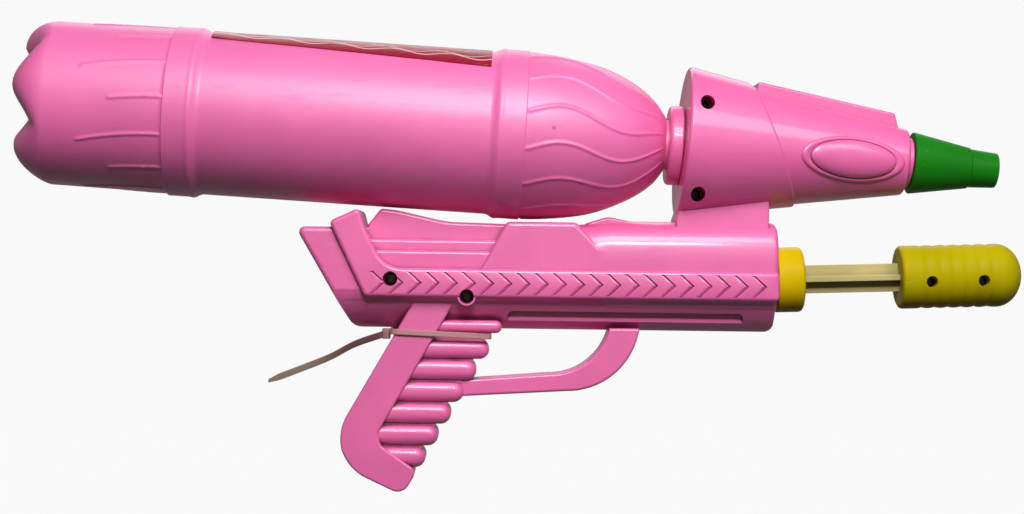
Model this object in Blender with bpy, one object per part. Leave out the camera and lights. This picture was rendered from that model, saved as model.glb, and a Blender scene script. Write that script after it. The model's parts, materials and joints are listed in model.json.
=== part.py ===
"""Hand-pumped water squirter with a screw-on bottle, modelled piece by piece.

Metres, +Z up, +X towards the nozzle. The origin is in the palm of the grip, on the parting plane
of the two shells. The right shell is on the -Y side.
"""
import math

import bmesh
import bpy
from mathutils import Matrix, Vector

MM = 0.001

# Fits
GAP = 0.3 * MM                      # clearance between pieces that touch
SEAM = 0.3 * MM                     # parting gap between two moulded halves
WALL = 2.4 * MM                     # moulded wall of the shells
PAST = 1.0 * MM                     # how far a cutter runs past the face it cuts
POINT_MERGE = 0.003 * MM            # points closer than this are one point
FLAT_ANGLE = 0.6                    # faces that meet at less than this lie in one plane, degrees

# Receiver, seen from the side
RECEIVER_FRONT = 179.0 * MM
RECEIVER_BOTTOM = 34.2 * MM
RECEIVER_REAR = -14.0 * MM          # back end of the hollow behind the grip
DECK = 87.4 * MM                    # top of the flat side panel
FIN_TOP = (-59.3 * MM, 83.8 * MM)   # rear upper corner
FIN_RAKE = 30.4                     # lean of the rear edge, degrees
CHASSIS_HALF = 18.6 * MM
BELLY_MIDDLE = 54.0 * MM             # height below which the receiver's sides round under
CHANNEL_HALF = 5.5 * MM             # half width of the channel in the sill, under the pump
CHANNEL_TOP = 44.4 * MM
CHASSIS_RIM = 2.6 * MM

# Chevron band, a raised ribbon along the side that turns up at the back
BAND_TOP = 64.0 * MM
BAND_BOTTOM = 49.8 * MM
BAND_HALF = 22.0 * MM
BAND_RIM = 1.2 * MM
BAND_SKIRT = 3.0 * MM               # height of the slope under the band
BAND_LEG_TOP = 93.4 * MM
BAND_LEG_RAKE = 26.0
BAND_LEG_WIDTH = 15.0 * MM
BAND_LEG_FOOT = -24.5 * MM          # rear lower corner of the band
BAND_LEG_FILLET = 14.0 * MM         # round corner between the leg and the band
CHEVRON_PITCH = 8.9 * MM
CHEVRON_FIRST = -20.5 * MM
CHEVRON_COUNT = 22
CHEVRON_REACH = 6.0 * MM
CHEVRON_GROOVE = 4.2 * MM
CHEVRON_DEPTH = 0.8 * MM
CHEVRON_MARGIN = 1.7 * MM

# Stepped side panels above the band, behind the flat panel
PEAK = (-17.2 * MM, 93.2 * MM)
STEP_TOPS = (None, 78.2 * MM, 72.7 * MM)
STEP_HALVES = (12.5 * MM, 15.0 * MM, 17.9 * MM)
STEP_RIM = 0.8 * MM
NOTCH = (-24.0 * MM, 84.5 * MM)     # valley between the band's leg and the peak

# Flat panel and round pump housing
FLAT_HALF = 19.5 * MM
FLAT_RIM = 2.4 * MM
FLAT_REAR_TOP = 45.0 * MM
FLAT_REAR_FOOT = 32.0 * MM
FLAT_FRONT_TOP = 79.0 * MM
FLAT_FRONT_FOOT = 96.0 * MM
HOUSING_REAR = 76.0 * MM
HOUSING_MIDDLE = 65.5 * MM
HOUSING_HALF = 20.6 * MM
HOUSING_RISE = 23.0 * MM
HOUSING_RIM = 2.5 * MM
HOUSING_START = 0.88                # share of its full size where the housing begins inside the flat panel
HOUSING_ORDER = 3.0                 # 2 is an ellipse, more is squarer
DECK_BUMP = 93.5 * MM               # place along X of the low bump on the deck
DECK_BUMP_RISE = 3.2 * MM
DECK_BUMP_REAR = 8.5 * MM           # length of its slopes behind and ahead
DECK_BUMP_FRONT = 19.0 * MM
DECK_BUMP_HALF = 8.0 * MM

# Long groove in the sill
SILL_GROOVE = (45.9 * MM, 162.6 * MM)
SILL_GROOVE_MIDDLE = 38.6 * MM
SILL_GROOVE_HEIGHT = 5.0 * MM
SILL_GROOVE_FLOOR = 10.4 * MM       # half width at its upright floor

# Column between the receiver and the head
COLUMN_REAR = 128.5 * MM
COLUMN_FRONT = 174.3 * MM
COLUMN_HALF = 14.5 * MM
COLUMN_RIM = 1.0 * MM

# Grip
GRIP_RAKE = 29.7
GRIP_HALF = 15.2 * MM
STRAP_TOP = (9.4 * MM, 47.0 * MM)   # middle of the strap's upper end, inside the receiver
STRAP_WIDTH = 17.6 * MM
STRAP_BEND_WIDTH = 19.4 * MM
STRAP_TIP_WIDTH = 14.0 * MM
STRAP_RUN = 68.25 * MM
STRAP_BEND = 14.5 * MM
STRAP_HOOK = 20.5 * MM
STRAP_RIM = 1.0 * MM
RIB_COUNT = 7
RIB_PITCH = 10.8 * MM
RIB_FIRST = (43.3 * MM, 35.4 * MM)  # front end of the top rib
RIB_HEIGHT = 10.3 * MM
RIB_TOP_HEIGHT = 6.4 * MM           # the top rib is slimmer
RIB_TIE_ROOM = 0.9 * MM             # taken off the second rib's top for the tie
RIB_HALF = 13.8 * MM
RIB_RIM = 3.6 * MM
CORE_HALF = 10.5 * MM
CORE_SETBACK = 4.5 * MM             # valley depth between the ribs' front ends

# Finger guard
GUARD_HALF = 10.0 * MM
GUARD_ROOT = 1.2 * MM               # how far the post reaches into the sill
GUARD_RIM = 1.2 * MM
GUARD_FRONT = 111.8 * MM
GUARD_OUTER_RADIUS = 36.0 * MM
GUARD_POST = 14.5 * MM
GUARD_INNER_RADIUS = 30.0 * MM
GUARD_BAR = 8.5 * MM
GUARD_REAR_Z = 0.4 * MM             # underside of the bar where it meets the grip
GUARD_FRONT_Z = 3.9 * MM

# Bottle axis, and the head's axis above it: both tip nose-down
BOTTLE_ORIGIN = (133.5 * MM, 126.4 * MM)
BOTTLE_TILT = 3.2
HEAD_LIFT = 2.1 * MM
HEAD_TILT = 4.5

# Head
HEAD_REAR = -1.6 * MM
HEAD_LENGTH = 110.3 * MM            # from the bottle's origin to the front face
HEAD_FRONT_RADIUS = 16.3 * MM
HEAD_FRONT_RIM = 2.0 * MM
COLLAR_RADIUS = 37.6 * MM
COLLAR_RIM = 1.6 * MM
COLLAR_STEP = 1.3 * MM
COLLAR_CUT = 44.4 * MM              # where the slanted front of the collar crosses the axis
COLLAR_SLANT = 25.0
RIDGE_REAR = (33.0 * MM, 32.6 * MM)
RIDGE_FRONT = (102.5 * MM, 23.8 * MM)
RIDGE_REAR_HALF = 11.5 * MM
RIDGE_FRONT_HALF = 4.5 * MM
RIDGE_RIM = 1.2 * MM
OVAL_CENTRE = (81.0 * MM, -2.0 * MM)
OVAL_LENGTH = 52.8 * MM
OVAL_HEIGHT = 22.4 * MM
OVAL_RISE = 1.2 * MM
DOME_LENGTH = 42.4 * MM
DOME_HEIGHT = 17.8 * MM
DOME_RISE = 2.2 * MM

# Screws through the shells, as (x, z) from the side
BODY_SCREWS = {"shell_screw_rear": (-11.9 * MM, 58.6 * MM), "shell_screw_mid": (25.7 * MM, 50.4 * MM)}
HEAD_SCREWS = {"head_screw_upper": (6.5 * MM, 18.4 * MM), "head_screw_lower": (6.5 * MM, -26.2 * MM)}
BOSS_RADIUS = 4.5 * MM
COUNTERBORE = 3.6 * MM
SEAT_DEPTH = 7.0 * MM               # from the parting plane to the screw head's seat
SCREW_SHANK = 1.5 * MM
SCREW_HEAD = 3.0 * MM
SCREW_HEAD_HEIGHT = 2.0 * MM
SCREW_BITE = 9.0 * MM               # length of shank in the far half

# Bottle
BOTTLE_RADIUS = 40.5 * MM
BOTTLE_WALL = 1.3 * MM
RING_RADIUS = 42.4 * MM
RING_WIDTH = 17.6 * MM
RING_BEAD = 3.6 * MM
NOSE_RADIUS = 41.3 * MM
NOSE_LENGTH = 74.0 * MM             # half axis of the nose's ellipse
SHOULDER = -10.5 * MM               # where the nose meets the neck
NECK_RADIUS = 12.4 * MM
NECK_END = 12.0 * MM
NECK_WALL = 2.0 * MM
BARREL_LENGTH = 140.1 * MM          # plain cylinder between the rings
CUP_LENGTH = 58.0 * MM
CUP_RADIUS = 41.0 * MM
CUP_END_RADIUS = 40.7 * MM
BASE_DEPTH = 17.5 * MM
BASE_LOBES = 5
FOOT_RADIUS = 26.0 * MM
BASE_CROWN = 10.0 * MM              # depth at the middle of the base
VALLEY_DEPTH = 8.0 * MM             # depth of the valleys between the feet
LOBE_FULLNESS = 0.65                # less makes the feet blunter and the valleys narrower
LOBE_TURN = 15.0                    # place of one lobe, degrees up from the right side
EMBOSS_COUNT = 14
EMBOSS_RISE = 0.6 * MM
EMBOSS_HALF_ANGLE = 1.7             # degrees
EMBOSS_LONG = 42.0 * MM
EMBOSS_SHORT = 27.0 * MM
EMBOSS_SWAY = 7.0                   # degrees that a rib on the nose swings to each side
EMBOSS_WAVE = 66.0 * MM             # length of one full swing
EMBOSS_CUP_SWAY = 8.0
EMBOSS_CUP_TURN = 7.2               # how far the cup's ribs are turned against the nose's
LABEL_THICKNESS = 0.3 * MM
LABEL_INSET = 1.0 * MM
LABEL_LOW_REAR = 62.0               # lower edge, degrees up from the right side
LABEL_LOW_FRONT = 48.5
LABEL_SPAN = 92.0

# Bottle socket and washer
SOCKET_RADIUS = 14.4 * MM
SOCKET_FLANGE = 19.8 * MM
SOCKET_REAR = -9.0 * MM
SOCKET_END = 16.5 * MM
SOCKET_END_WALL = 2.0 * MM
SOCKET_LIP = 15.5 * MM
SOCKET_LIP_WIDTH = 2.2 * MM
SOCKET_STAND_OFF = 0.7 * MM         # the flange clears the head's leaning rear wall
ELBOW_RADIUS = 5.0 * MM
ELBOW_LENGTH = 10.0 * MM
WASHER_BORE = 9.2 * MM
WASHER_THICKNESS = 1.7 * MM

# Outlet pipe and nozzle
PIPE_STUB = 7.0 * MM
PIPE_STUB_END = 125.0 * MM
PIPE_WAIST = 9.0 * MM
PIPE_LIP = 11.5 * MM
PIPE_LIP_WIDTH = 3.0 * MM
PIPE_RING = 12.3 * MM
PIPE_RING_WIDTH = 2.2 * MM
PIPE_BARB_LENGTH = 8.0 * MM
NOZZLE_RADIUS = 15.5 * MM
NOZZLE_TAPER = 28.8 * MM            # length of the cone
NOZZLE_NECK = 10.2 * MM
NOZZLE_TIP = 14.2 * MM              # length of the tip
NOZZLE_STEP = 0.6 * MM
NOZZLE_TIP_RADIUS = 8.6 * MM
NOZZLE_ORIFICE = 1.5 * MM
NOZZLE_CHANNEL = 2.0 * MM
NOZZLE_ORIFICE_LENGTH = 4.0 * MM
NOZZLE_RIM = 0.6 * MM

# Pump
PUMP_HEIGHT = 60.2 * MM             # height of the pump axis at the receiver's front
PUMP_TILT = 2.0
CYLINDER_RADIUS = 12.0 * MM
CYLINDER_BORE = 10.0 * MM
CYLINDER_REAR = -110.0 * MM
CYLINDER_FRONT = 10.5 * MM
CYLINDER_REAR_WALL = 2.5 * MM
CYLINDER_FLANGE = 14.6 * MM
CYLINDER_FLANGE_WIDTH = 2.6 * MM
CYLINDER_NIPPLE = 5.0 * MM
CYLINDER_NIPPLE_LENGTH = 5.0 * MM
SADDLES = (-28.0 * MM, -86.0 * MM)
SADDLE_WIDTH = 2.0 * MM
GLAND_RADIUS = 16.2 * MM
GLAND_LENGTH = 13.8 * MM
GLAND_WALL = 2.5 * MM
GLAND_RIM = 2.2 * MM
ROD_SIZE = 14.0 * MM
ROD_WEB = 2.8 * MM
PISTON_RADIUS = 9.5 * MM
PISTON_REAR = -60.0 * MM
PISTON_DISC = 3.0 * MM
PISTON_GROOVE = 8.0 * MM
PISTON_CORE = 7.0 * MM
SEAL_RADIUS = 9.75 * MM
HANDLE_REAR = 61.8 * MM
HANDLE_LENGTH = 61.3 * MM
HANDLE_RADIUS = 15.75 * MM
HANDLE_DOME = HANDLE_LENGTH * 0.204
HANDLE_RIM = 2.0 * MM
HANDLE_WALL = 2.4 * MM
HANDLE_BANDS = 6
HANDLE_BAND_FIRST = HANDLE_LENGTH * 0.188   # first groove, from the rear end
HANDLE_BAND_PITCH = HANDLE_LENGTH * 0.106
HANDLE_BAND_DEPTH = 0.6 * MM
HANDLE_SCREWS = {"handle_screw_rear": HANDLE_LENGTH * 0.23, "handle_screw_front": HANDLE_LENGTH * 0.648}
HANDLE_SCREW_DROP = -2.3 * MM
HANDLE_BOSS = 3.8 * MM
HANDLE_COUNTERBORE = 2.8 * MM
HANDLE_SCREW_HEAD = 2.3 * MM
HANDLE_SCREW_SHANK = 1.2 * MM
HANDLE_SEAT_DEPTH = 6.0 * MM
HANDLE_SCREW_BITE = 7.0 * MM

# Valve block behind the cylinder, measured from the pump axis
VALVE_OFFSET = 12.5 * MM            # from the cylinder's rear wall to the valve axis
VALVE_RADIUS = 7.5 * MM
VALVE_CHAMBER = 3.1 * MM
VALVE_THROAT = 1.9 * MM
VALVE_THROAT_HALF = 2.2 * MM        # half the length of the throat between the two valves
VALVE_PLUG = 5.2 * MM
VALVE_PLUG_LENGTH = 2.2 * MM
INLET_CHAMBER = 5.6 * MM
OUTLET_CHAMBER = 10.0 * MM
BALL_RADIUS = 2.5 * MM
BALL_CLEARANCE = 0.1 * MM
CAP_FLANGE_WIDTH = 1.0 * MM
CAP_STEM = 3.6 * MM
INLET_STEM = 6.6 * MM
OUTLET_STEM = 6.6 * MM
BARB_RADIUS = 1.8 * MM
BARB_BORE = 1.1 * MM
BARB_LENGTH = 11.0 * MM
SPRING_WIRE = 0.35 * MM             # radius of the wire
SPRING_RADIUS = 2.2 * MM
SPRING_TURNS = 4
PORT_BORE = 1.8 * MM

# Hoses, bore and outside radius, and the tube that reaches into the bottle
HOSE_BORE = 2.1 * MM
HOSE_RADIUS = 3.0 * MM
# Points that the hoses pass, in millimetres, laid out by hand between the pieces inside the shells
FEED_ROUTE = [(151.5, -4.0, 94.0), (147.0, -6.5, 86.5), (138.0, -7.5, 81.0), (122.0, -7.8, 78.8),
              (100.0, -8.2, 77.6), (75.0, -8.6, 76.6), (58.0, -8.6, 75.8), (48.0, -7.0, 74.0),
              (40.5, -5.2, 69.0), (36.6, -3.5, 61.5), (36.2, -1.8, 53.5), (38.4, -0.6, 46.5)]
DELIVERY_ROUTE = [(80.0, 2.0, 75.8), (95.0, 6.0, 77.0), (120.0, 6.8, 78.5), (140.0, 6.8, 81.0),
                  (152.0, 6.8, 86.0), (160.0, 6.6, 94.0), (164.5, 6.2, 104.0), (169.5, 5.0, 113.0),
                  (179.0, 3.0, 119.0), (193.0, 1.2, 122.2), (210.0, 0.2, 122.8)]
TUBE_SPIGOT = 2.6 * MM
TUBE_SPIGOT_LENGTH = 7.5 * MM
TUBE_BORE = 2.9 * MM
TUBE_RADIUS = 3.9 * MM
TUBE_STEP = 22.0 * MM               # spacing of the rings along a hose

# Nylon tie round the grip
TIE_WIDTH = 2.8 * MM
TIE_THICKNESS = 1.1 * MM
TIE_HEAD = 5.2 * MM
TIE_HEAD_DEPTH = 4.0 * MM
TIE_SLOPE = 0.04                    # rise towards the back
TIE_STEP = 9.0 * MM
TIE_CORNER = 4.0 * MM
TIE_TAIL_WIDTH = 3.5 * MM
TIE_TAIL = ((-29.2, -9.0, 26.0), (-41.5, -9.6, 19.4), (-56.2, -10.0, 13.3), (-71.9, -10.0, 7.2))

# Facets of a full turn
FINE_COUNT = 32
MEDIUM_COUNT = 18
SMALL_COUNT = 10

# Colours as seen, in 8-bit steps
PINK = (238, 104, 168)
CRIMSON = (165, 25, 55)
GREEN = (28, 132, 28)
YELLOW = (212, 194, 16)
AMBER = (219, 172, 10)
CREAM = (205, 190, 135)
NATURAL = (225, 222, 210)
BLACK = (35, 35, 38)
STEEL = (150, 150, 152)
CLEAR = (215, 225, 228)


def linear(colour):
    """Turn an 8-bit display colour into the linear values that a shader takes."""
    channels = [step / 255.0 for step in colour]
    curve = [c / 12.92 if c <= 0.04045 else ((c + 0.055) / 1.055) ** 2.4 for c in channels]
    return (*curve, 1.0)


def make_material(name, colour, roughness, metallic=0.0):
    """Plain material."""
    material = bpy.data.materials.new(name)
    material.use_nodes = True
    shader = material.node_tree.nodes["Principled BSDF"]
    shader.inputs["Base Color"].default_value = linear(colour)
    shader.inputs["Roughness"].default_value = roughness
    shader.inputs["Metallic"].default_value = metallic
    material.diffuse_color = linear(colour)
    return material


def add_object(name, mesh):
    """Object in the scene for a mesh."""
    thing = bpy.data.objects.new(name, mesh)
    bpy.context.scene.collection.objects.link(thing)
    return thing


def remove_object(thing):
    """Take an object out."""
    bpy.data.objects.remove(thing, do_unlink=True)


def solid_from(work, name):
    """Close off a bmesh as an object, with all its faces pointing out."""
    bmesh.ops.remove_doubles(work, verts=work.verts, dist=POINT_MERGE)
    bmesh.ops.recalc_face_normals(work, faces=work.faces)
    mesh = bpy.data.meshes.new(name)
    work.to_mesh(mesh)
    work.free()
    return add_object(name, mesh)


def combine(base, others, operation):
    """Join the other solids to the base, or cut them from it. The other objects are used up."""
    for other in others:
        step = base.modifiers.new(other.name, 'BOOLEAN')
        step.operation = operation
        step.object = other
        graph = bpy.context.evaluated_depsgraph_get()
        work = bmesh.new()
        work.from_object(base, graph)
        bmesh.ops.remove_doubles(work, verts=work.verts, dist=POINT_MERGE)
        bmesh.ops.dissolve_degenerate(work, dist=POINT_MERGE, edges=work.edges)
        bmesh.ops.holes_fill(work, edges=[edge for edge in work.edges if edge.is_boundary])
        base.modifiers.clear()
        work.to_mesh(base.data)
        work.free()
        remove_object(other)
    return base


def merge_flats(thing):
    """Join neighbouring faces that lie in one plane."""
    work = bmesh.new()
    work.from_mesh(thing.data)
    bmesh.ops.dissolve_limit(work, angle_limit=math.radians(FLAT_ANGLE), verts=work.verts, edges=work.edges)
    work.to_mesh(thing.data)
    work.free()


def join(base, *others):
    """Fuse the others to the base."""
    return combine(base, others, 'UNION')


def cut(base, *others):
    """Cut the others out of the base."""
    return combine(base, others, 'DIFFERENCE')


def keep_common(base, other):
    """Keep what both have in common."""
    return combine(base, (other,), 'INTERSECT')


def moved(thing, matrix):
    """Move a solid's mesh, keeping its object at the origin."""
    thing.data.transform(matrix)
    if matrix.determinant() < 0:
        thing.data.flip_normals()
    return thing


def turned(name, profile, steps=MEDIUM_COUNT):
    """Turn a profile of (along X, radius) points round the X axis, with flats facing up and sideways."""
    work = bmesh.new()
    first = math.pi / steps
    points = [work.verts.new((along, radius * math.sin(first), radius * math.cos(first)))
              for along, radius in profile]
    pairs = zip(points, points[1:] + points[:1])
    edges = [work.edges.new((a, b)) for a, b in pairs if max(a.co.z, b.co.z) > POINT_MERGE]
    bmesh.ops.spin(work, geom=points + edges, cent=(0, 0, 0), axis=(1, 0, 0),
                   angle=2 * math.pi, steps=steps, use_merge=True)
    return solid_from(work, name)


def rod(name, start, end, radius, steps=SMALL_COUNT):
    """A plain round bar between two points."""
    start, end = Vector(start), Vector(end)
    length = (end - start).length
    bar = turned(name, [(0, 0), (0, radius), (length, radius), (length, 0)], steps)
    turn = Vector((1, 0, 0)).rotation_difference(end - start).to_matrix().to_4x4()
    return moved(bar, Matrix.Translation(start) @ turn)


def block(name, low, high):
    """A box between two corners."""
    work = bmesh.new()
    size = Vector(high) - Vector(low)
    centre = (Vector(high) + Vector(low)) / 2
    bmesh.ops.create_cube(work, size=1.0, matrix=Matrix.Translation(centre) @ Matrix.Diagonal((*size, 1)))
    return solid_from(work, name)


def loft(name, rings):
    """Skin a solid over closed rings that have the same number of points, and cap both ends."""
    work = bmesh.new()
    rows = [[work.verts.new(point) for point in ring] for ring in rings]
    for row, after in zip(rows, rows[1:]):
        for i in range(len(row)):
            j = (i + 1) % len(row)
            work.faces.new((row[i], row[j], after[j], after[i]))
    work.faces.new(rows[0])
    work.faces.new(rows[-1])
    return solid_from(work, name)


def arc(centre, radius, start, end, steps):
    """Points along a circular arc, with its angles in degrees."""
    angles = [math.radians(start + (end - start) * i / steps) for i in range(steps + 1)]
    return [(centre[0] + radius * math.cos(a), centre[1] + radius * math.sin(a)) for a in angles]


def rounded(corners, steps=3):
    """Outline through (x, z, radius) corners, each rounded by its radius."""
    outline = []
    count = len(corners)
    for i, (x, z, radius) in enumerate(corners):
        here = Vector((x, z))
        before = (Vector(corners[i - 1][:2]) - here).normalized()
        after = (Vector(corners[(i + 1) % count][:2]) - here).normalized()
        if radius == 0:
            outline.append((x, z))
            continue
        half = before.angle(after) / 2
        middle = here + (before + after).normalized() * radius / math.sin(half)
        first = here + before * radius / math.tan(half) - middle
        last = here + after * radius / math.tan(half) - middle
        sweep = first.angle_signed(last)
        for k in range(steps + 1):
            turn = -sweep * k / steps
            spoke = Vector((first.x * math.cos(turn) - first.y * math.sin(turn),
                            first.x * math.sin(turn) + first.y * math.cos(turn)))
            outline.append(tuple(middle + spoke))
    return outline


def turns_left(outline):
    """Whether the outline runs anticlockwise."""
    pairs = zip(outline, outline[1:] + outline[:1])
    return sum(a[0] * b[1] - b[0] * a[1] for a, b in pairs) > 0


def inset(outline, depth):
    """Move every side of an outline inwards by the depth, keeping its points in order."""
    side = 1 if turns_left(outline) else -1
    count = len(outline)
    result = []
    for i in range(count):
        here = Vector(outline[i])
        back = (here - Vector(outline[i - 1])).normalized()
        ahead = (Vector(outline[(i + 1) % count]) - here).normalized()
        normal = Vector((-back.y, back.x)) + Vector((-ahead.y, ahead.x))
        normal = normal * side / (1 + back.dot(ahead))
        result.append(tuple(here + normal * depth))
    return result


def slab(name, outline, far, near=PAST, rim=0.0, steps=1):
    """A plate with a side outline (x, z), from y = near out to y = far, with its outer rim rounded."""
    out = math.copysign(1, far - near)
    rings = [[(x, near, z) for x, z in outline]]
    for k in range(steps + 1 if rim else 1):
        angle = math.pi / 2 * k / steps
        y = far - out * rim * (1 - math.sin(angle))
        rings.append([(x, y, z) for x, z in inset(outline, rim * (1 - math.cos(angle)))])
    return loft(name, rings)


def bar_along_x(name, section, start, end):
    """A straight bar with a (y, z) section."""
    return loft(name, [[(x, y, z) for y, z in section] for x in (start, end)])


def swept_tube(name, path, radius, bore=0.0, steps=8):
    """A hose with a bore along a smooth path, or a solid wire when there is no bore."""
    work = bmesh.new()
    count = len(path)
    radii = (radius, bore) if bore else (radius,)
    angles = [2 * math.pi * k / steps for k in range(steps)]
    rows = []
    side = Vector((0, 1, 0))
    for i, point in enumerate(path):
        heading = (path[min(i + 1, count - 1)] - path[max(i - 1, 0)]).normalized()
        side = (side - heading * side.dot(heading)).normalized()
        up = heading.cross(side)
        rows.append([[work.verts.new(point + (side * math.cos(a) + up * math.sin(a)) * r) for a in angles]
                     for r in radii])
    for row, after in zip(rows, rows[1:]):
        for ring, ahead in zip(row, after):
            for k in range(steps):
                j = (k + 1) % steps
                work.faces.new((ring[k], ring[j], ahead[j], ahead[k]))
    for row in (rows[0], rows[-1]):
        if not bore:
            work.faces.new(row[0])
            continue
        outer, inner = row
        for k in range(steps):
            j = (k + 1) % steps
            work.faces.new((outer[k], outer[j], inner[j], inner[k]))
    return solid_from(work, name)


def smooth_path(points, spacing):
    """Points about the given spacing apart on a smooth curve through the route's own points."""
    points = [Vector(p) for p in points]
    path = []
    for i in range(len(points) - 1):
        a, b = points[i], points[i + 1]
        before = points[i - 1] if i else 2 * a - b
        after = points[i + 2] if i + 2 < len(points) else 2 * b - a
        count = max(1, round((b - a).length / spacing))
        for k in range(count):
            t = k / count
            path.append(0.5 * (2 * a + (b - before) * t + (2 * before - 5 * a + 4 * b - after) * t * t
                               + (3 * a - before - 3 * b + after) * t ** 3))
    return path + [points[-1]]


def axis_frame(origin, tilt):
    """Matrix of an axis that starts at (x, z) and tips nose-down by the tilt in degrees."""
    return Matrix.Translation((origin[0], 0, origin[1])) @ Matrix.Rotation(math.radians(tilt), 4, 'Y')


BOTTLE_FRAME = axis_frame(BOTTLE_ORIGIN, BOTTLE_TILT)
HEAD_FRAME = axis_frame((BOTTLE_ORIGIN[0], BOTTLE_ORIGIN[1] + HEAD_LIFT), HEAD_TILT)
PUMP_FRAME = axis_frame((RECEIVER_FRONT, PUMP_HEIGHT), -PUMP_TILT)
VALVE_U = CYLINDER_REAR - VALVE_OFFSET
UPRIGHT = Matrix.Rotation(math.radians(-90), 4, 'Y')
VALVE_FRAME = PUMP_FRAME @ Matrix.Translation((VALVE_U, 0, 0))
SIDEWAYS = Matrix.Rotation(math.radians(90), 4, 'Z')


def raked(corner, rake, z):
    """X at height z on a line through the corner that leans back as it rises."""
    return corner[0] + (corner[1] - z) * math.tan(math.radians(rake))


def chassis_outline():
    """Rear fin and sill: the layer that all the raised panels stand on."""
    shelf = (BAND_TOP + BAND_BOTTOM) / 2
    foot = raked(FIN_TOP, FIN_RAKE, RECEIVER_BOTTOM)
    return rounded([
        (*FIN_TOP, CHASSIS_RIM * 1.1),
        (foot, RECEIVER_BOTTOM, 7 * MM),
        (RECEIVER_FRONT - 1.2 * MM, RECEIVER_BOTTOM, 4 * MM),
        (RECEIVER_FRONT - 1.2 * MM, shelf, 0),
        (BAND_LEG_FOOT + BAND_LEG_WIDTH, shelf, 0),
        (NOTCH[0] - 2 * MM, FIN_TOP[1], 0),
    ])


def belly_half(z, skin=0.0):
    """Half width of the receiver's round underside at a height, less the skin."""
    drop = max(0.0, BELLY_MIDDLE - z) / (BELLY_MIDDLE - RECEIVER_BOTTOM - skin)
    return (CHASSIS_HALF + GAP - skin) * math.sqrt(max(0.0, 1 - drop ** 2))


def belly_bar(name, skin, low):
    """Bar with the section of the receiver's underside, from a height up, wide open above."""
    deep = BELLY_MIDDLE - RECEIVER_BOTTOM - skin
    past = CHANNEL_HALF
    steps = 7
    first = math.asin(min(1.0, (BELLY_MIDDLE - low) / deep))
    section = [(past, low)]
    for k in range(steps + 1):
        z = BELLY_MIDDLE - deep * math.sin(first * (1 - k / steps))
        section.append((-belly_half(z, skin), z))
    side = BAND_HALF if skin == 0 else CHASSIS_HALF - skin
    section += [(-side, BELLY_MIDDLE + GAP), (-side, BAND_LEG_TOP), (past, BAND_LEG_TOP)]
    return bar_along_x(name, section, FIN_TOP[0] - WALL, RECEIVER_FRONT)


def band_outline():
    """Ribbon along the side, with a leg that leans back up to the rear corner."""
    foot = (BAND_LEG_FOOT, BAND_BOTTOM)
    top = BAND_LEG_TOP - 7 * MM
    inner = (BAND_LEG_FOOT + BAND_LEG_WIDTH + 1.5 * MM, BAND_BOTTOM)
    return rounded([
        (*foot, 3 * MM),
        (RECEIVER_FRONT, BAND_BOTTOM, 1.5 * MM),
        (RECEIVER_FRONT, BAND_TOP, 1.5 * MM),
        (raked(inner, BAND_LEG_RAKE, BAND_TOP), BAND_TOP, BAND_LEG_FILLET),
        (raked(inner, BAND_LEG_RAKE, NOTCH[1]), NOTCH[1], 0),
        (raked(inner, BAND_LEG_RAKE, BAND_LEG_TOP) + 2 * MM, BAND_LEG_TOP, 2.5 * MM),
        (raked(foot, BAND_LEG_RAKE, top), top, 2.5 * MM),
    ])


def step_outline(top):
    """Side panel between the band's leg and the flat panel, up to the given height or to the peak."""
    low = (BAND_TOP + BAND_BOTTOM) / 2
    front = FLAT_REAR_TOP + 3 * MM
    rear = NOTCH[0] - 3 * MM
    if top is not None:
        return [(rear, low), (front, low), (front, top), (rear, top)]
    return rounded([
        (rear, low, 0),
        (front, low, 0),
        (front, DECK - 1.2 * MM, 0),
        ((PEAK[0] + front) / 2, DECK - 0.4 * MM, 60 * MM),
        (PEAK[0] + 8 * MM, PEAK[1] - 0.8 * MM, 20 * MM),
        (PEAK[0], PEAK[1], 2.5 * MM),
        (*NOTCH, 0),
        (rear, NOTCH[1], 0),
    ])


def flat_outline():
    """Flat side panel with a slanted rear edge and a front edge that runs into the round housing."""
    low = (BAND_TOP + BAND_BOTTOM) / 2
    return rounded([
        (FLAT_REAR_FOOT, low, 0),
        (FLAT_FRONT_FOOT, low, 0),
        (FLAT_FRONT_FOOT, HOUSING_MIDDLE + 4 * MM, 4 * MM),
        (FLAT_FRONT_TOP, DECK, 3 * MM),
        (FLAT_REAR_TOP, DECK, 3 * MM),
        (FLAT_REAR_FOOT, BAND_TOP, 0),
    ])


def housing_solid(name, skin, front):
    """Round front housing, or its hollow when the skin is the wall's thickness."""
    rear = HOUSING_REAR if skin == 0 else FLAT_REAR_TOP
    nose = 1 - HOUSING_RIM / HOUSING_RISE if skin == 0 else 1
    profile = [(rear, 0), (rear, HOUSING_START), (FLAT_FRONT_FOOT, 1), (front - HOUSING_RIM, 1),
               (front - HOUSING_RIM * 0.3, (1 + nose) / 2), (front, nose), (front, 0)]
    tunnel = turned(name, profile, MEDIUM_COUNT if skin else FINE_COUNT)
    for vertex in tunnel.data.vertices:
        radius = math.hypot(vertex.co.y, vertex.co.z)
        if radius > 0:
            share = sum(abs(part / radius) ** HOUSING_ORDER for part in (vertex.co.y, vertex.co.z))
            vertex.co.yz = vertex.co.yz * share ** (-1 / HOUSING_ORDER)
    scale = Matrix.Diagonal((1, HOUSING_HALF - skin, HOUSING_RISE - skin, 1))
    return moved(tunnel, Matrix.Translation((0, 0, HOUSING_MIDDLE)) @ scale)


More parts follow.
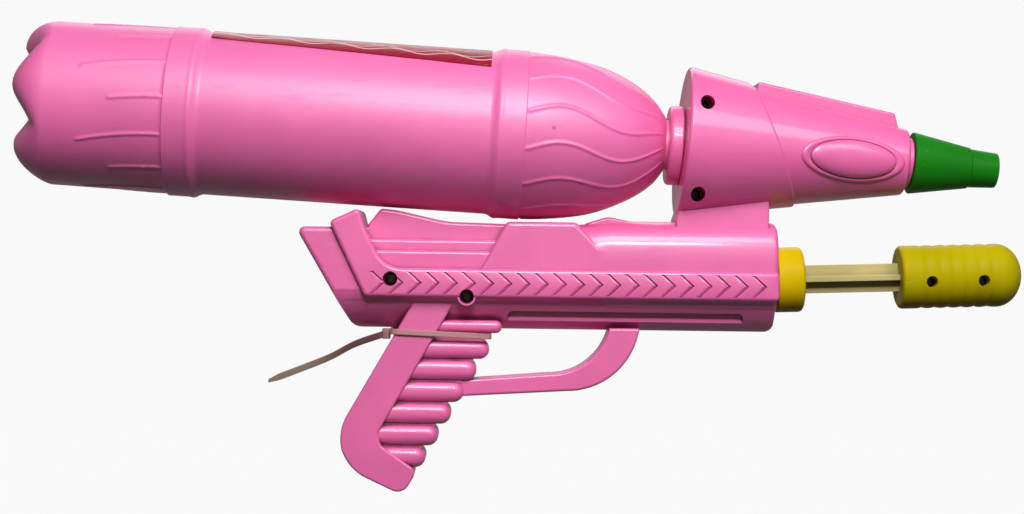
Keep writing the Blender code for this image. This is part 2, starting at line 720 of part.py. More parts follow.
def strap_outline():
    """Strap down the back of the grip that hooks forward round the butt and narrows to its tip."""
    heading = math.radians(-90 - GRIP_RAKE)
    total = STRAP_RUN + STRAP_BEND * math.pi / 2 + STRAP_HOOK
    spot = Vector(STRAP_TOP)
    stations = [(spot, heading, 0.0)]
    spot = spot + STRAP_RUN * Vector((math.cos(heading), math.sin(heading)))
    centre = spot + STRAP_BEND * Vector((-math.sin(heading), math.cos(heading)))
    bend_steps = 6
    for k in range(bend_steps + 1):
        turn = math.pi / 2 * k / bend_steps
        a = heading + turn
        place = centre + STRAP_BEND * Vector((math.sin(a), -math.cos(a)))
        stations.append((place, a, STRAP_RUN + STRAP_BEND * turn))
    last = heading + math.pi / 2
    end = stations[-1][0] + STRAP_HOOK * Vector((math.cos(last), math.sin(last)))
    stations.append((end, last, total))
    left, right = [], []
    widest = STRAP_RUN + STRAP_BEND * math.pi / 4
    for place, a, done in stations:
        wide = STRAP_WIDTH
        if done > widest:
            share = (done - widest) / (total - widest)
            wide = STRAP_BEND_WIDTH + (STRAP_TIP_WIDTH - STRAP_BEND_WIDTH) * share
        elif done > STRAP_RUN:
            wide += (STRAP_BEND_WIDTH - STRAP_WIDTH) * (done - STRAP_RUN) / (widest - STRAP_RUN)
        across = Vector((-math.sin(a), math.cos(a))) * wide / 2
        left.append((*(place + across), 0))
        right.append((*(place - across), 0))
    left[-1] = (*left[-1][:2], STRAP_TIP_WIDTH * 0.3)
    right[-1] = (*right[-1][:2], STRAP_TIP_WIDTH * 0.45)
    return rounded(right + left[::-1])


def strap_middle(z):
    """X of the strap's middle line at a height on its straight run."""
    return STRAP_TOP[0] - (STRAP_TOP[1] - z) * math.tan(math.radians(GRIP_RAKE))


def rib_front(i):
    """Front end and middle height of a finger rib."""
    drop = RIB_PITCH * i
    return RIB_FIRST[0] - drop * math.tan(math.radians(GRIP_RAKE)), RIB_FIRST[1] - drop


def rib_edges(i):
    """Lower and upper edge of a finger rib."""
    middle = rib_front(i)[1]
    half = (RIB_TOP_HEIGHT if i == 0 else RIB_HEIGHT) / 2
    return middle - half, middle + half - (RIB_TIE_ROOM if i == 1 else 0)


def rib_solid(i):
    """Finger rib with a round front end."""
    front = rib_front(i)[0]
    low, high = rib_edges(i)
    middle, height = (low + high) / 2, high - low
    rear = max(strap_middle(middle), strap_middle(-STRAP_RUN * 0.25))
    end = arc((front - height / 2, middle), height / 2, -90, 90, 6)
    outline = [(rear, middle - height / 2), *end, (rear, middle + height / 2)]
    return slab(f"rib_{i}", outline, -RIB_HALF, PAST * (1.2 + 0.03 * i), min(RIB_RIM, height * 0.36), 2)


def core_outline(skin=0.0):
    """Middle of the grip, behind the ribs' front ends."""
    top = RECEIVER_BOTTOM + WALL
    first, last = rib_front(0), rib_front(RIB_COUNT - 1)
    low = last[1] - RIB_HEIGHT * 0.3
    high = top - skin * 2
    lean = math.tan(math.radians(GRIP_RAKE))

    def front(z):
        """X of the core's front at a height."""
        return first[0] - CORE_SETBACK - skin - (first[1] - z) * lean
    bend = STRAP_TOP[1] - STRAP_RUN * math.cos(math.radians(GRIP_RAKE))
    rear = strap_middle(bend) + skin * 0.3
    return [(strap_middle(high) + skin * 0.3, high), (rear, bend), (rear + STRAP_BEND * 0.3, low + skin),
            (front(low + skin), low + skin), (front(high), high)]


def guard_outline():
    """Finger guard: a post under the receiver that sweeps round into a bar back to the grip."""
    rear = rib_front(3)[0] - RIB_HEIGHT * 0.6
    top = RECEIVER_BOTTOM + GUARD_ROOT
    outer = (GUARD_FRONT - GUARD_OUTER_RADIUS, GUARD_FRONT_Z + GUARD_OUTER_RADIUS)
    inner_x = GUARD_FRONT - GUARD_POST - GUARD_INNER_RADIUS
    inner = (inner_x, GUARD_FRONT_Z + GUARD_BAR + GUARD_INNER_RADIUS)
    outline = [(rear, GUARD_REAR_Z)]
    outer_end = math.degrees(math.asin((top - outer[1]) / GUARD_OUTER_RADIUS))
    inner_end = math.degrees(math.asin((top - inner[1]) / GUARD_INNER_RADIUS))
    outline += arc(outer, GUARD_OUTER_RADIUS, -90, outer_end, 7)
    outline += arc(inner, GUARD_INNER_RADIUS, inner_end, -90, 7)
    outline += [(rear, GUARD_REAR_Z + GUARD_BAR * 0.95)]
    return outline


def collar_radius(along):
    """Outside radius of the head's collar, a cone that narrows to the front."""
    slope = (COLLAR_RADIUS - COLLAR_STEP - HEAD_FRONT_RADIUS) / HEAD_LENGTH
    return COLLAR_RADIUS - slope * along


def head_collar():
    """Rear cone of the head, cut off by a slanted plane."""
    end = COLLAR_CUT + COLLAR_RADIUS
    rim = HEAD_REAR + COLLAR_RIM
    profile = [(HEAD_REAR, 0), (HEAD_REAR, COLLAR_RADIUS - COLLAR_RIM),
               (HEAD_REAR + COLLAR_RIM * 0.3, COLLAR_RADIUS - COLLAR_RIM * 0.3), (rim, collar_radius(rim)),
               (end, collar_radius(end)), (end, 0)]
    collar = turned("head_collar", profile, FINE_COUNT)
    reach = COLLAR_RADIUS * 2
    knife = block("collar_knife", (0, -reach, -reach), (reach, reach, reach))
    lean = Matrix.Rotation(math.radians(-COLLAR_SLANT), 4, 'Y')
    moved(knife, Matrix.Translation((COLLAR_CUT, 0, 0)) @ lean)
    return cut(collar, knife)


def head_cone(name, skin=0.0):
    """Front cone of the head, or its hollow when the skin is the wall's thickness."""
    rear = HEAD_REAR + (skin if skin else COLLAR_RIM)
    front = HEAD_LENGTH - skin
    inside = COLLAR_STEP + skin
    rim = HEAD_FRONT_RIM
    profile = [(rear, 0), (rear, collar_radius(rear) - inside),
               (front - rim, collar_radius(front - rim) - inside),
               (front - rim * 0.3, collar_radius(front) - inside - rim * 0.2),
               (front, collar_radius(front) - inside - rim * 0.8), (front, 0)]
    return turned(name, profile, MEDIUM_COUNT if skin > 0 else FINE_COUNT)


def head_ridge():
    """Sighting ridge along the top of the head, narrow at the front."""
    bed = HEAD_FRONT_RADIUS * 0.5
    rings = []
    for (along, top), half in ((RIDGE_REAR, RIDGE_REAR_HALF), (RIDGE_FRONT, RIDGE_FRONT_HALF)):
        lean = (top - bed) * 0.35 if along == RIDGE_FRONT[0] else -(top - bed) * 0.2
        rim, flat = top - RIDGE_RIM, half - RIDGE_RIM
        rings.append([(along + lean, -half, bed), (along, -half, rim), (along, -flat, top),
                      (along, flat, top), (along, half, rim), (along + lean, half, bed)])
    return loft("head_ridge", rings)


def oval_pad():
    """Raised oval on the side of the head that follows the cone."""
    pad = head_cone("oval_pad", -OVAL_RISE)
    rim = [(OVAL_CENTRE[0] + x, OVAL_CENTRE[1] + z)
           for x, z in [(OVAL_LENGTH / 2 * math.cos(a), OVAL_HEIGHT / 2 * math.sin(a))
                        for a in [2 * math.pi * k / MEDIUM_COUNT for k in range(MEDIUM_COUNT)]]]
    return keep_common(pad, slab("oval_edge", rim, -COLLAR_RADIUS, -PAST * 4))


def oval_dome():
    """Long dome in the middle of the oval."""
    half = DOME_LENGTH / 2
    steps = 6
    profile = [(-half * math.cos(math.pi * k / steps), DOME_HEIGHT / 2 * math.sin(math.pi * k / steps))
               for k in range(steps + 1)]
    dome = turned("oval_dome", profile)
    surface = collar_radius(OVAL_CENTRE[0]) - COLLAR_STEP + OVAL_RISE
    depth = DOME_RISE * 2.4
    slope = math.atan2(COLLAR_RADIUS - COLLAR_STEP - HEAD_FRONT_RADIUS, HEAD_LENGTH)
    flatten = Matrix.Diagonal((1, depth / (DOME_HEIGHT / 2), 1, 1))
    place = Matrix.Translation((OVAL_CENTRE[0], -(surface + DOME_RISE - depth), OVAL_CENTRE[1]))
    return moved(dome, place @ Matrix.Rotation(slope, 4, 'Z') @ flatten)


def shell_outside():
    """Outside of the right half, running a little past the parting plane."""
    shell = slab("shell_outside", chassis_outline(), -CHASSIS_HALF, PAST, CHASSIS_RIM, 2)
    keep_common(shell, belly_bar("belly", 0.0, RECEIVER_BOTTOM))
    band = slab("band", band_outline(), -BAND_HALF, PAST * 1.1, BAND_RIM)
    low = BAND_BOTTOM - BAND_SKIRT
    slope = [(0, low), (-belly_half(low) + PAST, low), (-BAND_HALF + BAND_RIM, BAND_BOTTOM + BAND_RIM * 0.5),
             (0, BAND_BOTTOM + BAND_RIM * 0.5)]
    skirt = bar_along_x("band_skirt", slope, BAND_LEG_FOOT + BAND_SKIRT, RECEIVER_FRONT - PAST)
    steps = [slab(f"step_{i}", step_outline(top), -half, PAST * (1.3 + 0.1 * i), STEP_RIM)
             for i, (top, half) in enumerate(zip(STEP_TOPS, STEP_HALVES))]
    flat = slab("flat_panel", flat_outline(), -FLAT_HALF, PAST * 1.6, FLAT_RIM, 2)
    housing = housing_solid("housing", 0.0, RECEIVER_FRONT - 0.4 * MM)
    bump_foot = DECK - DECK_BUMP_RISE
    bump = slab("deck_bump", rounded([
        (DECK_BUMP - DECK_BUMP_REAR, bump_foot, 0), (DECK_BUMP + DECK_BUMP_FRONT, bump_foot, 0),
        (DECK_BUMP + DECK_BUMP_FRONT, DECK, 0), (DECK_BUMP + DECK_BUMP_REAR, DECK + DECK_BUMP_RISE * 0.6, 0),
        (DECK_BUMP + DECK_BUMP_REAR * 0.4, DECK + DECK_BUMP_RISE, 0), (DECK_BUMP, DECK + DECK_BUMP_RISE, 0),
        (DECK_BUMP - DECK_BUMP_REAR, DECK, 0)]), -DECK_BUMP_HALF, PAST * 1.7, STEP_RIM)
    column = slab("column", rounded([
        (COLUMN_REAR, HOUSING_MIDDLE, 0), (COLUMN_FRONT, HOUSING_MIDDLE, 0),
        (COLUMN_FRONT, BOTTLE_ORIGIN[1] - HEAD_FRONT_RADIUS, 0),
        (COLUMN_REAR + WALL * 3, BOTTLE_ORIGIN[1] - HEAD_FRONT_RADIUS, 0),
        (COLUMN_REAR, BOTTLE_ORIGIN[1] - COLLAR_RADIUS + 1 * MM, 0)]), -COLUMN_HALF, PAST * 1.8, COLUMN_RIM)
    strap = slab("strap", strap_outline(), -GRIP_HALF, PAST * 1.9, STRAP_RIM)
    core = slab("core", core_outline(), -CORE_HALF, PAST * 2.0)
    ribs = [rib_solid(i) for i in range(RIB_COUNT)]
    guard = slab("guard", guard_outline(), -GUARD_HALF, PAST * 2.1, GUARD_RIM)
    head = [moved(piece, HEAD_FRAME) for piece in (head_cone("head_cone"), head_collar(), head_ridge(),
                                                   oval_pad(), oval_dome())]
    return join(shell, band, skirt, *steps, flat, housing, bump, column, strap, core, *ribs, guard, *head)


def shell_hollows():
    """Solids of the space inside the right half."""
    front = RECEIVER_FRONT - WALL * 1.3
    sill = keep_common(block("sill_hollow", (RECEIVER_REAR, -BAND_HALF, RECEIVER_BOTTOM),
                             (front, PAST * 3, HOUSING_MIDDLE)), belly_bar("sill_room", WALL, CHANNEL_TOP))
    channel = block("channel_hollow", (RECEIVER_REAR + PAST, -CHANNEL_HALF, RECEIVER_BOTTOM + WALL + GAP),
                    (front - PAST, PAST * 3.5, CHANNEL_TOP + PAST))
    fin = slab("fin_hollow", inset(rounded([
        (*FIN_TOP, 0), (raked(FIN_TOP, FIN_RAKE, RECEIVER_BOTTOM), RECEIVER_BOTTOM, 0),
        (RECEIVER_REAR + WALL * 2, RECEIVER_BOTTOM, 0), (RECEIVER_REAR + WALL * 2, BAND_TOP, 0),
        (NOTCH[0], FIN_TOP[1], 0)]), WALL * 1.2), -CHASSIS_HALF + WALL * 1.6, PAST * 3.1)
    keep_common(fin, belly_bar("fin_room", WALL * 1.3, CHANNEL_TOP - PAST))
    step = slab("step_hollow", inset(step_outline(None), WALL), -STEP_HALVES[0] + WALL, PAST * 3.2)
    housing = housing_solid("housing_hollow", WALL, RECEIVER_FRONT - WALL * 1.3)
    column = block("column_hollow", (COLUMN_REAR + WALL, -COLUMN_HALF + WALL, HOUSING_MIDDLE),
                   (COLUMN_FRONT - WALL, PAST * 3.3, BOTTLE_ORIGIN[1] - HEAD_FRONT_RADIUS * 0.6))
    grip = slab("grip_hollow", core_outline(WALL), -CORE_HALF + WALL, PAST * 3.4)
    head = moved(head_cone("head_hollow", WALL), HEAD_FRAME)
    return [sill, channel, fin, step, housing, column, grip, head]


def screw_places():
    """World (x, z) of every screw through the shells, by name."""
    places = dict(BODY_SCREWS)
    for name, (along, up) in HEAD_SCREWS.items():
        spot = HEAD_FRAME @ Vector((along, 0, up))
        places[name] = (spot.x, spot.z)
    return places


def boss_end(name):
    """Half width out to which a screw's boss reaches, unless the head's wall ends it first."""
    return BAND_HALF - BAND_RIM * 0.5 if name in BODY_SCREWS else COLLAR_RADIUS


def screw_boss(name, place):
    """Round boss for a screw, which ends in the wall of the receiver or of the head."""
    boss = side_bar("boss", place, PAST, -boss_end(name), BOSS_RADIUS)
    if name in HEAD_SCREWS:
        keep_common(boss, moved(head_cone("boss_end", WALL * 0.4), HEAD_FRAME))
    return boss


def side_bar(name, place, near, far, radius, steps=SMALL_COUNT):
    """Round bar across the object at a place in side view."""
    return rod(name, (place[0], near, place[1]), (place[0], far, place[1]), radius, steps)


def chevrons():
    """Row of arrow-shaped V grooves along the band, as one cutter."""
    low, high = BAND_BOTTOM + CHEVRON_MARGIN, BAND_TOP - CHEVRON_MARGIN
    middle = (low + high) / 2
    work = bmesh.new()
    for i in range(CHEVRON_COUNT):
        x = CHEVRON_FIRST + CHEVRON_PITCH * i
        spine = [(x, high), (x + CHEVRON_REACH, middle), (x, low)]
        near, floor, far = [[work.verts.new((px + shift, y, pz)) for px, pz in spine] for shift, y in (
            (-CHEVRON_GROOVE / 2, -BAND_HALF - CHEVRON_MARGIN), (0, -BAND_HALF + CHEVRON_DEPTH),
            (CHEVRON_GROOVE / 2, -BAND_HALF - CHEVRON_MARGIN))]
        for k in (0, 1):
            for side, other in ((near, floor), (floor, far), (far, near)):
                work.faces.new((side[k], side[k + 1], other[k + 1], other[k]))
        for k in (0, 2):
            work.faces.new((near[k], floor[k], far[k]))
    return solid_from(work, "chevrons")


def sill_groove():
    """Long groove with round ends in the sill."""
    half = SILL_GROOVE_HEIGHT / 2
    rear, front = SILL_GROOVE[0] + half, SILL_GROOVE[1] - half
    middle = SILL_GROOVE_MIDDLE
    outline = arc((front, middle), half, -90, 90, 6) + arc((rear, middle), half, 90, 270, 6)
    return slab("sill_groove", outline, -SILL_GROOVE_FLOOR, -CHASSIS_HALF - PAST)


def saddles():
    """Cradles in the shell that carry the pump cylinder from below."""
    pieces = []
    for along in SADDLES:
        low = PUMP_FRAME.inverted() @ Vector((RECEIVER_FRONT + along, 0, CHANNEL_TOP - WALL * 0.5))
        side = belly_half(CHANNEL_TOP) - WALL * 0.5
        pieces.append(moved(block("saddle", (along - SADDLE_WIDTH / 2, -side, low.z),
                                  (along + SADDLE_WIDTH / 2, PAST, 0)), PUMP_FRAME))
    return pieces


def half_shell():
    """Right half with its hollow, bosses, cradles and openings, before the screw holes."""
    shell = cut(shell_outside(), *shell_hollows())
    bosses = [screw_boss(name, place) for name, place in screw_places().items()]
    join(shell, *bosses, *saddles())
    reach = HEAD_LENGTH * 3
    other_half = block("other_half", (-reach, -SEAM / 2, -reach), (reach * 2, reach, reach * 2))
    rear_wall = HEAD_REAR + WALL + GAP
    socket = moved(turned("socket_hole", [
        *plug(HEAD_REAR - PAST * 2, rear_wall, SOCKET_RADIUS + GAP)[:3], (rear_wall, SOCKET_LIP + GAP),
        (SOCKET_END + GAP, SOCKET_LIP + GAP), (SOCKET_END + GAP, 0)]), BOTTLE_FRAME)
    through = plug(HEAD_LENGTH - WALL - PAST, HEAD_LENGTH + PAST, PIPE_WAIST + GAP)
    pipe = moved(turned("pipe_hole", through), HEAD_FRAME)
    pump = moved(turned("pump_hole", plug(CYLINDER_REAR - PAST, PAST * 3, CYLINDER_RADIUS + GAP)), PUMP_FRAME)
    return cut(shell, other_half, socket, pipe, pump, chevrons(), sill_groove())


def plug(start, end, radius):
    """Profile of a plain round bar."""
    return [(start, 0), (start, radius), (end, radius), (end, 0)]


def shells():
    """Both shells: the left one is the right one's mirror image with blind screw holes."""
    right = half_shell()
    right.name = "right_shell"
    left = add_object("left_shell", right.data.copy())
    moved(left, Matrix.Diagonal((1, -1, 1, 1)))
    deep, pilots = [], []
    for name, place in screw_places().items():
        deep.append(side_bar("counterbore", place, -SEAT_DEPTH, -boss_end(name) - COLLAR_RADIUS, COUNTERBORE))
        deep.append(side_bar("clearance", place, PAST, -SEAT_DEPTH - PAST, SCREW_SHANK + GAP))
        pilots.append(side_bar("pilot", place, -PAST, SCREW_BITE + PAST, SCREW_SHANK + GAP))
    merge_flats(cut(right, *deep))
    merge_flats(cut(left, *pilots))
    return right, left


def screw(name, place, seat, bite, head, shank):
    """Pan-head screw along Y, driven in from the right."""
    crown = SCREW_HEAD_HEIGHT
    profile = [(-seat - GAP - crown, 0), (-seat - GAP - crown, head * 0.55),
               (-seat - GAP - crown * 0.6, head * 0.92),
               (-seat - GAP, head), (-seat - GAP, shank), (bite - shank, shank), (bite, 0)]
    return moved(turned(name, profile, SMALL_COUNT), Matrix.Translation((place[0], 0, place[1])) @ SIDEWAYS)


def nozzle():
    """Tapered nozzle pushed over the outlet pipe."""
    rear = HEAD_LENGTH + GAP + PIPE_RING_WIDTH + GAP
    waist = rear + NOZZLE_TAPER
    tip = waist + NOZZLE_TIP
    end = PIPE_STUB_END + GAP * 2
    throat = tip - NOZZLE_ORIFICE_LENGTH
    profile = [
        (rear, PIPE_STUB + GAP), (end, PIPE_STUB + GAP), (end, NOZZLE_CHANNEL), (throat, NOZZLE_CHANNEL),
        (throat, NOZZLE_ORIFICE), (tip, NOZZLE_ORIFICE), (tip, NOZZLE_TIP_RADIUS - NOZZLE_RIM),
        (tip - NOZZLE_RIM, NOZZLE_TIP_RADIUS), (waist + NOZZLE_STEP, NOZZLE_NECK - NOZZLE_STEP),
        (waist, NOZZLE_NECK), (rear + NOZZLE_RIM, NOZZLE_RADIUS), (rear, NOZZLE_RADIUS - NOZZLE_RIM)]
    return turned("nozzle", profile)


def outlet_pipe():
    """Pipe trapped in the head's front wall, with a barb behind and a stub for the nozzle."""
    lip_front = HEAD_LENGTH - WALL - GAP
    lip_rear = lip_front - PIPE_LIP_WIDTH
    ring = HEAD_LENGTH + GAP
    profile = [
        (lip_rear - PIPE_BARB_LENGTH, BARB_BORE), (PIPE_STUB_END, BARB_BORE), (PIPE_STUB_END, PIPE_STUB),
        (ring + PIPE_RING_WIDTH, PIPE_STUB), (ring + PIPE_RING_WIDTH, PIPE_RING), (ring, PIPE_RING),
        (ring, PIPE_WAIST), (lip_front, PIPE_WAIST), (lip_front, PIPE_LIP), (lip_rear, PIPE_LIP),
        (lip_rear, BARB_RADIUS), (lip_rear - PIPE_BARB_LENGTH, BARB_RADIUS)]
    return turned("outlet_pipe", profile)


def bottle_socket():
    """Threaded socket for the bottle's neck, with an elbow down to the feed hose."""
    bore = NECK_RADIUS + GAP * 1.5
    wall = SOCKET_END - SOCKET_END_WALL
    face = HEAD_REAR - SOCKET_STAND_OFF
    lip = HEAD_REAR + WALL + GAP * 1.5
    elbow = SOCKET_END + ELBOW_LENGTH
    profile = [
        (wall - TUBE_SPIGOT_LENGTH, PORT_BORE), (wall - TUBE_SPIGOT_LENGTH, TUBE_SPIGOT), (wall, TUBE_SPIGOT),
        (wall, bore), (SOCKET_REAR, bore), (SOCKET_REAR, SOCKET_FLANGE), (face, SOCKET_FLANGE),
        (face, SOCKET_RADIUS), (lip, SOCKET_RADIUS), (lip, SOCKET_LIP),
        (lip + SOCKET_LIP_WIDTH, SOCKET_LIP), (lip + SOCKET_LIP_WIDTH, SOCKET_RADIUS),
        (SOCKET_END, SOCKET_RADIUS),
        (SOCKET_END, ELBOW_RADIUS), (elbow, ELBOW_RADIUS), (elbow, 0),
        (elbow - SOCKET_END_WALL, 0), (elbow - SOCKET_END_WALL, PORT_BORE)]
    socket = turned("bottle_socket", profile)
    middle = SOCKET_END + ELBOW_LENGTH / 2
    drop = -ELBOW_RADIUS - BARB_LENGTH
    join(socket, rod("barb", (middle, 0, -PORT_BORE * 1.5), (middle, 0, drop), BARB_RADIUS))
    cut(socket, rod("barb_bore", (middle, 0, 0), (middle, 0, drop - PAST), BARB_BORE))
    return socket


def mouth_washer():
    """Flat seal between the bottle's mouth and the socket's end wall."""
    rear = NECK_END + GAP
    front = rear + WASHER_THICKNESS
    outside = NECK_RADIUS - GAP * 0.5
    profile = [(rear, WASHER_BORE), (front, WASHER_BORE), (front, outside), (rear, outside)]
    return turned("mouth_washer", profile)


def nose_start():
    """Place of the front ring's front edge, where the nose begins."""
    reach = math.sqrt(1 - ((NECK_RADIUS + GAP * 4) / NOSE_RADIUS) ** 2)
    return SHOULDER - NOSE_LENGTH * reach


def bottle_stations():
    """Outside of the bottle from mouth to heel: place, radius, sway of the ribs, shares of their height."""
    start = nose_start()
    stations = [(NECK_END, NECK_RADIUS, 0, 0, 0), (SHOULDER, NECK_RADIUS, 0, 0, 0)]
    nose_steps = 7
    last = math.asin((SHOULDER - start) / NOSE_LENGTH)
    for k in range(nose_steps + 1):
        angle = last * (1 - k / nose_steps)
        done = NOSE_LENGTH * math.sin(angle)
        swing = (0.7 + 0.5 * done / (0.8 * EMBOSS_WAVE)) * EMBOSS_SWAY
        sway = swing * math.sin(2 * math.pi * done / EMBOSS_WAVE)
        share = 0 if k in (0, nose_steps) else 1
        stations.append((start + done, NOSE_RADIUS * math.cos(angle), sway, share, share))
    rear = start - RING_WIDTH
    second = rear - BARREL_LENGTH
    cup = second - RING_WIDTH
    turn = -EMBOSS_CUP_TURN
    stations += [
        (start - GAP, RING_RADIUS, 0, 0, 0), (rear + RING_BEAD, RING_RADIUS, 0, 0, 0),
        (rear, BOTTLE_RADIUS, 0, 0, 0),
        (second, BOTTLE_RADIUS, turn, 0, 0), (second - RING_BEAD, RING_RADIUS, turn, 0, 0),
        (cup + GAP, RING_RADIUS, turn, 0, 0), (cup, CUP_RADIUS, turn, 0, 0)]
    for share, done in ((1, 0.05), (1, EMBOSS_SHORT / CUP_LENGTH), (0.99, EMBOSS_LONG / CUP_LENGTH), (0, 1)):
        radius = CUP_RADIUS + (CUP_END_RADIUS - CUP_RADIUS) * done
        sway = turn - EMBOSS_CUP_SWAY * min(1, done * CUP_LENGTH / EMBOSS_LONG)
        short = share if done * CUP_LENGTH <= EMBOSS_SHORT else 0
        stations.append((cup - CUP_LENGTH * done, radius, sway, share, short))
    return stations


def base_depth(radius, angle):
    """How far the base reaches below the heel: feet between shallow valleys."""
    if radius > FOOT_RADIUS:
        share = (radius - FOOT_RADIUS) / (CUP_END_RADIUS - FOOT_RADIUS)
        round_off = math.sqrt(max(0.0, 1 - share ** 2))
        foot, valley = BASE_DEPTH * round_off, VALLEY_DEPTH * round_off
    else:
        share = (radius / FOOT_RADIUS) ** 2
        foot, valley = [BASE_CROWN + (depth - BASE_CROWN) * share for depth in (BASE_DEPTH, VALLEY_DEPTH)]
    weight = (0.5 + 0.5 * math.cos(BASE_LOBES * math.radians(angle - LOBE_TURN))) ** LOBE_FULLNESS
    return valley + (foot - valley) * weight


def on_bottle(along, radius, angle):
    """Point of the bottle at an angle in degrees, counted up from the right side."""
    a = math.radians(angle)
    return (along, -radius * math.cos(a), radius * math.sin(a))


def bottle():
    """Blown bottle: neck, fluted nose, two rings, ribbed cup and a footed base, hollow from the mouth."""
    pitch = 360 / EMBOSS_COUNT
    columns = []
    for k in range(EMBOSS_COUNT):
        middle = pitch * (k + 0.5)
        columns += [(k, middle - EMBOSS_HALF_ANGLE, 0), (k, middle, EMBOSS_RISE),
                    (k, middle + EMBOSS_HALF_ANGLE, 0), (k, middle + pitch / 2, 0)]
    rings = []
    for along, radius, sway, long_share, short_share in bottle_stations():
        ring = []
        for k, angle, rise in columns:
            share = long_share if k % 2 else short_share
            ring.append(on_bottle(along, radius + rise * share, angle + sway))
        rings.append(ring)
    heel = bottle_stations()[-1]
    heel_steps = 3
    radii = [FOOT_RADIUS + (CUP_END_RADIUS - FOOT_RADIUS) * math.cos(math.pi / 2 * k / heel_steps)
             for k in range(1, heel_steps + 1)]
    for radius in radii + [FOOT_RADIUS * 0.6, FOOT_RADIUS * 0.12]:
        rings.append([on_bottle(heel[0] - base_depth(radius, angle + heel[2]), radius, angle + heel[2])
                      for k, angle, rise in columns])
    body = loft("bottle", rings)
    return cut(body, bottle_hollow(heel[0]))


def bottle_hollow(heel):
    """Space inside the bottle, open through the neck."""
    start = nose_start()
    bore = NECK_RADIUS - NECK_WALL
    profile = [(NECK_END + PAST, 0), (NECK_END + PAST, bore), (SHOULDER - NECK_WALL, bore)]
    inner_radius, inner_length = NOSE_RADIUS - BOTTLE_WALL, NOSE_LENGTH - BOTTLE_WALL
    nose_steps = 5
    first = math.acos((bore + BOTTLE_WALL) / inner_radius)
    for k in range(nose_steps + 1):
        angle = first * (1 - k / nose_steps)
        profile.append((start + inner_length * math.sin(angle), inner_radius * math.cos(angle)))
    rear = start - RING_WIDTH
    barrel = BOTTLE_RADIUS - BOTTLE_WALL
    cup_end = CUP_END_RADIUS - BOTTLE_WALL
    profile += [(rear, barrel), (rear - BARREL_LENGTH, barrel), (heel + BASE_CROWN * 0.5, cup_end),
                (heel + BOTTLE_WALL, cup_end * 0.8), (heel - BASE_CROWN * 0.4, cup_end * 0.4),
                (heel - BASE_CROWN + BOTTLE_WALL * 2, 0)]
    return turned("bottle_hollow", profile, MEDIUM_COUNT)


def bottle_label():
    """Thin wrap stuck on the top of the bottle, a little askew."""
    front = nose_start() - RING_WIDTH - LABEL_INSET
    rear = front - BARREL_LENGTH + LABEL_INSET * 2
    inside = BOTTLE_RADIUS + GAP
    arc_steps, length_steps = 8, 4
    rings = []
    for k in range(length_steps + 1):
        along = rear + (front - rear) * k / length_steps
        low = LABEL_LOW_REAR + (LABEL_LOW_FRONT - LABEL_LOW_REAR) * k / length_steps
        angles = [low + LABEL_SPAN * j / arc_steps for j in range(arc_steps + 1)]
        ring = [on_bottle(along, inside, angle) for angle in angles]
        ring += [on_bottle(along, inside + LABEL_THICKNESS, angle) for angle in angles[::-1]]
        rings.append(ring)
    return loft("bottle_label", rings)


def pickup_tube():
    """Tube from the socket's spigot through the neck to the low side of the bottle."""
    wall = SOCKET_END - SOCKET_END_WALL
    low = -BOTTLE_RADIUS + TUBE_RADIUS * 2.2
    reach = nose_start() - RING_WIDTH * 2 - BARREL_LENGTH
    route = [(wall - GAP * 2, 0, 0), (SHOULDER, 0, 0), (SHOULDER - 24 * MM, 0, -3 * MM),
             (nose_start(), 0, low * 0.55), (nose_start() - BARREL_LENGTH * 0.4, 0, low * 0.92),
             (nose_start() - BARREL_LENGTH * 0.75, 0, low), (reach, 0, low)]
    return swept_tube("pickup_tube", smooth_path(route, TUBE_STEP), TUBE_RADIUS, TUBE_BORE)


def pump_cylinder():
    """Pump barrel with a flange behind the front wall and a nipple for the valve block."""
    flange = -WALL * 1.3 - GAP * 3
    nipple = CYLINDER_REAR - CYLINDER_NIPPLE_LENGTH
    profile = [
        (nipple, PORT_BORE), (CYLINDER_REAR + CYLINDER_REAR_WALL, PORT_BORE),
        (CYLINDER_REAR + CYLINDER_REAR_WALL, CYLINDER_BORE), (CYLINDER_FRONT, CYLINDER_BORE),
        (CYLINDER_FRONT, CYLINDER_RADIUS), (flange, CYLINDER_RADIUS), (flange, CYLINDER_FLANGE),
        (flange - CYLINDER_FLANGE_WIDTH, CYLINDER_FLANGE), (flange - CYLINDER_FLANGE_WIDTH, CYLINDER_RADIUS),
        (CYLINDER_REAR, CYLINDER_RADIUS), (CYLINDER_REAR, CYLINDER_NIPPLE), (nipple, CYLINDER_NIPPLE)]
    return turned("pump_cylinder", profile)


def gland_cap():
    """Screw cap on the front of the cylinder that guides the rod."""
    bore = CYLINDER_RADIUS + GAP * 1.3
    guide = math.hypot(ROD_SIZE / 2, ROD_WEB / 2) + GAP * 1.5
    wall = GLAND_LENGTH - GLAND_WALL
    profile = [
        (GAP * 2, bore), (wall, bore), (wall, guide), (GLAND_LENGTH, guide),
        (GLAND_LENGTH, GLAND_RADIUS - GLAND_RIM),
        (GLAND_LENGTH - GLAND_RIM * 0.3, GLAND_RADIUS - GLAND_RIM * 0.3),
        (GLAND_LENGTH - GLAND_RIM, GLAND_RADIUS),
        (GAP * 2, GLAND_RADIUS)]
    return turned("gland_cap", profile)


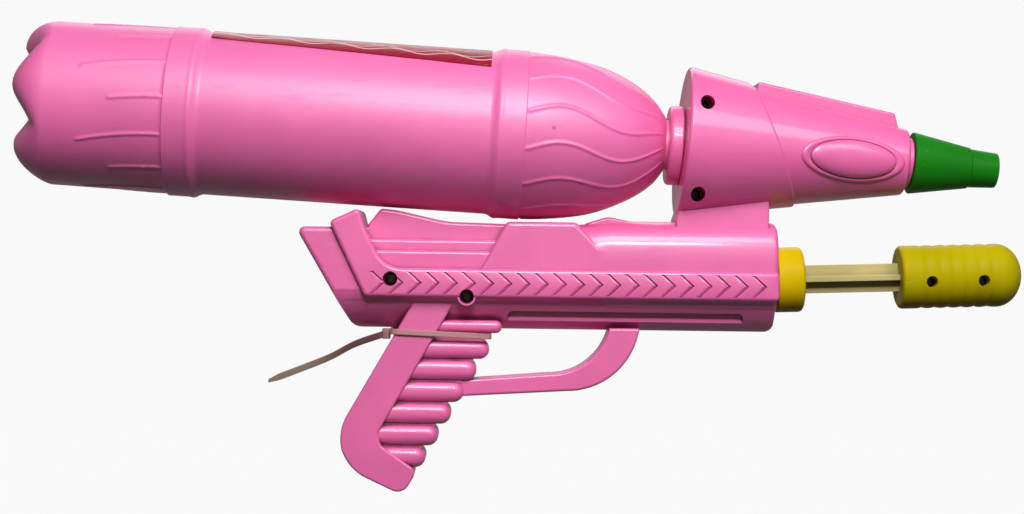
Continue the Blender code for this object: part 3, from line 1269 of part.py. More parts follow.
def pump_rod():
    """Cross-shaped rod with the piston's discs behind and a flat tongue in the handle."""
    half, web = ROD_SIZE / 2, ROD_WEB / 2
    cross = [(-web, -half), (web, -half), (web, -web), (half, -web), (half, web), (web, web),
             (web, half), (-web, half), (-web, web), (-half, web), (-half, -web), (-web, -web)]
    groove = PISTON_REAR + PISTON_DISC
    front = groove + PISTON_GROOVE
    head = front + PISTON_DISC
    piston = turned("pump_rod", [
        (PISTON_REAR, 0), (PISTON_REAR, PISTON_RADIUS), (groove, PISTON_RADIUS), (groove, PISTON_CORE),
        (front, PISTON_CORE), (front, PISTON_RADIUS), (head, PISTON_RADIUS), (head, 0)])
    stem = bar_along_x("stem", cross, head - PISTON_DISC / 2, HANDLE_REAR + HANDLE_WALL + GAP)
    end = HANDLE_REAR + HANDLE_LENGTH - HANDLE_DOME - HANDLE_WALL
    tongue = block("tongue", (HANDLE_REAR, -web + GAP * 0.3, -half + GAP), (end, web - GAP * 0.3, half - GAP))
    join(piston, stem, tongue)
    holes = [rod("hole", (HANDLE_REAR + along, -half, HANDLE_SCREW_DROP),
                 (HANDLE_REAR + along, half, HANDLE_SCREW_DROP), HANDLE_SCREW_SHANK + GAP)
             for along in HANDLE_SCREWS.values()]
    return cut(piston, *holes)


def piston_seal():
    """Rubber ring in the piston's groove."""
    rear = PISTON_REAR + PISTON_DISC + GAP
    front = rear + PISTON_GROOVE - GAP * 2
    inside = PISTON_CORE + GAP
    crown = (rear + front) / 2
    profile = [(rear, inside), (front, inside), (front, PISTON_RADIUS - GAP), (crown, SEAL_RADIUS),
               (rear, PISTON_RADIUS - GAP)]
    return turned("piston_seal", profile)


def handle_profile():
    """Outside of the handle: flat rear end, shallow grooves and a domed front."""
    dome = HANDLE_LENGTH - HANDLE_DOME
    profile = [(0, 0), (0, HANDLE_RADIUS - HANDLE_RIM), (HANDLE_RIM * 0.3, HANDLE_RADIUS - HANDLE_RIM * 0.3),
               (HANDLE_RIM, HANDLE_RADIUS)]
    half = HANDLE_BAND_PITCH * 0.28
    for i in range(HANDLE_BANDS):
        middle = HANDLE_BAND_FIRST + HANDLE_BAND_PITCH * i
        profile += [(middle - half, HANDLE_RADIUS), (middle, HANDLE_RADIUS - HANDLE_BAND_DEPTH),
                    (middle + half, HANDLE_RADIUS)]
    dome_steps = 4
    for k in range(dome_steps + 1):
        angle = math.pi / 2 * k / dome_steps
        profile.append((dome + HANDLE_DOME * math.sin(angle), HANDLE_RADIUS * math.cos(angle)))
    return profile


def handle_halves():
    """Two halves of the handle, screwed together through the rod's tongue."""
    half = turned("handle_right", handle_profile(), MEDIUM_COUNT)
    room = HANDLE_RADIUS - HANDLE_WALL - HANDLE_BAND_DEPTH
    dome = HANDLE_LENGTH - HANDLE_DOME
    hollow = turned("handle_hollow", [(HANDLE_WALL, 0), (HANDLE_WALL, room), (dome, room),
                                      (HANDLE_LENGTH - HANDLE_WALL * 1.6, room * 0.55),
                                      (HANDLE_LENGTH - HANDLE_WALL * 1.2, 0)], MEDIUM_COUNT)
    guide = math.hypot(ROD_SIZE / 2, ROD_WEB / 2) + GAP * 1.5
    cut(half, hollow, turned("rod_hole", plug(-PAST, HANDLE_WALL + PAST, guide)))
    tongue = ROD_WEB / 2 + GAP
    bosses, deep, pilots = [], [], []
    for along in HANDLE_SCREWS.values():
        spot = (along, HANDLE_SCREW_DROP)
        bosses.append(side_bar("boss", spot, -tongue, -room - HANDLE_WALL * 0.4, HANDLE_BOSS))
        far = -HANDLE_RADIUS - PAST
        deep.append(side_bar("counterbore", spot, -HANDLE_SEAT_DEPTH, far, HANDLE_COUNTERBORE))
        deep.append(side_bar("clearance", spot, 0, -HANDLE_SEAT_DEPTH - PAST, HANDLE_SCREW_SHANK + GAP))
        pilots.append(side_bar("pilot", spot, 0, HANDLE_SCREW_BITE + PAST, HANDLE_SCREW_SHANK + GAP))
    reach = HANDLE_LENGTH * 2
    cut(half, block("other_half", (-reach, -SEAM / 2, -reach), (reach, reach, reach)))
    join(half, *bosses)
    left = add_object("handle_left", half.data.copy())
    moved(left, Matrix.Diagonal((1, -1, 1, 1)))
    cut(half, *deep)
    cut(left, *pilots)
    return half, left


def handle_screws():
    """The two screws of the handle."""
    return [screw(name, (along, HANDLE_SCREW_DROP), HANDLE_SEAT_DEPTH, HANDLE_SCREW_BITE,
                  HANDLE_SCREW_HEAD, HANDLE_SCREW_SHANK) for name, along in HANDLE_SCREWS.items()]


INLET_SEAT = -VALVE_THROAT_HALF - INLET_CHAMBER
OUTLET_TOP = VALVE_THROAT_HALF + OUTLET_CHAMBER
VALVE_BOTTOM = INLET_SEAT - VALVE_PLUG_LENGTH
VALVE_TOP = OUTLET_TOP + VALVE_PLUG_LENGTH


def valve_block():
    """Upright valve body on the cylinder's nipple: inlet chamber below, outlet chamber above."""
    profile = [
        (VALVE_BOTTOM, VALVE_PLUG), (INLET_SEAT, VALVE_PLUG), (INLET_SEAT, VALVE_CHAMBER),
        (-VALVE_THROAT_HALF, VALVE_CHAMBER), (-VALVE_THROAT_HALF, VALVE_THROAT),
        (VALVE_THROAT_HALF, VALVE_THROAT),
        (VALVE_THROAT_HALF, VALVE_CHAMBER), (OUTLET_TOP, VALVE_CHAMBER), (OUTLET_TOP, VALVE_PLUG),
        (VALVE_TOP, VALVE_PLUG), (VALVE_TOP, VALVE_RADIUS), (VALVE_BOTTOM, VALVE_RADIUS)]
    body = moved(turned("valve_block", profile, SMALL_COUNT), UPRIGHT)
    sleeve = VALVE_OFFSET - GAP * 1.5
    join(body, rod("sleeve", (VALVE_CHAMBER * 1.3, 0, 0), (sleeve, 0, 0), VALVE_RADIUS * 0.97))
    nipple = VALVE_OFFSET - CYLINDER_NIPPLE_LENGTH - GAP
    cut(body, rod("port", (0, 0, 0), (sleeve, 0, 0), PORT_BORE),
        rod("nipple_seat", (nipple, 0, 0), (sleeve + PAST, 0, 0), CYLINDER_NIPPLE + GAP, MEDIUM_COUNT))
    return body


def valve_cap(name, sign, seat, stem, barb_side):
    """Plug with a seat or stop on its inner end and a hose barb on its stem."""
    inner = seat + sign * GAP
    edge = (VALVE_BOTTOM if sign < 0 else VALVE_TOP) + sign * GAP
    flange = edge + sign * CAP_FLANGE_WIDTH
    end = flange + sign * stem
    middle = flange + sign * stem / 2
    plug_radius = VALVE_PLUG - GAP
    profile = [(inner, BARB_BORE), (inner, plug_radius), (edge, plug_radius), (edge, VALVE_RADIUS),
               (flange, VALVE_RADIUS), (flange, CAP_STEM), (end, CAP_STEM), (end, 0), (middle, 0),
               (middle, BARB_BORE)]
    cap = moved(turned(name, profile[::sign], SMALL_COUNT), UPRIGHT)
    tip = barb_side * BARB_LENGTH
    join(cap, rod("barb", (barb_side * BARB_BORE * 1.5, 0, middle), (tip, 0, middle), BARB_RADIUS))
    cut(cap, rod("barb_bore", (0, 0, middle), (tip + barb_side * PAST, 0, middle), BARB_BORE))
    return cap


def ball(name):
    """Valve ball, centred on its own origin."""
    steps = 8
    profile = [(-BALL_RADIUS * math.cos(math.pi * k / steps), BALL_RADIUS * math.sin(math.pi * k / steps))
               for k in range(steps + 1)]
    return turned(name, profile, SMALL_COUNT)


def seated(seat, hole):
    """Height of a ball's middle above the pump axis when it rests on a hole's rim."""
    return seat + math.sqrt(BALL_RADIUS ** 2 - hole ** 2) + BALL_CLEARANCE


INLET_BALL = seated(INLET_SEAT - GAP, BARB_BORE)
OUTLET_BALL = seated(VALVE_THROAT_HALF, VALVE_THROAT)


def outlet_spring():
    """Light coil spring that holds the outlet ball down."""
    low = OUTLET_BALL + BALL_RADIUS + SPRING_WIRE + BALL_CLEARANCE
    high = OUTLET_TOP + GAP - SPRING_WIRE - BALL_CLEARANCE
    turn_steps = 8
    path = []
    for k in range(SPRING_TURNS * turn_steps + 1):
        angle = 2 * math.pi * k / turn_steps
        rise = low + (high - low) * k / (SPRING_TURNS * turn_steps)
        path.append(Vector((SPRING_RADIUS * math.cos(angle), SPRING_RADIUS * math.sin(angle), rise)))
    return swept_tube("outlet_spring", path, SPRING_WIRE, steps=5)


def barb_ends(frame, root, heading, length):
    """Start of a hose at a barb's root, its tip, and a point that leads straight on."""
    heading = Vector(heading)
    return [frame @ (Vector(root) + heading * reach) for reach in (GAP * 2, length, length + HOSE_RADIUS)]


def hose(name, start, middle, end):
    """Hose from one barb to another through points chosen by hand."""
    route = start + [Vector(point) * MM for point in middle] + end[::-1]
    return swept_tube(name, smooth_path(route, TUBE_STEP), HOSE_RADIUS, HOSE_BORE)


def cap_barb(sign, stem):
    """Height above the pump axis of a valve cap's barb."""
    edge = VALVE_BOTTOM if sign < 0 else VALVE_TOP
    return edge + sign * (GAP + CAP_FLANGE_WIDTH + stem / 2)


def feed_hose():
    """From the bottle socket down the column, back over the cylinder and round to the inlet."""
    elbow = (SOCKET_END + ELBOW_LENGTH / 2, 0, -ELBOW_RADIUS)
    start = barb_ends(BOTTLE_FRAME, elbow, (0, 0, -1), BARB_LENGTH)
    end = barb_ends(VALVE_FRAME, (-CAP_STEM, 0, cap_barb(-1, INLET_STEM)), (-1, 0, 0), BARB_LENGTH - CAP_STEM)
    return hose("feed_hose", start, FEED_ROUTE, end)


def delivery_hose():
    """From the outlet valve forward over the cylinder, up the column and along the head."""
    start = barb_ends(VALVE_FRAME, (CAP_STEM, 0, cap_barb(1, OUTLET_STEM)), (1, 0, 0), BARB_LENGTH - CAP_STEM)
    pipe = HEAD_LENGTH - WALL - GAP - PIPE_LIP_WIDTH
    end = barb_ends(HEAD_FRAME, (pipe, 0, 0), (-1, 0, 0), PIPE_BARB_LENGTH)
    return hose("delivery_hose", start, DELIVERY_ROUTE, end)


def tie_height(x):
    """Height of the tie's middle where it passes x: level with the valley under the top rib at the front."""
    front = (rib_edges(0)[0] + rib_edges(1)[1]) / 2
    return front + (rib_front(0)[0] - CORE_SETBACK - x) * TIE_SLOPE


def grip_tie():
    """Nylon tie looped round the top of the grip, with its head behind and its tail hanging out."""
    lean = math.tan(math.radians(GRIP_RAKE))
    level = tie_height(STRAP_TOP[0])
    rear = strap_middle(level) - STRAP_WIDTH / 2 / math.cos(math.radians(GRIP_RAKE)) - TIE_WIDTH * lean - GAP
    front_height = tie_height(rib_front(0)[0] - CORE_SETBACK)
    front = rib_front(0)[0] - CORE_SETBACK - (RIB_FIRST[1] - front_height - TIE_WIDTH / 2) * lean + GAP
    half = GRIP_HALF + GAP
    inner = rounded([(rear, -half, TIE_CORNER), (front, -half, TIE_CORNER), (front, half, TIE_CORNER),
                     (rear, half, TIE_CORNER)])
    outer = inset(inner, -TIE_THICKNESS)
    work = bmesh.new()
    rows = []
    for near, far in zip(inner, outer):
        z = min(tie_height(near[0]), RECEIVER_BOTTOM - GAP - TIE_WIDTH / 2)
        rows.append([work.verts.new((x, y, z + side * TIE_WIDTH / 2))
                     for (x, y), side in ((near, -1), (far, -1), (far, 1), (near, 1))])
    for row, after in zip(rows, rows[1:] + rows[:1]):
        for k in range(4):
            j = (k + 1) % 4
            work.faces.new((row[k], row[j], after[j], after[k]))
    loop = solid_from(work, "grip_tie")
    back = rear - TIE_THICKNESS * 0.5
    high = RECEIVER_BOTTOM - GAP
    side = -half * 0.5
    head = block("tie_head", (back - TIE_HEAD_DEPTH, side - TIE_HEAD / 2, high - TIE_HEAD),
                 (back, side + TIE_HEAD / 2, high))
    start = Vector((back - TIE_HEAD_DEPTH * 0.6, side, high - TIE_HEAD / 2))
    route = [start] + [Vector(point) * MM for point in TIE_TAIL]
    rings = []
    thick, wide = TIE_THICKNESS / 2, TIE_TAIL_WIDTH / 2
    section = ((-thick, -wide), (thick, -wide), (thick, wide), (-thick, wide))
    for spot in smooth_path(route, TIE_STEP):
        rings.append([spot + Vector((0, y, z)) for y, z in section])
    return join(loop, head, loft("tie_tail", rings))


def empty(name, matrix, parent=None):
    """Axis marker that carries pieces."""
    marker = bpy.data.objects.new(name, None)
    bpy.context.scene.collection.objects.link(marker)
    marker.parent = parent
    marker.matrix_local = matrix
    return marker


def dress(thing, material, parent=None):
    """Give a piece its material, its carrier and smooth shading on its round faces."""
    thing.data.materials.clear()
    thing.data.materials.append(material)
    thing.data.shade_smooth()
    thing.data.set_sharp_from_angle(angle=math.radians(32))
    thing.parent = parent


def main():
    """Build all pieces."""
    for thing in list(bpy.data.objects):
        bpy.data.objects.remove(thing, do_unlink=True)
    pink = make_material("pink_shell", PINK, 0.3)
    blown = make_material("pink_bottle", PINK, 0.25)
    sticker = make_material("label_film", CRIMSON, 0.35)
    green = make_material("green_nozzle", GREEN, 0.35)
    yellow = make_material("yellow_handle", YELLOW, 0.35)
    amber = make_material("amber_gland", AMBER, 0.35)
    cream = make_material("cream_rod", CREAM, 0.45)
    natural = make_material("natural_plastic", NATURAL, 0.4)
    rubber = make_material("black_rubber", BLACK, 0.7)
    steel = make_material("screw_steel", STEEL, 0.3, 1.0)
    clear = make_material("clear_hose", CLEAR, 0.2)

    bottle_axis = empty("bottle_axis", BOTTLE_FRAME)
    head_axis = empty("head_axis", HEAD_FRAME)
    pump_axis = empty("pump_axis", PUMP_FRAME)
    handle_end = empty("handle_end", Matrix.Translation((HANDLE_REAR, 0, 0)), pump_axis)
    valve_axis = empty("valve_axis", Matrix.Translation((VALVE_U, 0, 0)), pump_axis)

    for shell in shells():
        dress(shell, pink)
    for name, place in screw_places().items():
        dress(screw(name, place, SEAT_DEPTH, SCREW_BITE, SCREW_HEAD, SCREW_SHANK), steel)
    dress(nozzle(), green, head_axis)
    dress(outlet_pipe(), pink, head_axis)
    dress(bottle_socket(), pink, bottle_axis)
    dress(mouth_washer(), rubber, bottle_axis)
    dress(bottle(), blown, bottle_axis)
    dress(bottle_label(), sticker, bottle_axis)
    dress(pickup_tube(), clear, bottle_axis)
    dress(pump_cylinder(), natural, pump_axis)
    dress(gland_cap(), amber, pump_axis)
    dress(pump_rod(), cream, pump_axis)
    dress(piston_seal(), rubber, pump_axis)
    for half in handle_halves():
        dress(half, yellow, handle_end)
    for fixing in handle_screws():
        dress(fixing, steel, handle_end)
    dress(valve_block(), natural, valve_axis)
    dress(valve_cap("inlet_cap", -1, INLET_SEAT, INLET_STEM, -1), natural, valve_axis)
    dress(valve_cap("outlet_cap", 1, OUTLET_TOP, OUTLET_STEM, 1), natural, valve_axis)
    for name, height in (("inlet_ball", INLET_BALL), ("outlet_ball", OUTLET_BALL)):
        sphere = ball(name)
        dress(sphere, steel, valve_axis)
        sphere.location.z = height
    dress(outlet_spring(), steel, valve_axis)
    dress(feed_hose(), clear)
    dress(delivery_hose(), clear)
    dress(grip_tie(), natural)


if __name__ == "__main__":
    main()
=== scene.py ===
"""Looks of a hand-pumped water squirter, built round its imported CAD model.

Metres, +Z up, +X towards the nozzle. The photographed side is the right one, at -Y.
"""
import json
import math

import bmesh
import bpy
from bpy.props import FloatProperty, FloatVectorProperty, IntProperty, PointerProperty
from mathutils import Matrix, Vector, noise

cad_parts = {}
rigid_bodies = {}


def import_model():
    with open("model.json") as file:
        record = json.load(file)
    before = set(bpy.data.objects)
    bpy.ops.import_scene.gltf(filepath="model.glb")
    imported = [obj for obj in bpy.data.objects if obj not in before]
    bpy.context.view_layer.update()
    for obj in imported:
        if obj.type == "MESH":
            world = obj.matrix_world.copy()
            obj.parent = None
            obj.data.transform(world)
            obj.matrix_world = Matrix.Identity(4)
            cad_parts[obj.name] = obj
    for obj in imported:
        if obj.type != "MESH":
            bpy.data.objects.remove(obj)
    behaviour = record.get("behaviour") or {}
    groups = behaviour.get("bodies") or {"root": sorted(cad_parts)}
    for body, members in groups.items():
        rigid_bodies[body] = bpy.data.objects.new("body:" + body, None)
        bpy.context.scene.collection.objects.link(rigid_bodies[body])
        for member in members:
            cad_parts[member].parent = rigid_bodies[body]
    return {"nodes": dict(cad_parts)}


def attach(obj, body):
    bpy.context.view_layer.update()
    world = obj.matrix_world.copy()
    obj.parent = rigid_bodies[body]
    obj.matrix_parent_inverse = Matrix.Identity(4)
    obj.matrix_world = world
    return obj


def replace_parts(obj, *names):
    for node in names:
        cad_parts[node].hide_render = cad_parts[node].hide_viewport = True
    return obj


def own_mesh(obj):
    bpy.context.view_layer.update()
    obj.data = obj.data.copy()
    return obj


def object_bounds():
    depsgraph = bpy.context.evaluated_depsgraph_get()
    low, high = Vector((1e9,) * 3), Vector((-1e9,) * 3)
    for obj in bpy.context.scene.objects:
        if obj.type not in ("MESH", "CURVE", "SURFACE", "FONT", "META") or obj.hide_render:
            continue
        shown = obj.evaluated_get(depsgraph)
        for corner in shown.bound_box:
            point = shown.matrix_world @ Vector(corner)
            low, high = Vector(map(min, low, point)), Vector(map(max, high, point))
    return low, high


bl_info = {
    "name": "Water Squirter",
    "version": (1, 0, 0),
    "blender": (4, 5, 0),
    "location": "3D View > Sidebar > Squirter",
    "description": "Builds the mouldings, bottle, pump and finishes of a hand-pumped water squirter",
    "category": "Object",
}

for thing in list(bpy.data.objects):
    bpy.data.objects.remove(thing, do_unlink=True)
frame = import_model()
CAD_BOX = [list(corner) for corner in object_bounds()]

MM = 0.001

# Fits
GAP = 0.3 * MM
SEAM = 0.3 * MM
WALL = 2.4 * MM
PAST = 1.0 * MM
POINT_MERGE = 0.002 * MM
# A corner a little rounder than its rim keeps the rim's inset outline from folding
CORNER_OVER_RIM = 1.1
SMOOTH_ANGLE = 34.0
BLOWN_ANGLE = 50.0

# Receiver, seen from the side
RECEIVER_FRONT = 179.0 * MM
RECEIVER_BOTTOM = 34.2 * MM
RECEIVER_REAR = -14.0 * MM
DECK = 87.4 * MM
FIN_TOP = (-59.3 * MM, 83.8 * MM)
FIN_RAKE = 30.4
CHASSIS_HALF = 18.6 * MM
BELLY_MIDDLE = 54.0 * MM
BELLY_EASE = 0.02 * MM
BELLY_ORDER = 1.4
CHANNEL_HALF = 5.5 * MM
CHANNEL_TOP = 44.4 * MM
CHASSIS_RIM = 2.6 * MM
CHASSIS_SETBACK = 1.2 * MM
CHASSIS_FOOT_ROUND = 7.0 * MM
CHASSIS_TOE_ROUND = 4.0 * MM
BAND_TOP = 64.0 * MM
BAND_BOTTOM = 49.8 * MM
BAND_MIDDLE = (BAND_TOP + BAND_BOTTOM) / 2
BAND_HALF = 22.0 * MM
BAND_RIM = 2.0 * MM
BAND_SKIRT = 3.0 * MM
BAND_LEG_TOP = 93.4 * MM
BAND_LEG_RAKE = 26.0
BAND_LEG_WIDTH = 15.0 * MM
BAND_LEG_FOOT = -24.5 * MM
BAND_LEG_FILLET = 14.0 * MM
BAND_LEG_SPREAD = 1.5 * MM
BAND_LEG_SLANT = 7.0 * MM
BAND_LEG_TIP = 2.0 * MM
BAND_LEG_ROUND = 2.5 * MM
BAND_FOOT_ROUND = 3.0 * MM
CHEVRON_PITCH = 8.9 * MM
CHEVRON_FIRST = -20.5 * MM
CHEVRON_COUNT = 22
CHEVRON_REACH = 6.0 * MM
CHEVRON_MARGIN = 1.7 * MM
CHEVRON_LONG_SLOPE = 2.0 * MM
CHEVRON_SHORT_SLOPE = 0.35 * MM
PEAK = (-17.2 * MM, 93.2 * MM)
PEAK_ROUND = 2.5 * MM
BROW_AHEAD = 8.0 * MM
BROW_DROP = 0.8 * MM
BROW_ROUND = 20.0 * MM
ROOF_DROP = 0.4 * MM
ROOF_ROUND = 60.0 * MM
ROOF_FRONT_DROP = 1.2 * MM
STEP_TOPS = (None, 78.2 * MM, 72.7 * MM)
STEP_HALVES = (12.5 * MM, 15.0 * MM, 17.9 * MM)
STEP_RIM = 1.8 * MM
STEP_LAP = 3.0 * MM
NOTCH = (-24.0 * MM, 84.5 * MM)
NOTCH_LAP = 2.0 * MM
FLAT_HALF = 19.5 * MM
FLAT_RIM = 2.4 * MM
FLAT_REAR_TOP = 45.0 * MM
FLAT_REAR_FOOT = 32.0 * MM
FLAT_FRONT_TOP = 79.0 * MM
FLAT_FRONT_FOOT = 96.0 * MM
FLAT_FRONT_ROUND = 4.0 * MM
FLAT_TOP_ROUND = 3.0 * MM
HOUSING_REAR = 76.0 * MM
HOUSING_MIDDLE = 65.5 * MM
HOUSING_HALF = 20.6 * MM
HOUSING_RISE = 23.0 * MM
HOUSING_RIM = 2.5 * MM
HOUSING_START = 0.88
HOUSING_ORDER = 3.0
HOUSING_SETBACK = 0.4 * MM
DECK_BUMP = 93.5 * MM
DECK_BUMP_RISE = 3.2 * MM
DECK_BUMP_REAR = 8.5 * MM
DECK_BUMP_FRONT = 19.0 * MM
DECK_BUMP_HALF = 8.0 * MM
DECK_BUMP_RIM = STEP_RIM * 0.8
DECK_BUMP_SHOULDER = DECK_BUMP_RISE * 0.6
DECK_BUMP_CREST = DECK_BUMP_REAR * 0.2
SILL_GROOVE = (45.9 * MM, 162.6 * MM)
SILL_GROOVE_MIDDLE = 40.3 * MM
SILL_GROOVE_HEIGHT = 6.2 * MM
SILL_GROOVE_FLOOR = 7.8 * MM
COLUMN_REAR = 128.5 * MM
COLUMN_FRONT = 174.3 * MM
COLUMN_HALF = 14.5 * MM
COLUMN_RIM = 1.0 * MM
COLUMN_LAP = 1.0 * MM

# Grip and finger guard
GRIP_RAKE = 29.7
GRIP_LEAN = math.tan(math.radians(GRIP_RAKE))
GRIP_HALF = 15.2 * MM
STRAP_TOP = (9.4 * MM, 47.0 * MM)
STRAP_WIDTH = 17.6 * MM
STRAP_BEND_WIDTH = 19.4 * MM
STRAP_TIP_WIDTH = 14.0 * MM
STRAP_RUN = 68.25 * MM
STRAP_BEND = 14.5 * MM
STRAP_HOOK = 20.5 * MM
STRAP_RIM = 1.2 * MM
STRAP_TIP_ROUND = STRAP_TIP_WIDTH * 0.3
STRAP_TOE_ROUND = STRAP_TIP_WIDTH * 0.45
RIB_COUNT = 7
RIB_PITCH = 10.8 * MM
RIB_FIRST = (43.3 * MM, 35.4 * MM)
RIB_HEIGHT = 10.6 * MM
RIB_TOP_HEIGHT = 6.4 * MM
RIB_TIE_ROOM = 1.0 * MM
RIB_HALF = 13.8 * MM
RIB_RIM_SHARE = 0.44
RIB_RIM_STEPS = 7
CORE_HALF = 10.5 * MM
CORE_SETBACK = 4.5 * MM
GUARD_HALF = 10.0 * MM
GUARD_ROOT = 1.2 * MM
GUARD_RIM = 1.4 * MM
GUARD_FRONT = 111.8 * MM
GUARD_OUTER_RADIUS = 36.0 * MM
GUARD_POST = 14.5 * MM
GUARD_INNER_RADIUS = 30.0 * MM
GUARD_BAR = 8.5 * MM
GUARD_REAR_BAR = GUARD_BAR * 0.95
GUARD_REAR_RIB = 3
GUARD_REAR_LAP = RIB_HEIGHT * 0.6
GUARD_REAR_Z = 0.4 * MM
GUARD_FRONT_Z = 3.9 * MM

# Bottle and head axes
BOTTLE_ORIGIN = (133.5 * MM, 126.4 * MM)
BOTTLE_TILT = 3.2
HEAD_LIFT = 2.1 * MM
HEAD_TILT = 4.5

# Head
HEAD_REAR = -1.6 * MM
HEAD_LENGTH = 110.3 * MM
HEAD_FRONT_RADIUS = 16.3 * MM
HEAD_FRONT_RIM = 2.0 * MM
COLLAR_RADIUS = 37.6 * MM
COLLAR_RIM = 1.8 * MM
COLLAR_STEP = 1.3 * MM
COLLAR_CUT = 44.4 * MM
COLLAR_SLANT = 25.0
COLLAR_LIP = 1.2 * MM
RIDGE_REAR = (33.0 * MM, 32.6 * MM)
RIDGE_FRONT = (102.5 * MM, 23.8 * MM)
RIDGE_REAR_HALF = 11.5 * MM
RIDGE_FRONT_HALF = 4.5 * MM
RIDGE_RIM = 1.4 * MM
RIDGE_END_RIM = 0.8 * MM
RIDGE_REAR_LEAN = 0.2
RIDGE_FRONT_LEAN = 0.35
OVAL_CENTRE = (81.0 * MM, -2.0 * MM)
OVAL_LENGTH = 52.8 * MM
OVAL_HEIGHT = 22.4 * MM
OVAL_RISE = 1.2 * MM
OVAL_CREASE = 0.012
OVAL_CREASE_FLOOR = 0.45
OVAL_CREASE_LIP = 0.8
OVAL_TUCK = 0.3
OVAL_EDGE = 0.09
OVAL_BED = 3.0 * MM
DOME_LENGTH = 43.0 * MM
DOME_RISE = 2.2 * MM
DOME_ORDER = 3

# Screws, as (x, z) from the side
BODY_SCREWS = {"shell_screw_rear": (-11.9 * MM, 58.6 * MM), "shell_screw_mid": (25.7 * MM, 50.4 * MM)}
HEAD_SCREWS = {"head_screw_upper": (6.5 * MM, 18.4 * MM), "head_screw_lower": (6.5 * MM, -26.2 * MM)}
BOSS_RADIUS = 4.5 * MM
COUNTERBORE = 3.6 * MM
SEAT_DEPTH = 7.0 * MM
SCREW_SHANK = 1.5 * MM
SCREW_HEAD = 3.0 * MM
SCREW_HEAD_HEIGHT = 2.0 * MM
SCREW_BITE = 9.0 * MM
SCREW_CROWN_SHARE = 0.92
SCREW_CROWN_ROUND = 0.4
RECESS_SLOT = 0.16
RECESS_ARM = 0.6
RECESS_DEPTH = SCREW_HEAD_HEIGHT * 0.55

# Bottle
BOTTLE_RADIUS = 40.5 * MM
BOTTLE_WALL = 1.3 * MM
RING_RADIUS = 42.14 * MM
RING_WIDTH = 17.6 * MM
RING_BEAD = 7.0 * MM
RING_CROWN = 0.25 * MM
RING_EDGE = 0.5 * MM
RING_EDGE_SHAPE = ((0.0, 0.3), (0.15, 0.65), (0.5, 0.92), (1.0, 1.0))
RING_BEAD_START = 0.25
RING_CROWN_SPREAD = 1.6
NOSE_RADIUS = 41.3 * MM
NOSE_LENGTH = 74.0 * MM
SHOULDER = -10.5 * MM
NECK_RADIUS = 12.4 * MM
NECK_END = 12.0 * MM
NECK_WALL = 2.0 * MM
MOUTH_RIM = 0.5 * MM
BARREL_LENGTH = 140.1 * MM
CUP_LENGTH = 58.0 * MM
CUP_RADIUS = 41.0 * MM
CUP_END_RADIUS = 40.7 * MM
BASE_DEPTH = 17.5 * MM
BASE_LOBES = 5
FOOT_RADIUS = 26.0 * MM
BASE_CROWN = 10.0 * MM
VALLEY_DEPTH = 8.0 * MM
LOBE_FULLNESS = 0.65
LOBE_TURN = 15.0
EMBOSS_COUNT = 14
EMBOSS_RISE = 0.6 * MM
EMBOSS_WIDTH = 0.75 * MM
EMBOSS_LONG = 42.0 * MM
EMBOSS_SHORT = 27.0 * MM
EMBOSS_SWAY = 7.0
EMBOSS_WAVE = 66.0 * MM
EMBOSS_SWING_START = 0.7
EMBOSS_SWING_GAIN = 0.5
EMBOSS_SWING_RUN = 0.8 * EMBOSS_WAVE
EMBOSS_CUP_SWAY = 8.0
EMBOSS_CUP_TURN = 7.2
EMBOSS_NECK_FADE = 4.0 * MM
EMBOSS_RING_FADE = 0.8 * MM
EMBOSS_CUP_FADE = 0.6 * MM
EMBOSS_END_FADE = 1.6 * MM
MOULD_SEAM = 51.6
MOULD_SEAM_RISE = 0.12 * MM
LABEL_INSET = 1.0 * MM
LABEL_LOW_REAR = 62.0
LABEL_LOW_FRONT = 48.5
LABEL_SPAN = 92.0
LABEL_THICKNESS = 0.3 * MM
LABEL_RIPPLE = 0.1 * MM
LABEL_CURL = 0.5 * MM
LABEL_CURL_LENGTH = 0.075
LABEL_CURL_WIDTH = 0.35

# Print on the label, across in shares of its width: strokes as (phase, place, half width)
LABEL_WAVES = 5
LABEL_WAVE_LIFT = 0.03
LABEL_STROKES = ((0.0, 0.10, 0.009), (0.9, 0.14, 0.006), (0.0, 0.90, 0.009), (0.9, 0.86, 0.006))
LABEL_DASHES = 6.0
LABEL_DASH_ROWS = (0.24, 0.84)
LABEL_DASH_SLANT = -0.08
LABEL_DASH_HALF = 0.02
LABEL_LEAF_SPAN = (0.18, 0.22, 0.48, 0.52)
LABEL_DROP_SPAN = (0.60, 0.63, 0.77, 0.80)

# Socket, outlet pipe and nozzle
SOCKET_RADIUS = 14.4 * MM
SOCKET_FLANGE = 19.8 * MM
SOCKET_REAR = -9.0 * MM
SOCKET_END = 16.5 * MM
SOCKET_END_WALL = 2.0 * MM
SOCKET_LIP = 15.5 * MM
SOCKET_LIP_WIDTH = 2.2 * MM
SOCKET_STAND_OFF = 0.7 * MM
ELBOW_RADIUS = 5.0 * MM
ELBOW_LENGTH = 10.0 * MM
TUBE_SPIGOT = 2.6 * MM
TUBE_SPIGOT_LENGTH = 7.5 * MM
PORT_BORE = 1.8 * MM
BARB_RADIUS = 1.8 * MM
BARB_BORE = 1.1 * MM
BARB_LENGTH = 11.0 * MM
PIPE_STUB = 7.0 * MM
PIPE_STUB_END = 125.0 * MM
PIPE_WAIST = 9.0 * MM
PIPE_LIP = 11.5 * MM
PIPE_LIP_WIDTH = 3.0 * MM
PIPE_RING = 12.3 * MM
PIPE_RING_WIDTH = 2.2 * MM
PIPE_BARB_LENGTH = 8.0 * MM
NOZZLE_RADIUS = 15.5 * MM
NOZZLE_TAPER = 28.8 * MM
NOZZLE_NECK = 10.2 * MM
NOZZLE_TIP = 14.2 * MM
NOZZLE_STEP = 0.6 * MM
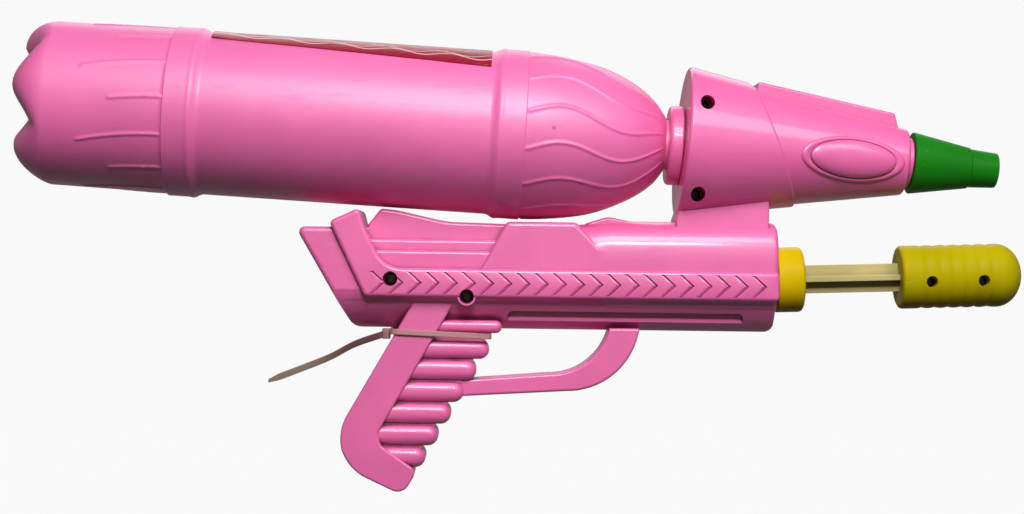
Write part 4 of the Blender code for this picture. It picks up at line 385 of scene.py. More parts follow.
NOZZLE_TIP_RADIUS = 8.6 * MM
NOZZLE_ORIFICE = 1.5 * MM
NOZZLE_CHANNEL = 2.0 * MM
NOZZLE_ORIFICE_LENGTH = 4.0 * MM
NOZZLE_RIM = 0.7 * MM

# Pump
PUMP_HEIGHT = 60.2 * MM
PUMP_TILT = 2.0
CYLINDER_RADIUS = 12.0 * MM
CYLINDER_REAR = -110.0 * MM
SADDLES = (-28.0 * MM, -86.0 * MM)
SADDLE_WIDTH = 2.0 * MM
GLAND_RADIUS = 16.2 * MM
GLAND_LENGTH = 13.8 * MM
GLAND_WALL = 2.5 * MM
GLAND_RIM = 2.2 * MM
ROD_SIZE = 14.0 * MM
ROD_WEB = 2.8 * MM
ROD_ROUND = 0.35 * MM
ROD_GUIDE = math.hypot(ROD_SIZE / 2, ROD_WEB / 2) + GAP * 1.5
PISTON_RADIUS = 9.5 * MM
PISTON_REAR = -60.0 * MM
PISTON_DISC = 3.0 * MM
PISTON_GROOVE = 8.0 * MM
PISTON_CORE = 7.0 * MM
HANDLE_REAR = 61.8 * MM
HANDLE_LENGTH = 61.3 * MM
HANDLE_RADIUS = 15.75 * MM
HANDLE_DOME = HANDLE_LENGTH * 0.204
HANDLE_RIM = 2.0 * MM
HANDLE_WALL = 2.4 * MM
HANDLE_BANDS = 6
HANDLE_BAND_FIRST = HANDLE_LENGTH * 0.188
HANDLE_BAND_PITCH = HANDLE_LENGTH * 0.106
HANDLE_SCREWS = {"handle_screw_rear": HANDLE_LENGTH * 0.23, "handle_screw_front": HANDLE_LENGTH * 0.648}
HANDLE_SCREW_DROP = -2.3 * MM
HANDLE_BOSS = 3.8 * MM
HANDLE_COUNTERBORE = 2.8 * MM
HANDLE_SCREW_HEAD = 2.3 * MM
HANDLE_SCREW_SHANK = 1.2 * MM
HANDLE_SEAT_DEPTH = 6.0 * MM
HANDLE_SCREW_BITE = 7.0 * MM

# Nylon tie
TIE_WIDTH = 2.8 * MM
TIE_THICKNESS = 1.1 * MM
TIE_HEAD = 5.2 * MM
TIE_HEAD_DEPTH = 4.0 * MM
TIE_HEAD_RIM = 0.5 * MM
TIE_CORNER = 4.0 * MM
TIE_TAIL_WIDTH = 3.5 * MM
TIE_TAIL_STEP = 1.5 * MM
TIE_TAIL_NARROWING = 0.45
TIE_TAIL_POINT = 0.1
TIE_SLOPE = 0.04
TIE_TAIL = ((-29.2, -9.0, 26.0), (-41.5, -9.6, 19.4), (-56.2, -10.0, 13.3), (-71.9, -10.0, 7.2))

# Strength of the wear, the grain and the painted shade in creases on plastic
SCUFF_TINT = 0.35
SPECK_TINT = 0.75
CREASE_SHADE_TINT = 0.85
SCUFF_DULLING = 0.2
SMEAR_DULLING = 0.10
HAZE_DULLING = 0.04
PEEL_DEPTH = 0.25 * MM

# Camera, measured on the photograph: focal length and picture width in pixels, and the eye's place
FOCAL_PIXELS = 2000.0
PICTURE_WIDTH = 1024.0
EYE = (32.0 * MM, -1000.0 * MM, 69.8 * MM)
EYE_ROLL = 0.75
EYE_SHIFT_PIXELS = 32.0
SENSOR = 36.0

# Stage: the floor, the wall it sweeps up into, and the place and the size of every lamp
FLOOR_HALF = 4.0
FLOOR_NEAR = -2.2
FLOOR_ROUGHNESS = 0.9
BACKDROP_PLACE = 2.2
BACKDROP_TOP = 2.4
BACKDROP_BEND = 0.6
LAMP_AIM = (0.05, 0.0, 0.08)
LAMPS = {
    "key": ((0.09, -0.74, 0.83), (0.5, 0.3)),
    "side": ((0.70, -0.80, 0.75), (0.4, 0.4)),
    "front": ((0.10, -0.98, 0.66), (0.34, 0.14)),
    "back": ((0.05, 1.6, 1.25), (1.8, 0.9)),
}


def linear(red, green, blue):
    """Linear values of an 8-bit display colour."""
    channels = [step / 255.0 for step in (red, green, blue)]
    return tuple(c / 12.92 if c <= 0.04045 else ((c + 0.055) / 1.055) ** 2.4 for c in channels)


def colour_property(name, description, colour):
    """Setting for a colour, from its 8-bit display values."""
    return FloatVectorProperty(name=name, description=description, subtype='COLOR', size=3, min=0, max=1,
                               default=linear(*colour))


def length_property(name, description, length):
    """Setting for a length in metres."""
    return FloatProperty(name=name, description=description, default=length, min=0, unit='LENGTH')


def power_property(name, description, power):
    """Setting for a lamp's power in watts."""
    return FloatProperty(name=name, description=description, default=power, min=0, unit='POWER')


def share_property(name, description, share):
    """Setting for a share, from none to all."""
    return FloatProperty(name=name, description=description, default=share, min=0, max=1, subtype='FACTOR')


def count_property(name, description, count, least):
    """Setting for a number of steps."""
    return IntProperty(name=name, description=description, default=count, min=least, subtype='UNSIGNED')


class ShellLook(bpy.types.PropertyGroup):
    """Moulded body halves."""
    pink: colour_property("Pink", "Colour of the moulded body", (236, 97, 166))
    # Painted shade: the crease colour darkens narrow creases of the body's mouldings and fittings.
    crease: colour_property("Crease", "Colour of the painted shade in the creases", (72, 8, 26))
    facets: count_property("Facets", "Facets of a full turn on round forms", 96, 24)
    rim_steps: count_property("Rim Steps", "Steps that round a moulded edge", 4, 1)
    groove: length_property("Groove", "Depth of the arrow grooves", 1.0 * MM)
    roughness: share_property("Roughness", "Roughness of the clean moulded skin", 0.52)


class BottleLook(bpy.types.PropertyGroup):
    """Blown bottle and its label."""
    pink: colour_property("Pink", "Colour of the blown bottle", (238, 104, 172))
    facets: count_property("Facets", "Facets round the bottle", 420, 60)
    emboss: length_property("Emboss", "Height of the wavy ribs", EMBOSS_RISE)
    roughness: share_property("Roughness", "Roughness of the blown skin", 0.55)
    label: colour_property("Label", "Ground colour of the label", (146, 14, 46))
    stroke: colour_property("Stroke", "Thin wavy lines on the label", (226, 170, 178))
    leaf: colour_property("Leaf", "Green dashes on the label", (38, 112, 70))
    drop: colour_property("Drop", "Blue dashes on the label", (58, 66, 110))


class PumpLook(bpy.types.PropertyGroup):
    """Pump handle, rod, gland and nozzle."""
    yellow: colour_property("Handle", "Colour of the handle", (188, 172, 6))
    amber: colour_property("Gland", "Colour of the gland cap", (216, 184, 6))
    cream: colour_property("Rod", "Colour of the rod", (200, 186, 122))
    green: colour_property("Nozzle", "Colour of the nozzle", (24, 122, 22))
    facets: count_property("Facets", "Facets of the turned pieces", 96, 24)
    scallop: length_property("Scallop", "Depth of the valleys between the handle's bands", 0.6 * MM)


class SmallLook(bpy.types.PropertyGroup):
    """Tie, screws and the pieces inside."""
    nylon: colour_property("Nylon", "Colour of the tie's tail at its end", (138, 118, 102))
    # Painted light: the loop colour is the grip's pink showing through the cloudy nylon.
    loop: colour_property("Loop", "Colour of the tie where it lies on the pink grip", (186, 138, 138))
    # Painted shade: the tail beside the grip takes this colour, which also tints the smudges.
    shade_and_smudge: colour_property("Shade and Smudge", "Colour of the painted shade on the tail beside the grip and of its smudges", (92, 58, 58))
    natural: colour_property("Natural", "Colour of unpigmented plastic inside", (225, 222, 210))
    vinyl: colour_property("Vinyl", "Colour of the clear hoses", (215, 225, 228))
    rubber: colour_property("Rubber", "Colour of the seals", (35, 35, 38))
    steel: colour_property("Steel", "Colour of the screws", (84, 74, 68))


class StageLook(bpy.types.PropertyGroup):
    """Floor and light."""
    floor: colour_property("Floor", "Colour of the floor in the lamps' light", (30, 24, 24))
    warm: colour_property("Even Light", "Colour of the light from all round", (255, 130, 104))
    shown: share_property("Shown White", "Share of white in the floor as the camera shows it", 0.95)
    drop: length_property("Drop", "Distance from the grip down to the floor", 62 * MM)
    mirrored: share_property("Mirrored", "Share of the white background that reflections show", 0.35)
    key: power_property("Key", "Power of the key lamp, high in front", 6.2)
    side: power_property("Side", "Power of the lamp at the nozzle's end", 3.4)
    front: power_property("Front", "Power of the small lamp over the camera", 6.4)
    back: power_property("Back", "Power of the lamp behind, for the far side", 10.0)
    fill: share_property("Fill", "Strength of the even light", 0.03)


# Solids


def add_object(name, data):
    """Put a mesh, a lamp or a camera in the scene as an object."""
    thing = bpy.data.objects.new(name, data)
    bpy.context.scene.collection.objects.link(thing)
    return thing


def solid_from(work, name):
    """Close off a bmesh as an object, with all its faces pointing out."""
    bmesh.ops.remove_doubles(work, verts=work.verts, dist=POINT_MERGE)
    bmesh.ops.recalc_face_normals(work, faces=work.faces)
    mesh = bpy.data.meshes.new(name)
    work.to_mesh(mesh)
    work.free()
    return add_object(name, mesh)


def combine(base, others, operation):
    """Join, cut or intersect the base with the other solids. The other objects are used up."""
    for other in others:
        step = base.modifiers.new(other.name, 'BOOLEAN')
        step.operation = operation
        step.solver = 'MANIFOLD'
        step.object = other
        graph = bpy.context.evaluated_depsgraph_get()
        mesh = bpy.data.meshes.new_from_object(base.evaluated_get(graph))
        base.modifiers.clear()
        if len(mesh.polygons) == 0:
            raise RuntimeError(f"{operation} of {base.name} with {other.name} left nothing")
        base.data = mesh
        bpy.data.objects.remove(other, do_unlink=True)
    return base


def join(base, *others):
    """Join other solids to the base."""
    return combine(base, others, 'UNION')


def cut(base, *others):
    """Cut other solids from the base."""
    return combine(base, others, 'DIFFERENCE')


def keep_common(base, other):
    """Keep what the base has in common with another solid."""
    return combine(base, (other,), 'INTERSECT')


def moved(thing, matrix):
    """Move a solid's mesh, keeping its object at the origin."""
    thing.data.transform(matrix)
    if matrix.determinant() < 0:
        thing.data.flip_normals()
    return thing


def skinned(name, rows):
    """Closed solid over rings of points, the last joined to the first. A row of one point is a tip."""
    steps = max(len(row) for row in rows)
    work = bmesh.new()
    rings = []
    for row in rows:
        points = [work.verts.new(point) for point in row]
        rings.append(points * steps if len(points) == 1 else points)
    for ring, after in zip(rings, rings[1:] + rings[:1]):
        if ring[0] == ring[1] and after[0] == after[1]:
            continue
        for k in range(steps):
            j = (k + 1) % steps
            work.faces.new(list(dict.fromkeys((ring[k], ring[j], after[j], after[k]))))
    return solid_from(work, name)


def quarter(steps):
    """Angles of a quarter turn in even steps, with both ends."""
    return [math.pi / 2 * k / steps for k in range(steps + 1)]


def plug(start, end, radius):
    """Profile of a plain round bar."""
    return [(start, 0), (start, radius), (end, radius), (end, 0)]


def turned(name, profile, steps):
    """Turn a profile of (along X, radius) points round the X axis."""
    angles = [2 * math.pi * (k + 0.5) / steps for k in range(steps)]
    rows = []
    for along, radius in profile:
        ring = [(along, radius * math.sin(a), radius * math.cos(a)) for a in angles]
        rows.append([(along, 0, 0)] if radius < POINT_MERGE else ring)
    return skinned(name, rows)


def rod(name, start, end, radius, steps):
    """A plain round bar between two points."""
    start, end = Vector(start), Vector(end)
    bar = turned(name, plug(0, (end - start).length, radius), steps)
    turn = Vector((1, 0, 0)).rotation_difference(end - start).to_matrix().to_4x4()
    return moved(bar, Matrix.Translation(start) @ turn)


def side_bar(name, place, near, far, radius, steps=40):
    """A round bar across the body at an (x, z) place, from one y to another."""
    return rod(name, (place[0], near, place[1]), (place[0], far, place[1]), radius, steps)


def block(name, low, high):
    """A box between two corners."""
    work = bmesh.new()
    size = Vector(high) - Vector(low)
    centre = (Vector(high) + Vector(low)) / 2
    bmesh.ops.create_cube(work, size=1.0, matrix=Matrix.Translation(centre) @ Matrix.Diagonal((*size, 1)))
    return solid_from(work, name)


def loft(name, rings):
    """Skin a solid over closed rings that have the same number of points, and cap both ends."""
    work = bmesh.new()
    rows = [[work.verts.new(point) for point in ring] for ring in rings]
    for row, after in zip(rows, rows[1:]):
        for i in range(len(row)):
            j = (i + 1) % len(row)
            work.faces.new((row[i], row[j], after[j], after[i]))
    work.faces.new(rows[0])
    work.faces.new(rows[-1])
    return solid_from(work, name)


def arc(centre, radius, start, end, steps):
    """Points along a circular arc, with its angles in degrees."""
    angles = [math.radians(start + (end - start) * i / steps) for i in range(steps + 1)]
    return [(centre[0] + radius * math.cos(a), centre[1] + radius * math.sin(a)) for a in angles]


def rounded(corners, steps=8):
    """Outline through (x, z, radius) corners, each rounded by its radius."""
    outline = []
    count = len(corners)
    for i, (x, z, radius) in enumerate(corners):
        here = Vector((x, z))
        before = (Vector(corners[i - 1][:2]) - here).normalized()
        after = (Vector(corners[(i + 1) % count][:2]) - here).normalized()
        if radius == 0:
            outline.append((x, z))
            continue
        half = before.angle(after) / 2
        middle = here + (before + after).normalized() * radius / math.sin(half)
        first = here + before * radius / math.tan(half) - middle
        last = here + after * radius / math.tan(half) - middle
        sweep = first.angle_signed(last)
        for k in range(steps + 1):
            turn = -sweep * k / steps
            spoke = Vector((first.x * math.cos(turn) - first.y * math.sin(turn),
                            first.x * math.sin(turn) + first.y * math.cos(turn)))
            outline.append(tuple(middle + spoke))
    return outline


def turns_left(outline):
    """Whether an outline runs anticlockwise."""
    pairs = zip(outline, outline[1:] + outline[:1])
    return sum(a[0] * b[1] - b[0] * a[1] for a, b in pairs) > 0


def inset(outline, depth):
    """Move every side of an outline inwards by the depth, keeping its points in order."""
    side = 1 if turns_left(outline) else -1
    count = len(outline)
    result = []
    for i in range(count):
        here = Vector(outline[i])
        back = (here - Vector(outline[i - 1])).normalized()
        ahead = (Vector(outline[(i + 1) % count]) - here).normalized()
        normal = Vector((-back.y, back.x)) + Vector((-ahead.y, ahead.x))
        normal = normal * side / (1 + back.dot(ahead))
        result.append(tuple(here + normal * depth))
    return result


def slab(name, outline, far, near=PAST, rim=0.0, steps=4):
    """A plate with a side outline (x, z), from y = near out to y = far, with its outer rim rounded."""
    out = math.copysign(1, far - near)
    rings = [[(x, near, z) for x, z in outline]]
    for angle in quarter(steps) if rim else (0.0,):
        y = far - out * rim * (1 - math.sin(angle))
        rings.append([(x, y, z) for x, z in inset(outline, rim * (1 - math.cos(angle)))])
    return loft(name, rings)


def bar_along_x(name, section, start, end):
    """A straight bar with a (y, z) section."""
    return loft(name, [[(x, y, z) for y, z in section] for x in (start, end)])


def smooth_path(points, spacing):
    """Points about the given spacing apart on a smooth curve through the route's own points."""
    points = [Vector(p) for p in points]
    path = []
    for i in range(len(points) - 1):
        a, b = points[i], points[i + 1]
        before = points[i - 1] if i else 2 * a - b
        after = points[i + 2] if i + 2 < len(points) else 2 * b - a
        count = max(1, round((b - a).length / spacing))
        for k in range(count):
            t = k / count
            path.append(0.5 * (2 * a + (b - before) * t + (2 * before - 5 * a + 4 * b - after) * t * t
                               + (3 * a - before - 3 * b + after) * t ** 3))
    return path + [points[-1]]


def bevel_edges(thing, chosen, width, steps):
    """Round the edges of a solid for which chosen(edge) is true."""
    work = bmesh.new()
    work.from_mesh(thing.data)
    edges = [edge for edge in work.edges if chosen(edge)]
    bmesh.ops.bevel(work, geom=edges, offset=width, segments=steps, profile=0.5, affect='EDGES')
    work.to_mesh(thing.data)
    work.free()
    return thing


def borders(edge, test):
    """Whether just one of the two faces at an edge passes the test."""
    passed = [test(face) for face in edge.link_faces]
    return len(passed) == 2 and passed[0] != passed[1]


def mirrored(half, name):
    """Copy of a half on the other side of the parting plane."""
    return moved(add_object(name, half.data.copy()), Matrix.Diagonal((1, -1, 1, 1)))


def axis_frame(origin, tilt):
    """Matrix of an axis that starts at (x, z) and tips nose-down by the tilt in degrees."""
    return Matrix.Translation((origin[0], 0, origin[1])) @ Matrix.Rotation(math.radians(tilt), 4, 'Y')


BOTTLE_FRAME = axis_frame(BOTTLE_ORIGIN, BOTTLE_TILT)
HEAD_FRAME = axis_frame((BOTTLE_ORIGIN[0], BOTTLE_ORIGIN[1] + HEAD_LIFT), HEAD_TILT)
PUMP_FRAME = axis_frame((RECEIVER_FRONT, PUMP_HEIGHT), -PUMP_TILT)
HANDLE_FRAME = PUMP_FRAME @ Matrix.Translation((HANDLE_REAR, 0, 0))
SIDEWAYS = Matrix.Rotation(math.radians(90), 4, 'Z')


# Outlines and solids of the body halves


def raked(corner, rake, z):
    """X at height z on a line through the corner that leans back as it rises."""
    return corner[0] + (corner[1] - z) * math.tan(math.radians(rake))


def chassis_outline():
    """Rear fin and sill: the layer that all the raised panels stand on."""
    foot = raked(FIN_TOP, FIN_RAKE, RECEIVER_BOTTOM)
    front = RECEIVER_FRONT - CHASSIS_SETBACK
    return rounded([
        (*FIN_TOP, CHASSIS_RIM * CORNER_OVER_RIM),
        (foot, RECEIVER_BOTTOM, CHASSIS_FOOT_ROUND),
        (front, RECEIVER_BOTTOM, CHASSIS_TOE_ROUND),
        (front, BAND_MIDDLE, 0),
        (BAND_LEG_FOOT + BAND_LEG_WIDTH, BAND_MIDDLE, 0),
        (NOTCH[0] - NOTCH_LAP, FIN_TOP[1], 0),
    ])


def belly_half(z, skin=0.0):
    """Half width of the receiver's round underside at a height, less the skin."""
    drop = max(0.0, BELLY_MIDDLE - z) / (BELLY_MIDDLE - RECEIVER_BOTTOM - skin)
    return (CHASSIS_HALF + BELLY_EASE - skin) * max(0.0, 1 - drop ** BELLY_ORDER) ** (1 / BELLY_ORDER)


def belly_bar(name, skin, low, steps):
    """Bar with the section of the receiver's underside, from a height up, wide open above."""
    deep = BELLY_MIDDLE - RECEIVER_BOTTOM - skin
    first = math.asin(min(1.0, (BELLY_MIDDLE - low) / deep))
    section = [(CHANNEL_HALF, low)]
    for k in range(steps + 1):
        z = BELLY_MIDDLE - deep * math.sin(first * (1 - k / steps))
        section.append((-belly_half(z, skin), z))
    side = BAND_HALF if skin == 0 else CHASSIS_HALF - skin
    section += [(-side, BELLY_MIDDLE + GAP), (-side, BAND_LEG_TOP), (CHANNEL_HALF, BAND_LEG_TOP)]
    return bar_along_x(name, section, FIN_TOP[0] - WALL, RECEIVER_FRONT)


def band_outline():
    """Ribbon along the side, with a leg that leans back up to the rear corner."""
    foot = (BAND_LEG_FOOT, BAND_BOTTOM)
    top = BAND_LEG_TOP - BAND_LEG_SLANT
    inner = (BAND_LEG_FOOT + BAND_LEG_WIDTH + BAND_LEG_SPREAD, BAND_BOTTOM)
    return rounded([
        (*foot, BAND_FOOT_ROUND),
        (RECEIVER_FRONT, BAND_BOTTOM, BAND_RIM * CORNER_OVER_RIM),
        (RECEIVER_FRONT, BAND_TOP, BAND_RIM * CORNER_OVER_RIM),
        (raked(inner, BAND_LEG_RAKE, BAND_TOP), BAND_TOP, BAND_LEG_FILLET),
        (raked(inner, BAND_LEG_RAKE, NOTCH[1]), NOTCH[1], 0),
        (raked(inner, BAND_LEG_RAKE, BAND_LEG_TOP) + BAND_LEG_TIP, BAND_LEG_TOP, BAND_LEG_ROUND),
        (raked(foot, BAND_LEG_RAKE, top), top, BAND_LEG_ROUND),
    ])


def step_outline(top):
    """Side panel between the band's leg and the flat panel, up to the given height or to the peak."""
    front = FLAT_REAR_TOP + STEP_LAP
    rear = NOTCH[0] - STEP_LAP
    if top is not None:
        return [(rear, BAND_MIDDLE), (front, BAND_MIDDLE), (front, top), (rear, top)]
    return rounded([
        (rear, BAND_MIDDLE, 0),
        (front, BAND_MIDDLE, 0),
        (front, DECK - ROOF_FRONT_DROP, 0),
        ((PEAK[0] + front) / 2, DECK - ROOF_DROP, ROOF_ROUND),
        (PEAK[0] + BROW_AHEAD, PEAK[1] - BROW_DROP, BROW_ROUND),
        (*PEAK, PEAK_ROUND),
        (*NOTCH, 0),
        (rear, NOTCH[1], 0),
    ])


def flat_outline():
    """Flat side panel with a slanted rear edge and a front edge that runs into the round housing."""
    return rounded([
        (FLAT_REAR_FOOT, BAND_MIDDLE, 0),
        (FLAT_FRONT_FOOT, BAND_MIDDLE, 0),
        (FLAT_FRONT_FOOT, HOUSING_MIDDLE + FLAT_FRONT_ROUND, FLAT_FRONT_ROUND),
        (FLAT_FRONT_TOP, DECK, FLAT_TOP_ROUND),
        (FLAT_REAR_TOP, DECK, FLAT_TOP_ROUND),
        (FLAT_REAR_FOOT, BAND_TOP, 0),
    ])


def housing_solid(name, skin, front, facets):
    """Round front housing, or its hollow when the skin is the wall's thickness."""
    rear = HOUSING_REAR if skin == 0 else FLAT_REAR_TOP
    rim = HOUSING_RIM / HOUSING_RISE if skin == 0 else 0
    profile = [(rear, 0), (rear, HOUSING_START), (FLAT_FRONT_FOOT, 1)]
    for angle in quarter(5) if rim else (0.0,):
        profile.append((front - HOUSING_RIM * (1 - math.sin(angle)), 1 - rim * (1 - math.cos(angle))))
    profile += [(front, 0)] if rim else [(front, 1), (front, 0)]
    tunnel = turned(name, profile, facets)
    for vertex in tunnel.data.vertices:
        radius = math.hypot(vertex.co.y, vertex.co.z)
        if radius > 0:
            share = sum(abs(part / radius) ** HOUSING_ORDER for part in (vertex.co.y, vertex.co.z))
            vertex.co.yz = vertex.co.yz * share ** (-1 / HOUSING_ORDER)
    scale = Matrix.Diagonal((1, HOUSING_HALF - skin, HOUSING_RISE - skin, 1))
    return moved(tunnel, Matrix.Translation((0, 0, HOUSING_MIDDLE)) @ scale)


def strap_outline():
    """Strap down the back of the grip that hooks forward round the butt and narrows to its tip."""
    heading = math.radians(-90 - GRIP_RAKE)
    total = STRAP_RUN + STRAP_BEND * math.pi / 2 + STRAP_HOOK
    spot = Vector(STRAP_TOP)
    stations = [(spot, heading, 0.0)]
    spot = spot + STRAP_RUN * Vector((math.cos(heading), math.sin(heading)))
    centre = spot + STRAP_BEND * Vector((-math.sin(heading), math.cos(heading)))
    for turn in quarter(18):
        a = heading + turn
        place = centre + STRAP_BEND * Vector((math.sin(a), -math.cos(a)))
        stations.append((place, a, STRAP_RUN + STRAP_BEND * turn))
    last = heading + math.pi / 2
    end = stations[-1][0] + STRAP_HOOK * Vector((math.cos(last), math.sin(last)))
    stations.append((end, last, total))
    left, right = [], []
    widest = STRAP_RUN + STRAP_BEND * math.pi / 4
    for place, a, done in stations:
        wide = STRAP_WIDTH
        if done > widest:
            share = (done - widest) / (total - widest)
            wide = STRAP_BEND_WIDTH + (STRAP_TIP_WIDTH - STRAP_BEND_WIDTH) * share
        elif done > STRAP_RUN:
            wide += (STRAP_BEND_WIDTH - STRAP_WIDTH) * (done - STRAP_RUN) / (widest - STRAP_RUN)
        across = Vector((-math.sin(a), math.cos(a))) * wide / 2
        left.append((*(place + across), 0))
        right.append((*(place - across), 0))
    # The top is cut level: its left corner slides along the strap's edge up to that height
    level = left[0][0] + (left[0][0] - STRAP_TOP[0]) * GRIP_LEAN ** 2
    left[0] = (level, STRAP_TOP[1], 0)
    left[-1] = (*left[-1][:2], STRAP_TIP_ROUND)
    right[-1] = (*right[-1][:2], STRAP_TOE_ROUND)
    return rounded(right + left[::-1])


def strap_middle(z):
    """X of the strap's middle line at a height on its straight run."""
    return STRAP_TOP[0] - (STRAP_TOP[1] - z) * GRIP_LEAN


def rib_front(i):
    """Front end and middle height of a finger rib."""
    drop = RIB_PITCH * i
    return RIB_FIRST[0] - drop * GRIP_LEAN, RIB_FIRST[1] - drop


def rib_edges(i):
    """Lower and upper edge of a finger rib."""
    middle = rib_front(i)[1]
    half = (RIB_TOP_HEIGHT if i == 0 else RIB_HEIGHT) / 2
    return middle - half, middle + half - (RIB_TIE_ROOM if i == 1 else 0)


def rib_solid(i):
    """Sausage-shaped finger rib."""
    front = rib_front(i)[0]
    low, high = rib_edges(i)
    middle, height = (low + high) / 2, high - low
    rear = max(strap_middle(middle), strap_middle(-STRAP_RUN * 0.25))
    end = arc((front - height / 2, middle), height / 2, -90, 90, 20)
    outline = [(rear, middle - height / 2), *end, (rear, middle + height / 2)]
    near = PAST * (1.2 + 0.03 * i)
    return slab(f"rib_{i}", outline, -RIB_HALF, near, height * RIB_RIM_SHARE, RIB_RIM_STEPS)


def core_outline(skin=0.0):
    """Middle of the grip, behind the ribs' front ends."""
    top = RECEIVER_BOTTOM + WALL
    first, last = rib_front(0), rib_front(RIB_COUNT - 1)
    low = last[1] - RIB_HEIGHT * 0.3
    high = top - skin * 2

    def front(z):
        """X of the front edge at a height."""
        return first[0] - CORE_SETBACK - skin - (first[1] - z) * GRIP_LEAN

    bend = STRAP_TOP[1] - STRAP_RUN * math.cos(math.radians(GRIP_RAKE))
    rear = strap_middle(bend) + skin * 0.3
    return [(strap_middle(high) + skin * 0.3, high), (rear, bend), (rear + STRAP_BEND * 0.3, low + skin),
            (front(low + skin), low + skin), (front(high), high)]


def guard_outline():
    """Finger guard: a post under the receiver that sweeps round into a bar back to the grip."""
    rear = rib_front(GUARD_REAR_RIB)[0] - GUARD_REAR_LAP
    top = RECEIVER_BOTTOM + GUARD_ROOT
    outer = (GUARD_FRONT - GUARD_OUTER_RADIUS, GUARD_FRONT_Z + GUARD_OUTER_RADIUS)
    inner_x = GUARD_FRONT - GUARD_POST - GUARD_INNER_RADIUS
    inner = (inner_x, GUARD_FRONT_Z + GUARD_BAR + GUARD_INNER_RADIUS)
    outline = [(rear, GUARD_REAR_Z)]
    outer_end = math.degrees(math.asin((top - outer[1]) / GUARD_OUTER_RADIUS))
    inner_end = math.degrees(math.asin((top - inner[1]) / GUARD_INNER_RADIUS))
    outline += arc(outer, GUARD_OUTER_RADIUS, -90, outer_end, 24)
    outline += arc(inner, GUARD_INNER_RADIUS, inner_end, -90, 24)
    return outline + [(rear, GUARD_REAR_Z + GUARD_REAR_BAR)]


def collar_radius(along):
    """Outside radius of the head's collar, a cone that narrows to the front."""
    slope = (COLLAR_RADIUS - COLLAR_STEP - HEAD_FRONT_RADIUS) / HEAD_LENGTH
    return COLLAR_RADIUS - slope * along


def head_collar(facets):
    """Rear cone of the head, cut off by a slanted plane with a rounded lip."""
    end = COLLAR_CUT + COLLAR_RADIUS
    profile = rounded([(HEAD_REAR, 0, 0), (HEAD_REAR, collar_radius(HEAD_REAR), COLLAR_RIM),
                       (end, collar_radius(end), 0), (end, 0, 0)], 5)
    collar = turned("head_collar", profile, facets)
    reach = COLLAR_RADIUS * 2
    knife = block("collar_knife", (0, -reach, -reach), (reach, reach, reach))
    lean = Matrix.Rotation(math.radians(-COLLAR_SLANT), 4, 'Y')
    moved(knife, Matrix.Translation((COLLAR_CUT, 0, 0)) @ lean)
    cut(collar, knife)
    facing = lean @ Vector((1, 0, 0))

    def is_cut(face):
        """Whether a face lies in the slanted cut."""
        return face.normal.dot(facing) > 0.999

    return bevel_edges(collar, lambda edge: borders(edge, is_cut), COLLAR_LIP, 4)


def head_cone(name, skin, facets):
    """Front cone of the head, or its hollow when the skin is the wall's thickness."""
    rear = HEAD_REAR + (skin if skin else COLLAR_RIM)
    front = HEAD_LENGTH - skin
    inside = COLLAR_STEP + skin
    rim = HEAD_FRONT_RIM if skin <= 0 else 0
    profile = rounded([(rear, 0, 0), (rear, collar_radius(rear) - inside, 0),
                       (front, collar_radius(front) - inside, rim), (front, 0, 0)], 5)
    return turned(name, profile, facets)


def head_ridge():
    """Sighting ridge along the top of the head, narrow at the front."""
    bed = HEAD_FRONT_RADIUS * 0.5
    rings = []
    for (along, top), half, slant in ((RIDGE_REAR, RIDGE_REAR_HALF, -RIDGE_REAR_LEAN),
                                      (RIDGE_FRONT, RIDGE_FRONT_HALF, RIDGE_FRONT_LEAN)):
        lean = (top - bed) * slant
        section = rounded([(-half, bed, 0), (-half, top, RIDGE_RIM),
                           (half, top, RIDGE_RIM), (half, bed, 0)], 5)
        rings.append([(along + lean * (top - z) / (top - bed), y, z) for y, z in section])
    ridge = loft("head_ridge", rings)

    def is_end(face):
        """Whether a face is the ridge's front or rear end."""
        return len(face.verts) > 4

    def on_end(edge):
        """Whether an edge goes round an end above the head."""
        middle = (edge.verts[0].co + edge.verts[1].co) / 2
        return middle.z >= bed * 1.6 and borders(edge, is_end)

    return bevel_edges(ridge, on_end, RIDGE_END_RIM, 3)


def oval_pad():
    """Raised oval on the side of the head, which follows the cone: soft edge, crease and a dome inside it."""
    dome = DOME_LENGTH / OVAL_LENGTH
    columns = 96
    shape = []
    for turn in quarter(14):
        share = math.sin(turn)
        shape.append((dome * share, OVAL_RISE + DOME_RISE * math.sqrt(1 - share ** DOME_ORDER)))
    shape += [(dome + OVAL_CREASE, OVAL_RISE * OVAL_CREASE_FLOOR),
              (dome + OVAL_CREASE * 3, OVAL_RISE * OVAL_CREASE_LIP)]
    for turn in quarter(6):
        rise = OVAL_RISE * ((1 + OVAL_TUCK) * math.cos(turn) - OVAL_TUCK)
        shape.append((1 - OVAL_EDGE * (1 - math.sin(turn)), rise))
    shape += [(1, -OVAL_BED), (0, -OVAL_BED)]
    rows = []
    for share, rise in shape:
        row = []
        for k in range(columns if share else 1):
            turn = 2 * math.pi * k / columns
            along = OVAL_CENTRE[0] + OVAL_LENGTH / 2 * share * math.cos(turn)
            up = OVAL_CENTRE[1] + OVAL_HEIGHT / 2 * share * math.sin(turn)
            row.append((along, -math.sqrt((collar_radius(along) - COLLAR_STEP + rise) ** 2 - up ** 2), up))
        rows.append(row)
    return skinned("oval_pad", rows)


def bump_outline():
    """Low bump on the deck, steep behind and long in front."""
    rear, front = DECK_BUMP - DECK_BUMP_REAR, DECK_BUMP + DECK_BUMP_FRONT
    return rounded([
        (rear, DECK - DECK_BUMP_RISE, 0),
        (front, DECK - DECK_BUMP_RISE, 0),
        (front, DECK, 0),
        (DECK_BUMP + DECK_BUMP_REAR, DECK + DECK_BUMP_SHOULDER, DECK_BUMP_FRONT),
        (DECK_BUMP + DECK_BUMP_CREST, DECK + DECK_BUMP_RISE, DECK_BUMP_REAR),
        (rear, DECK, 0),
    ])


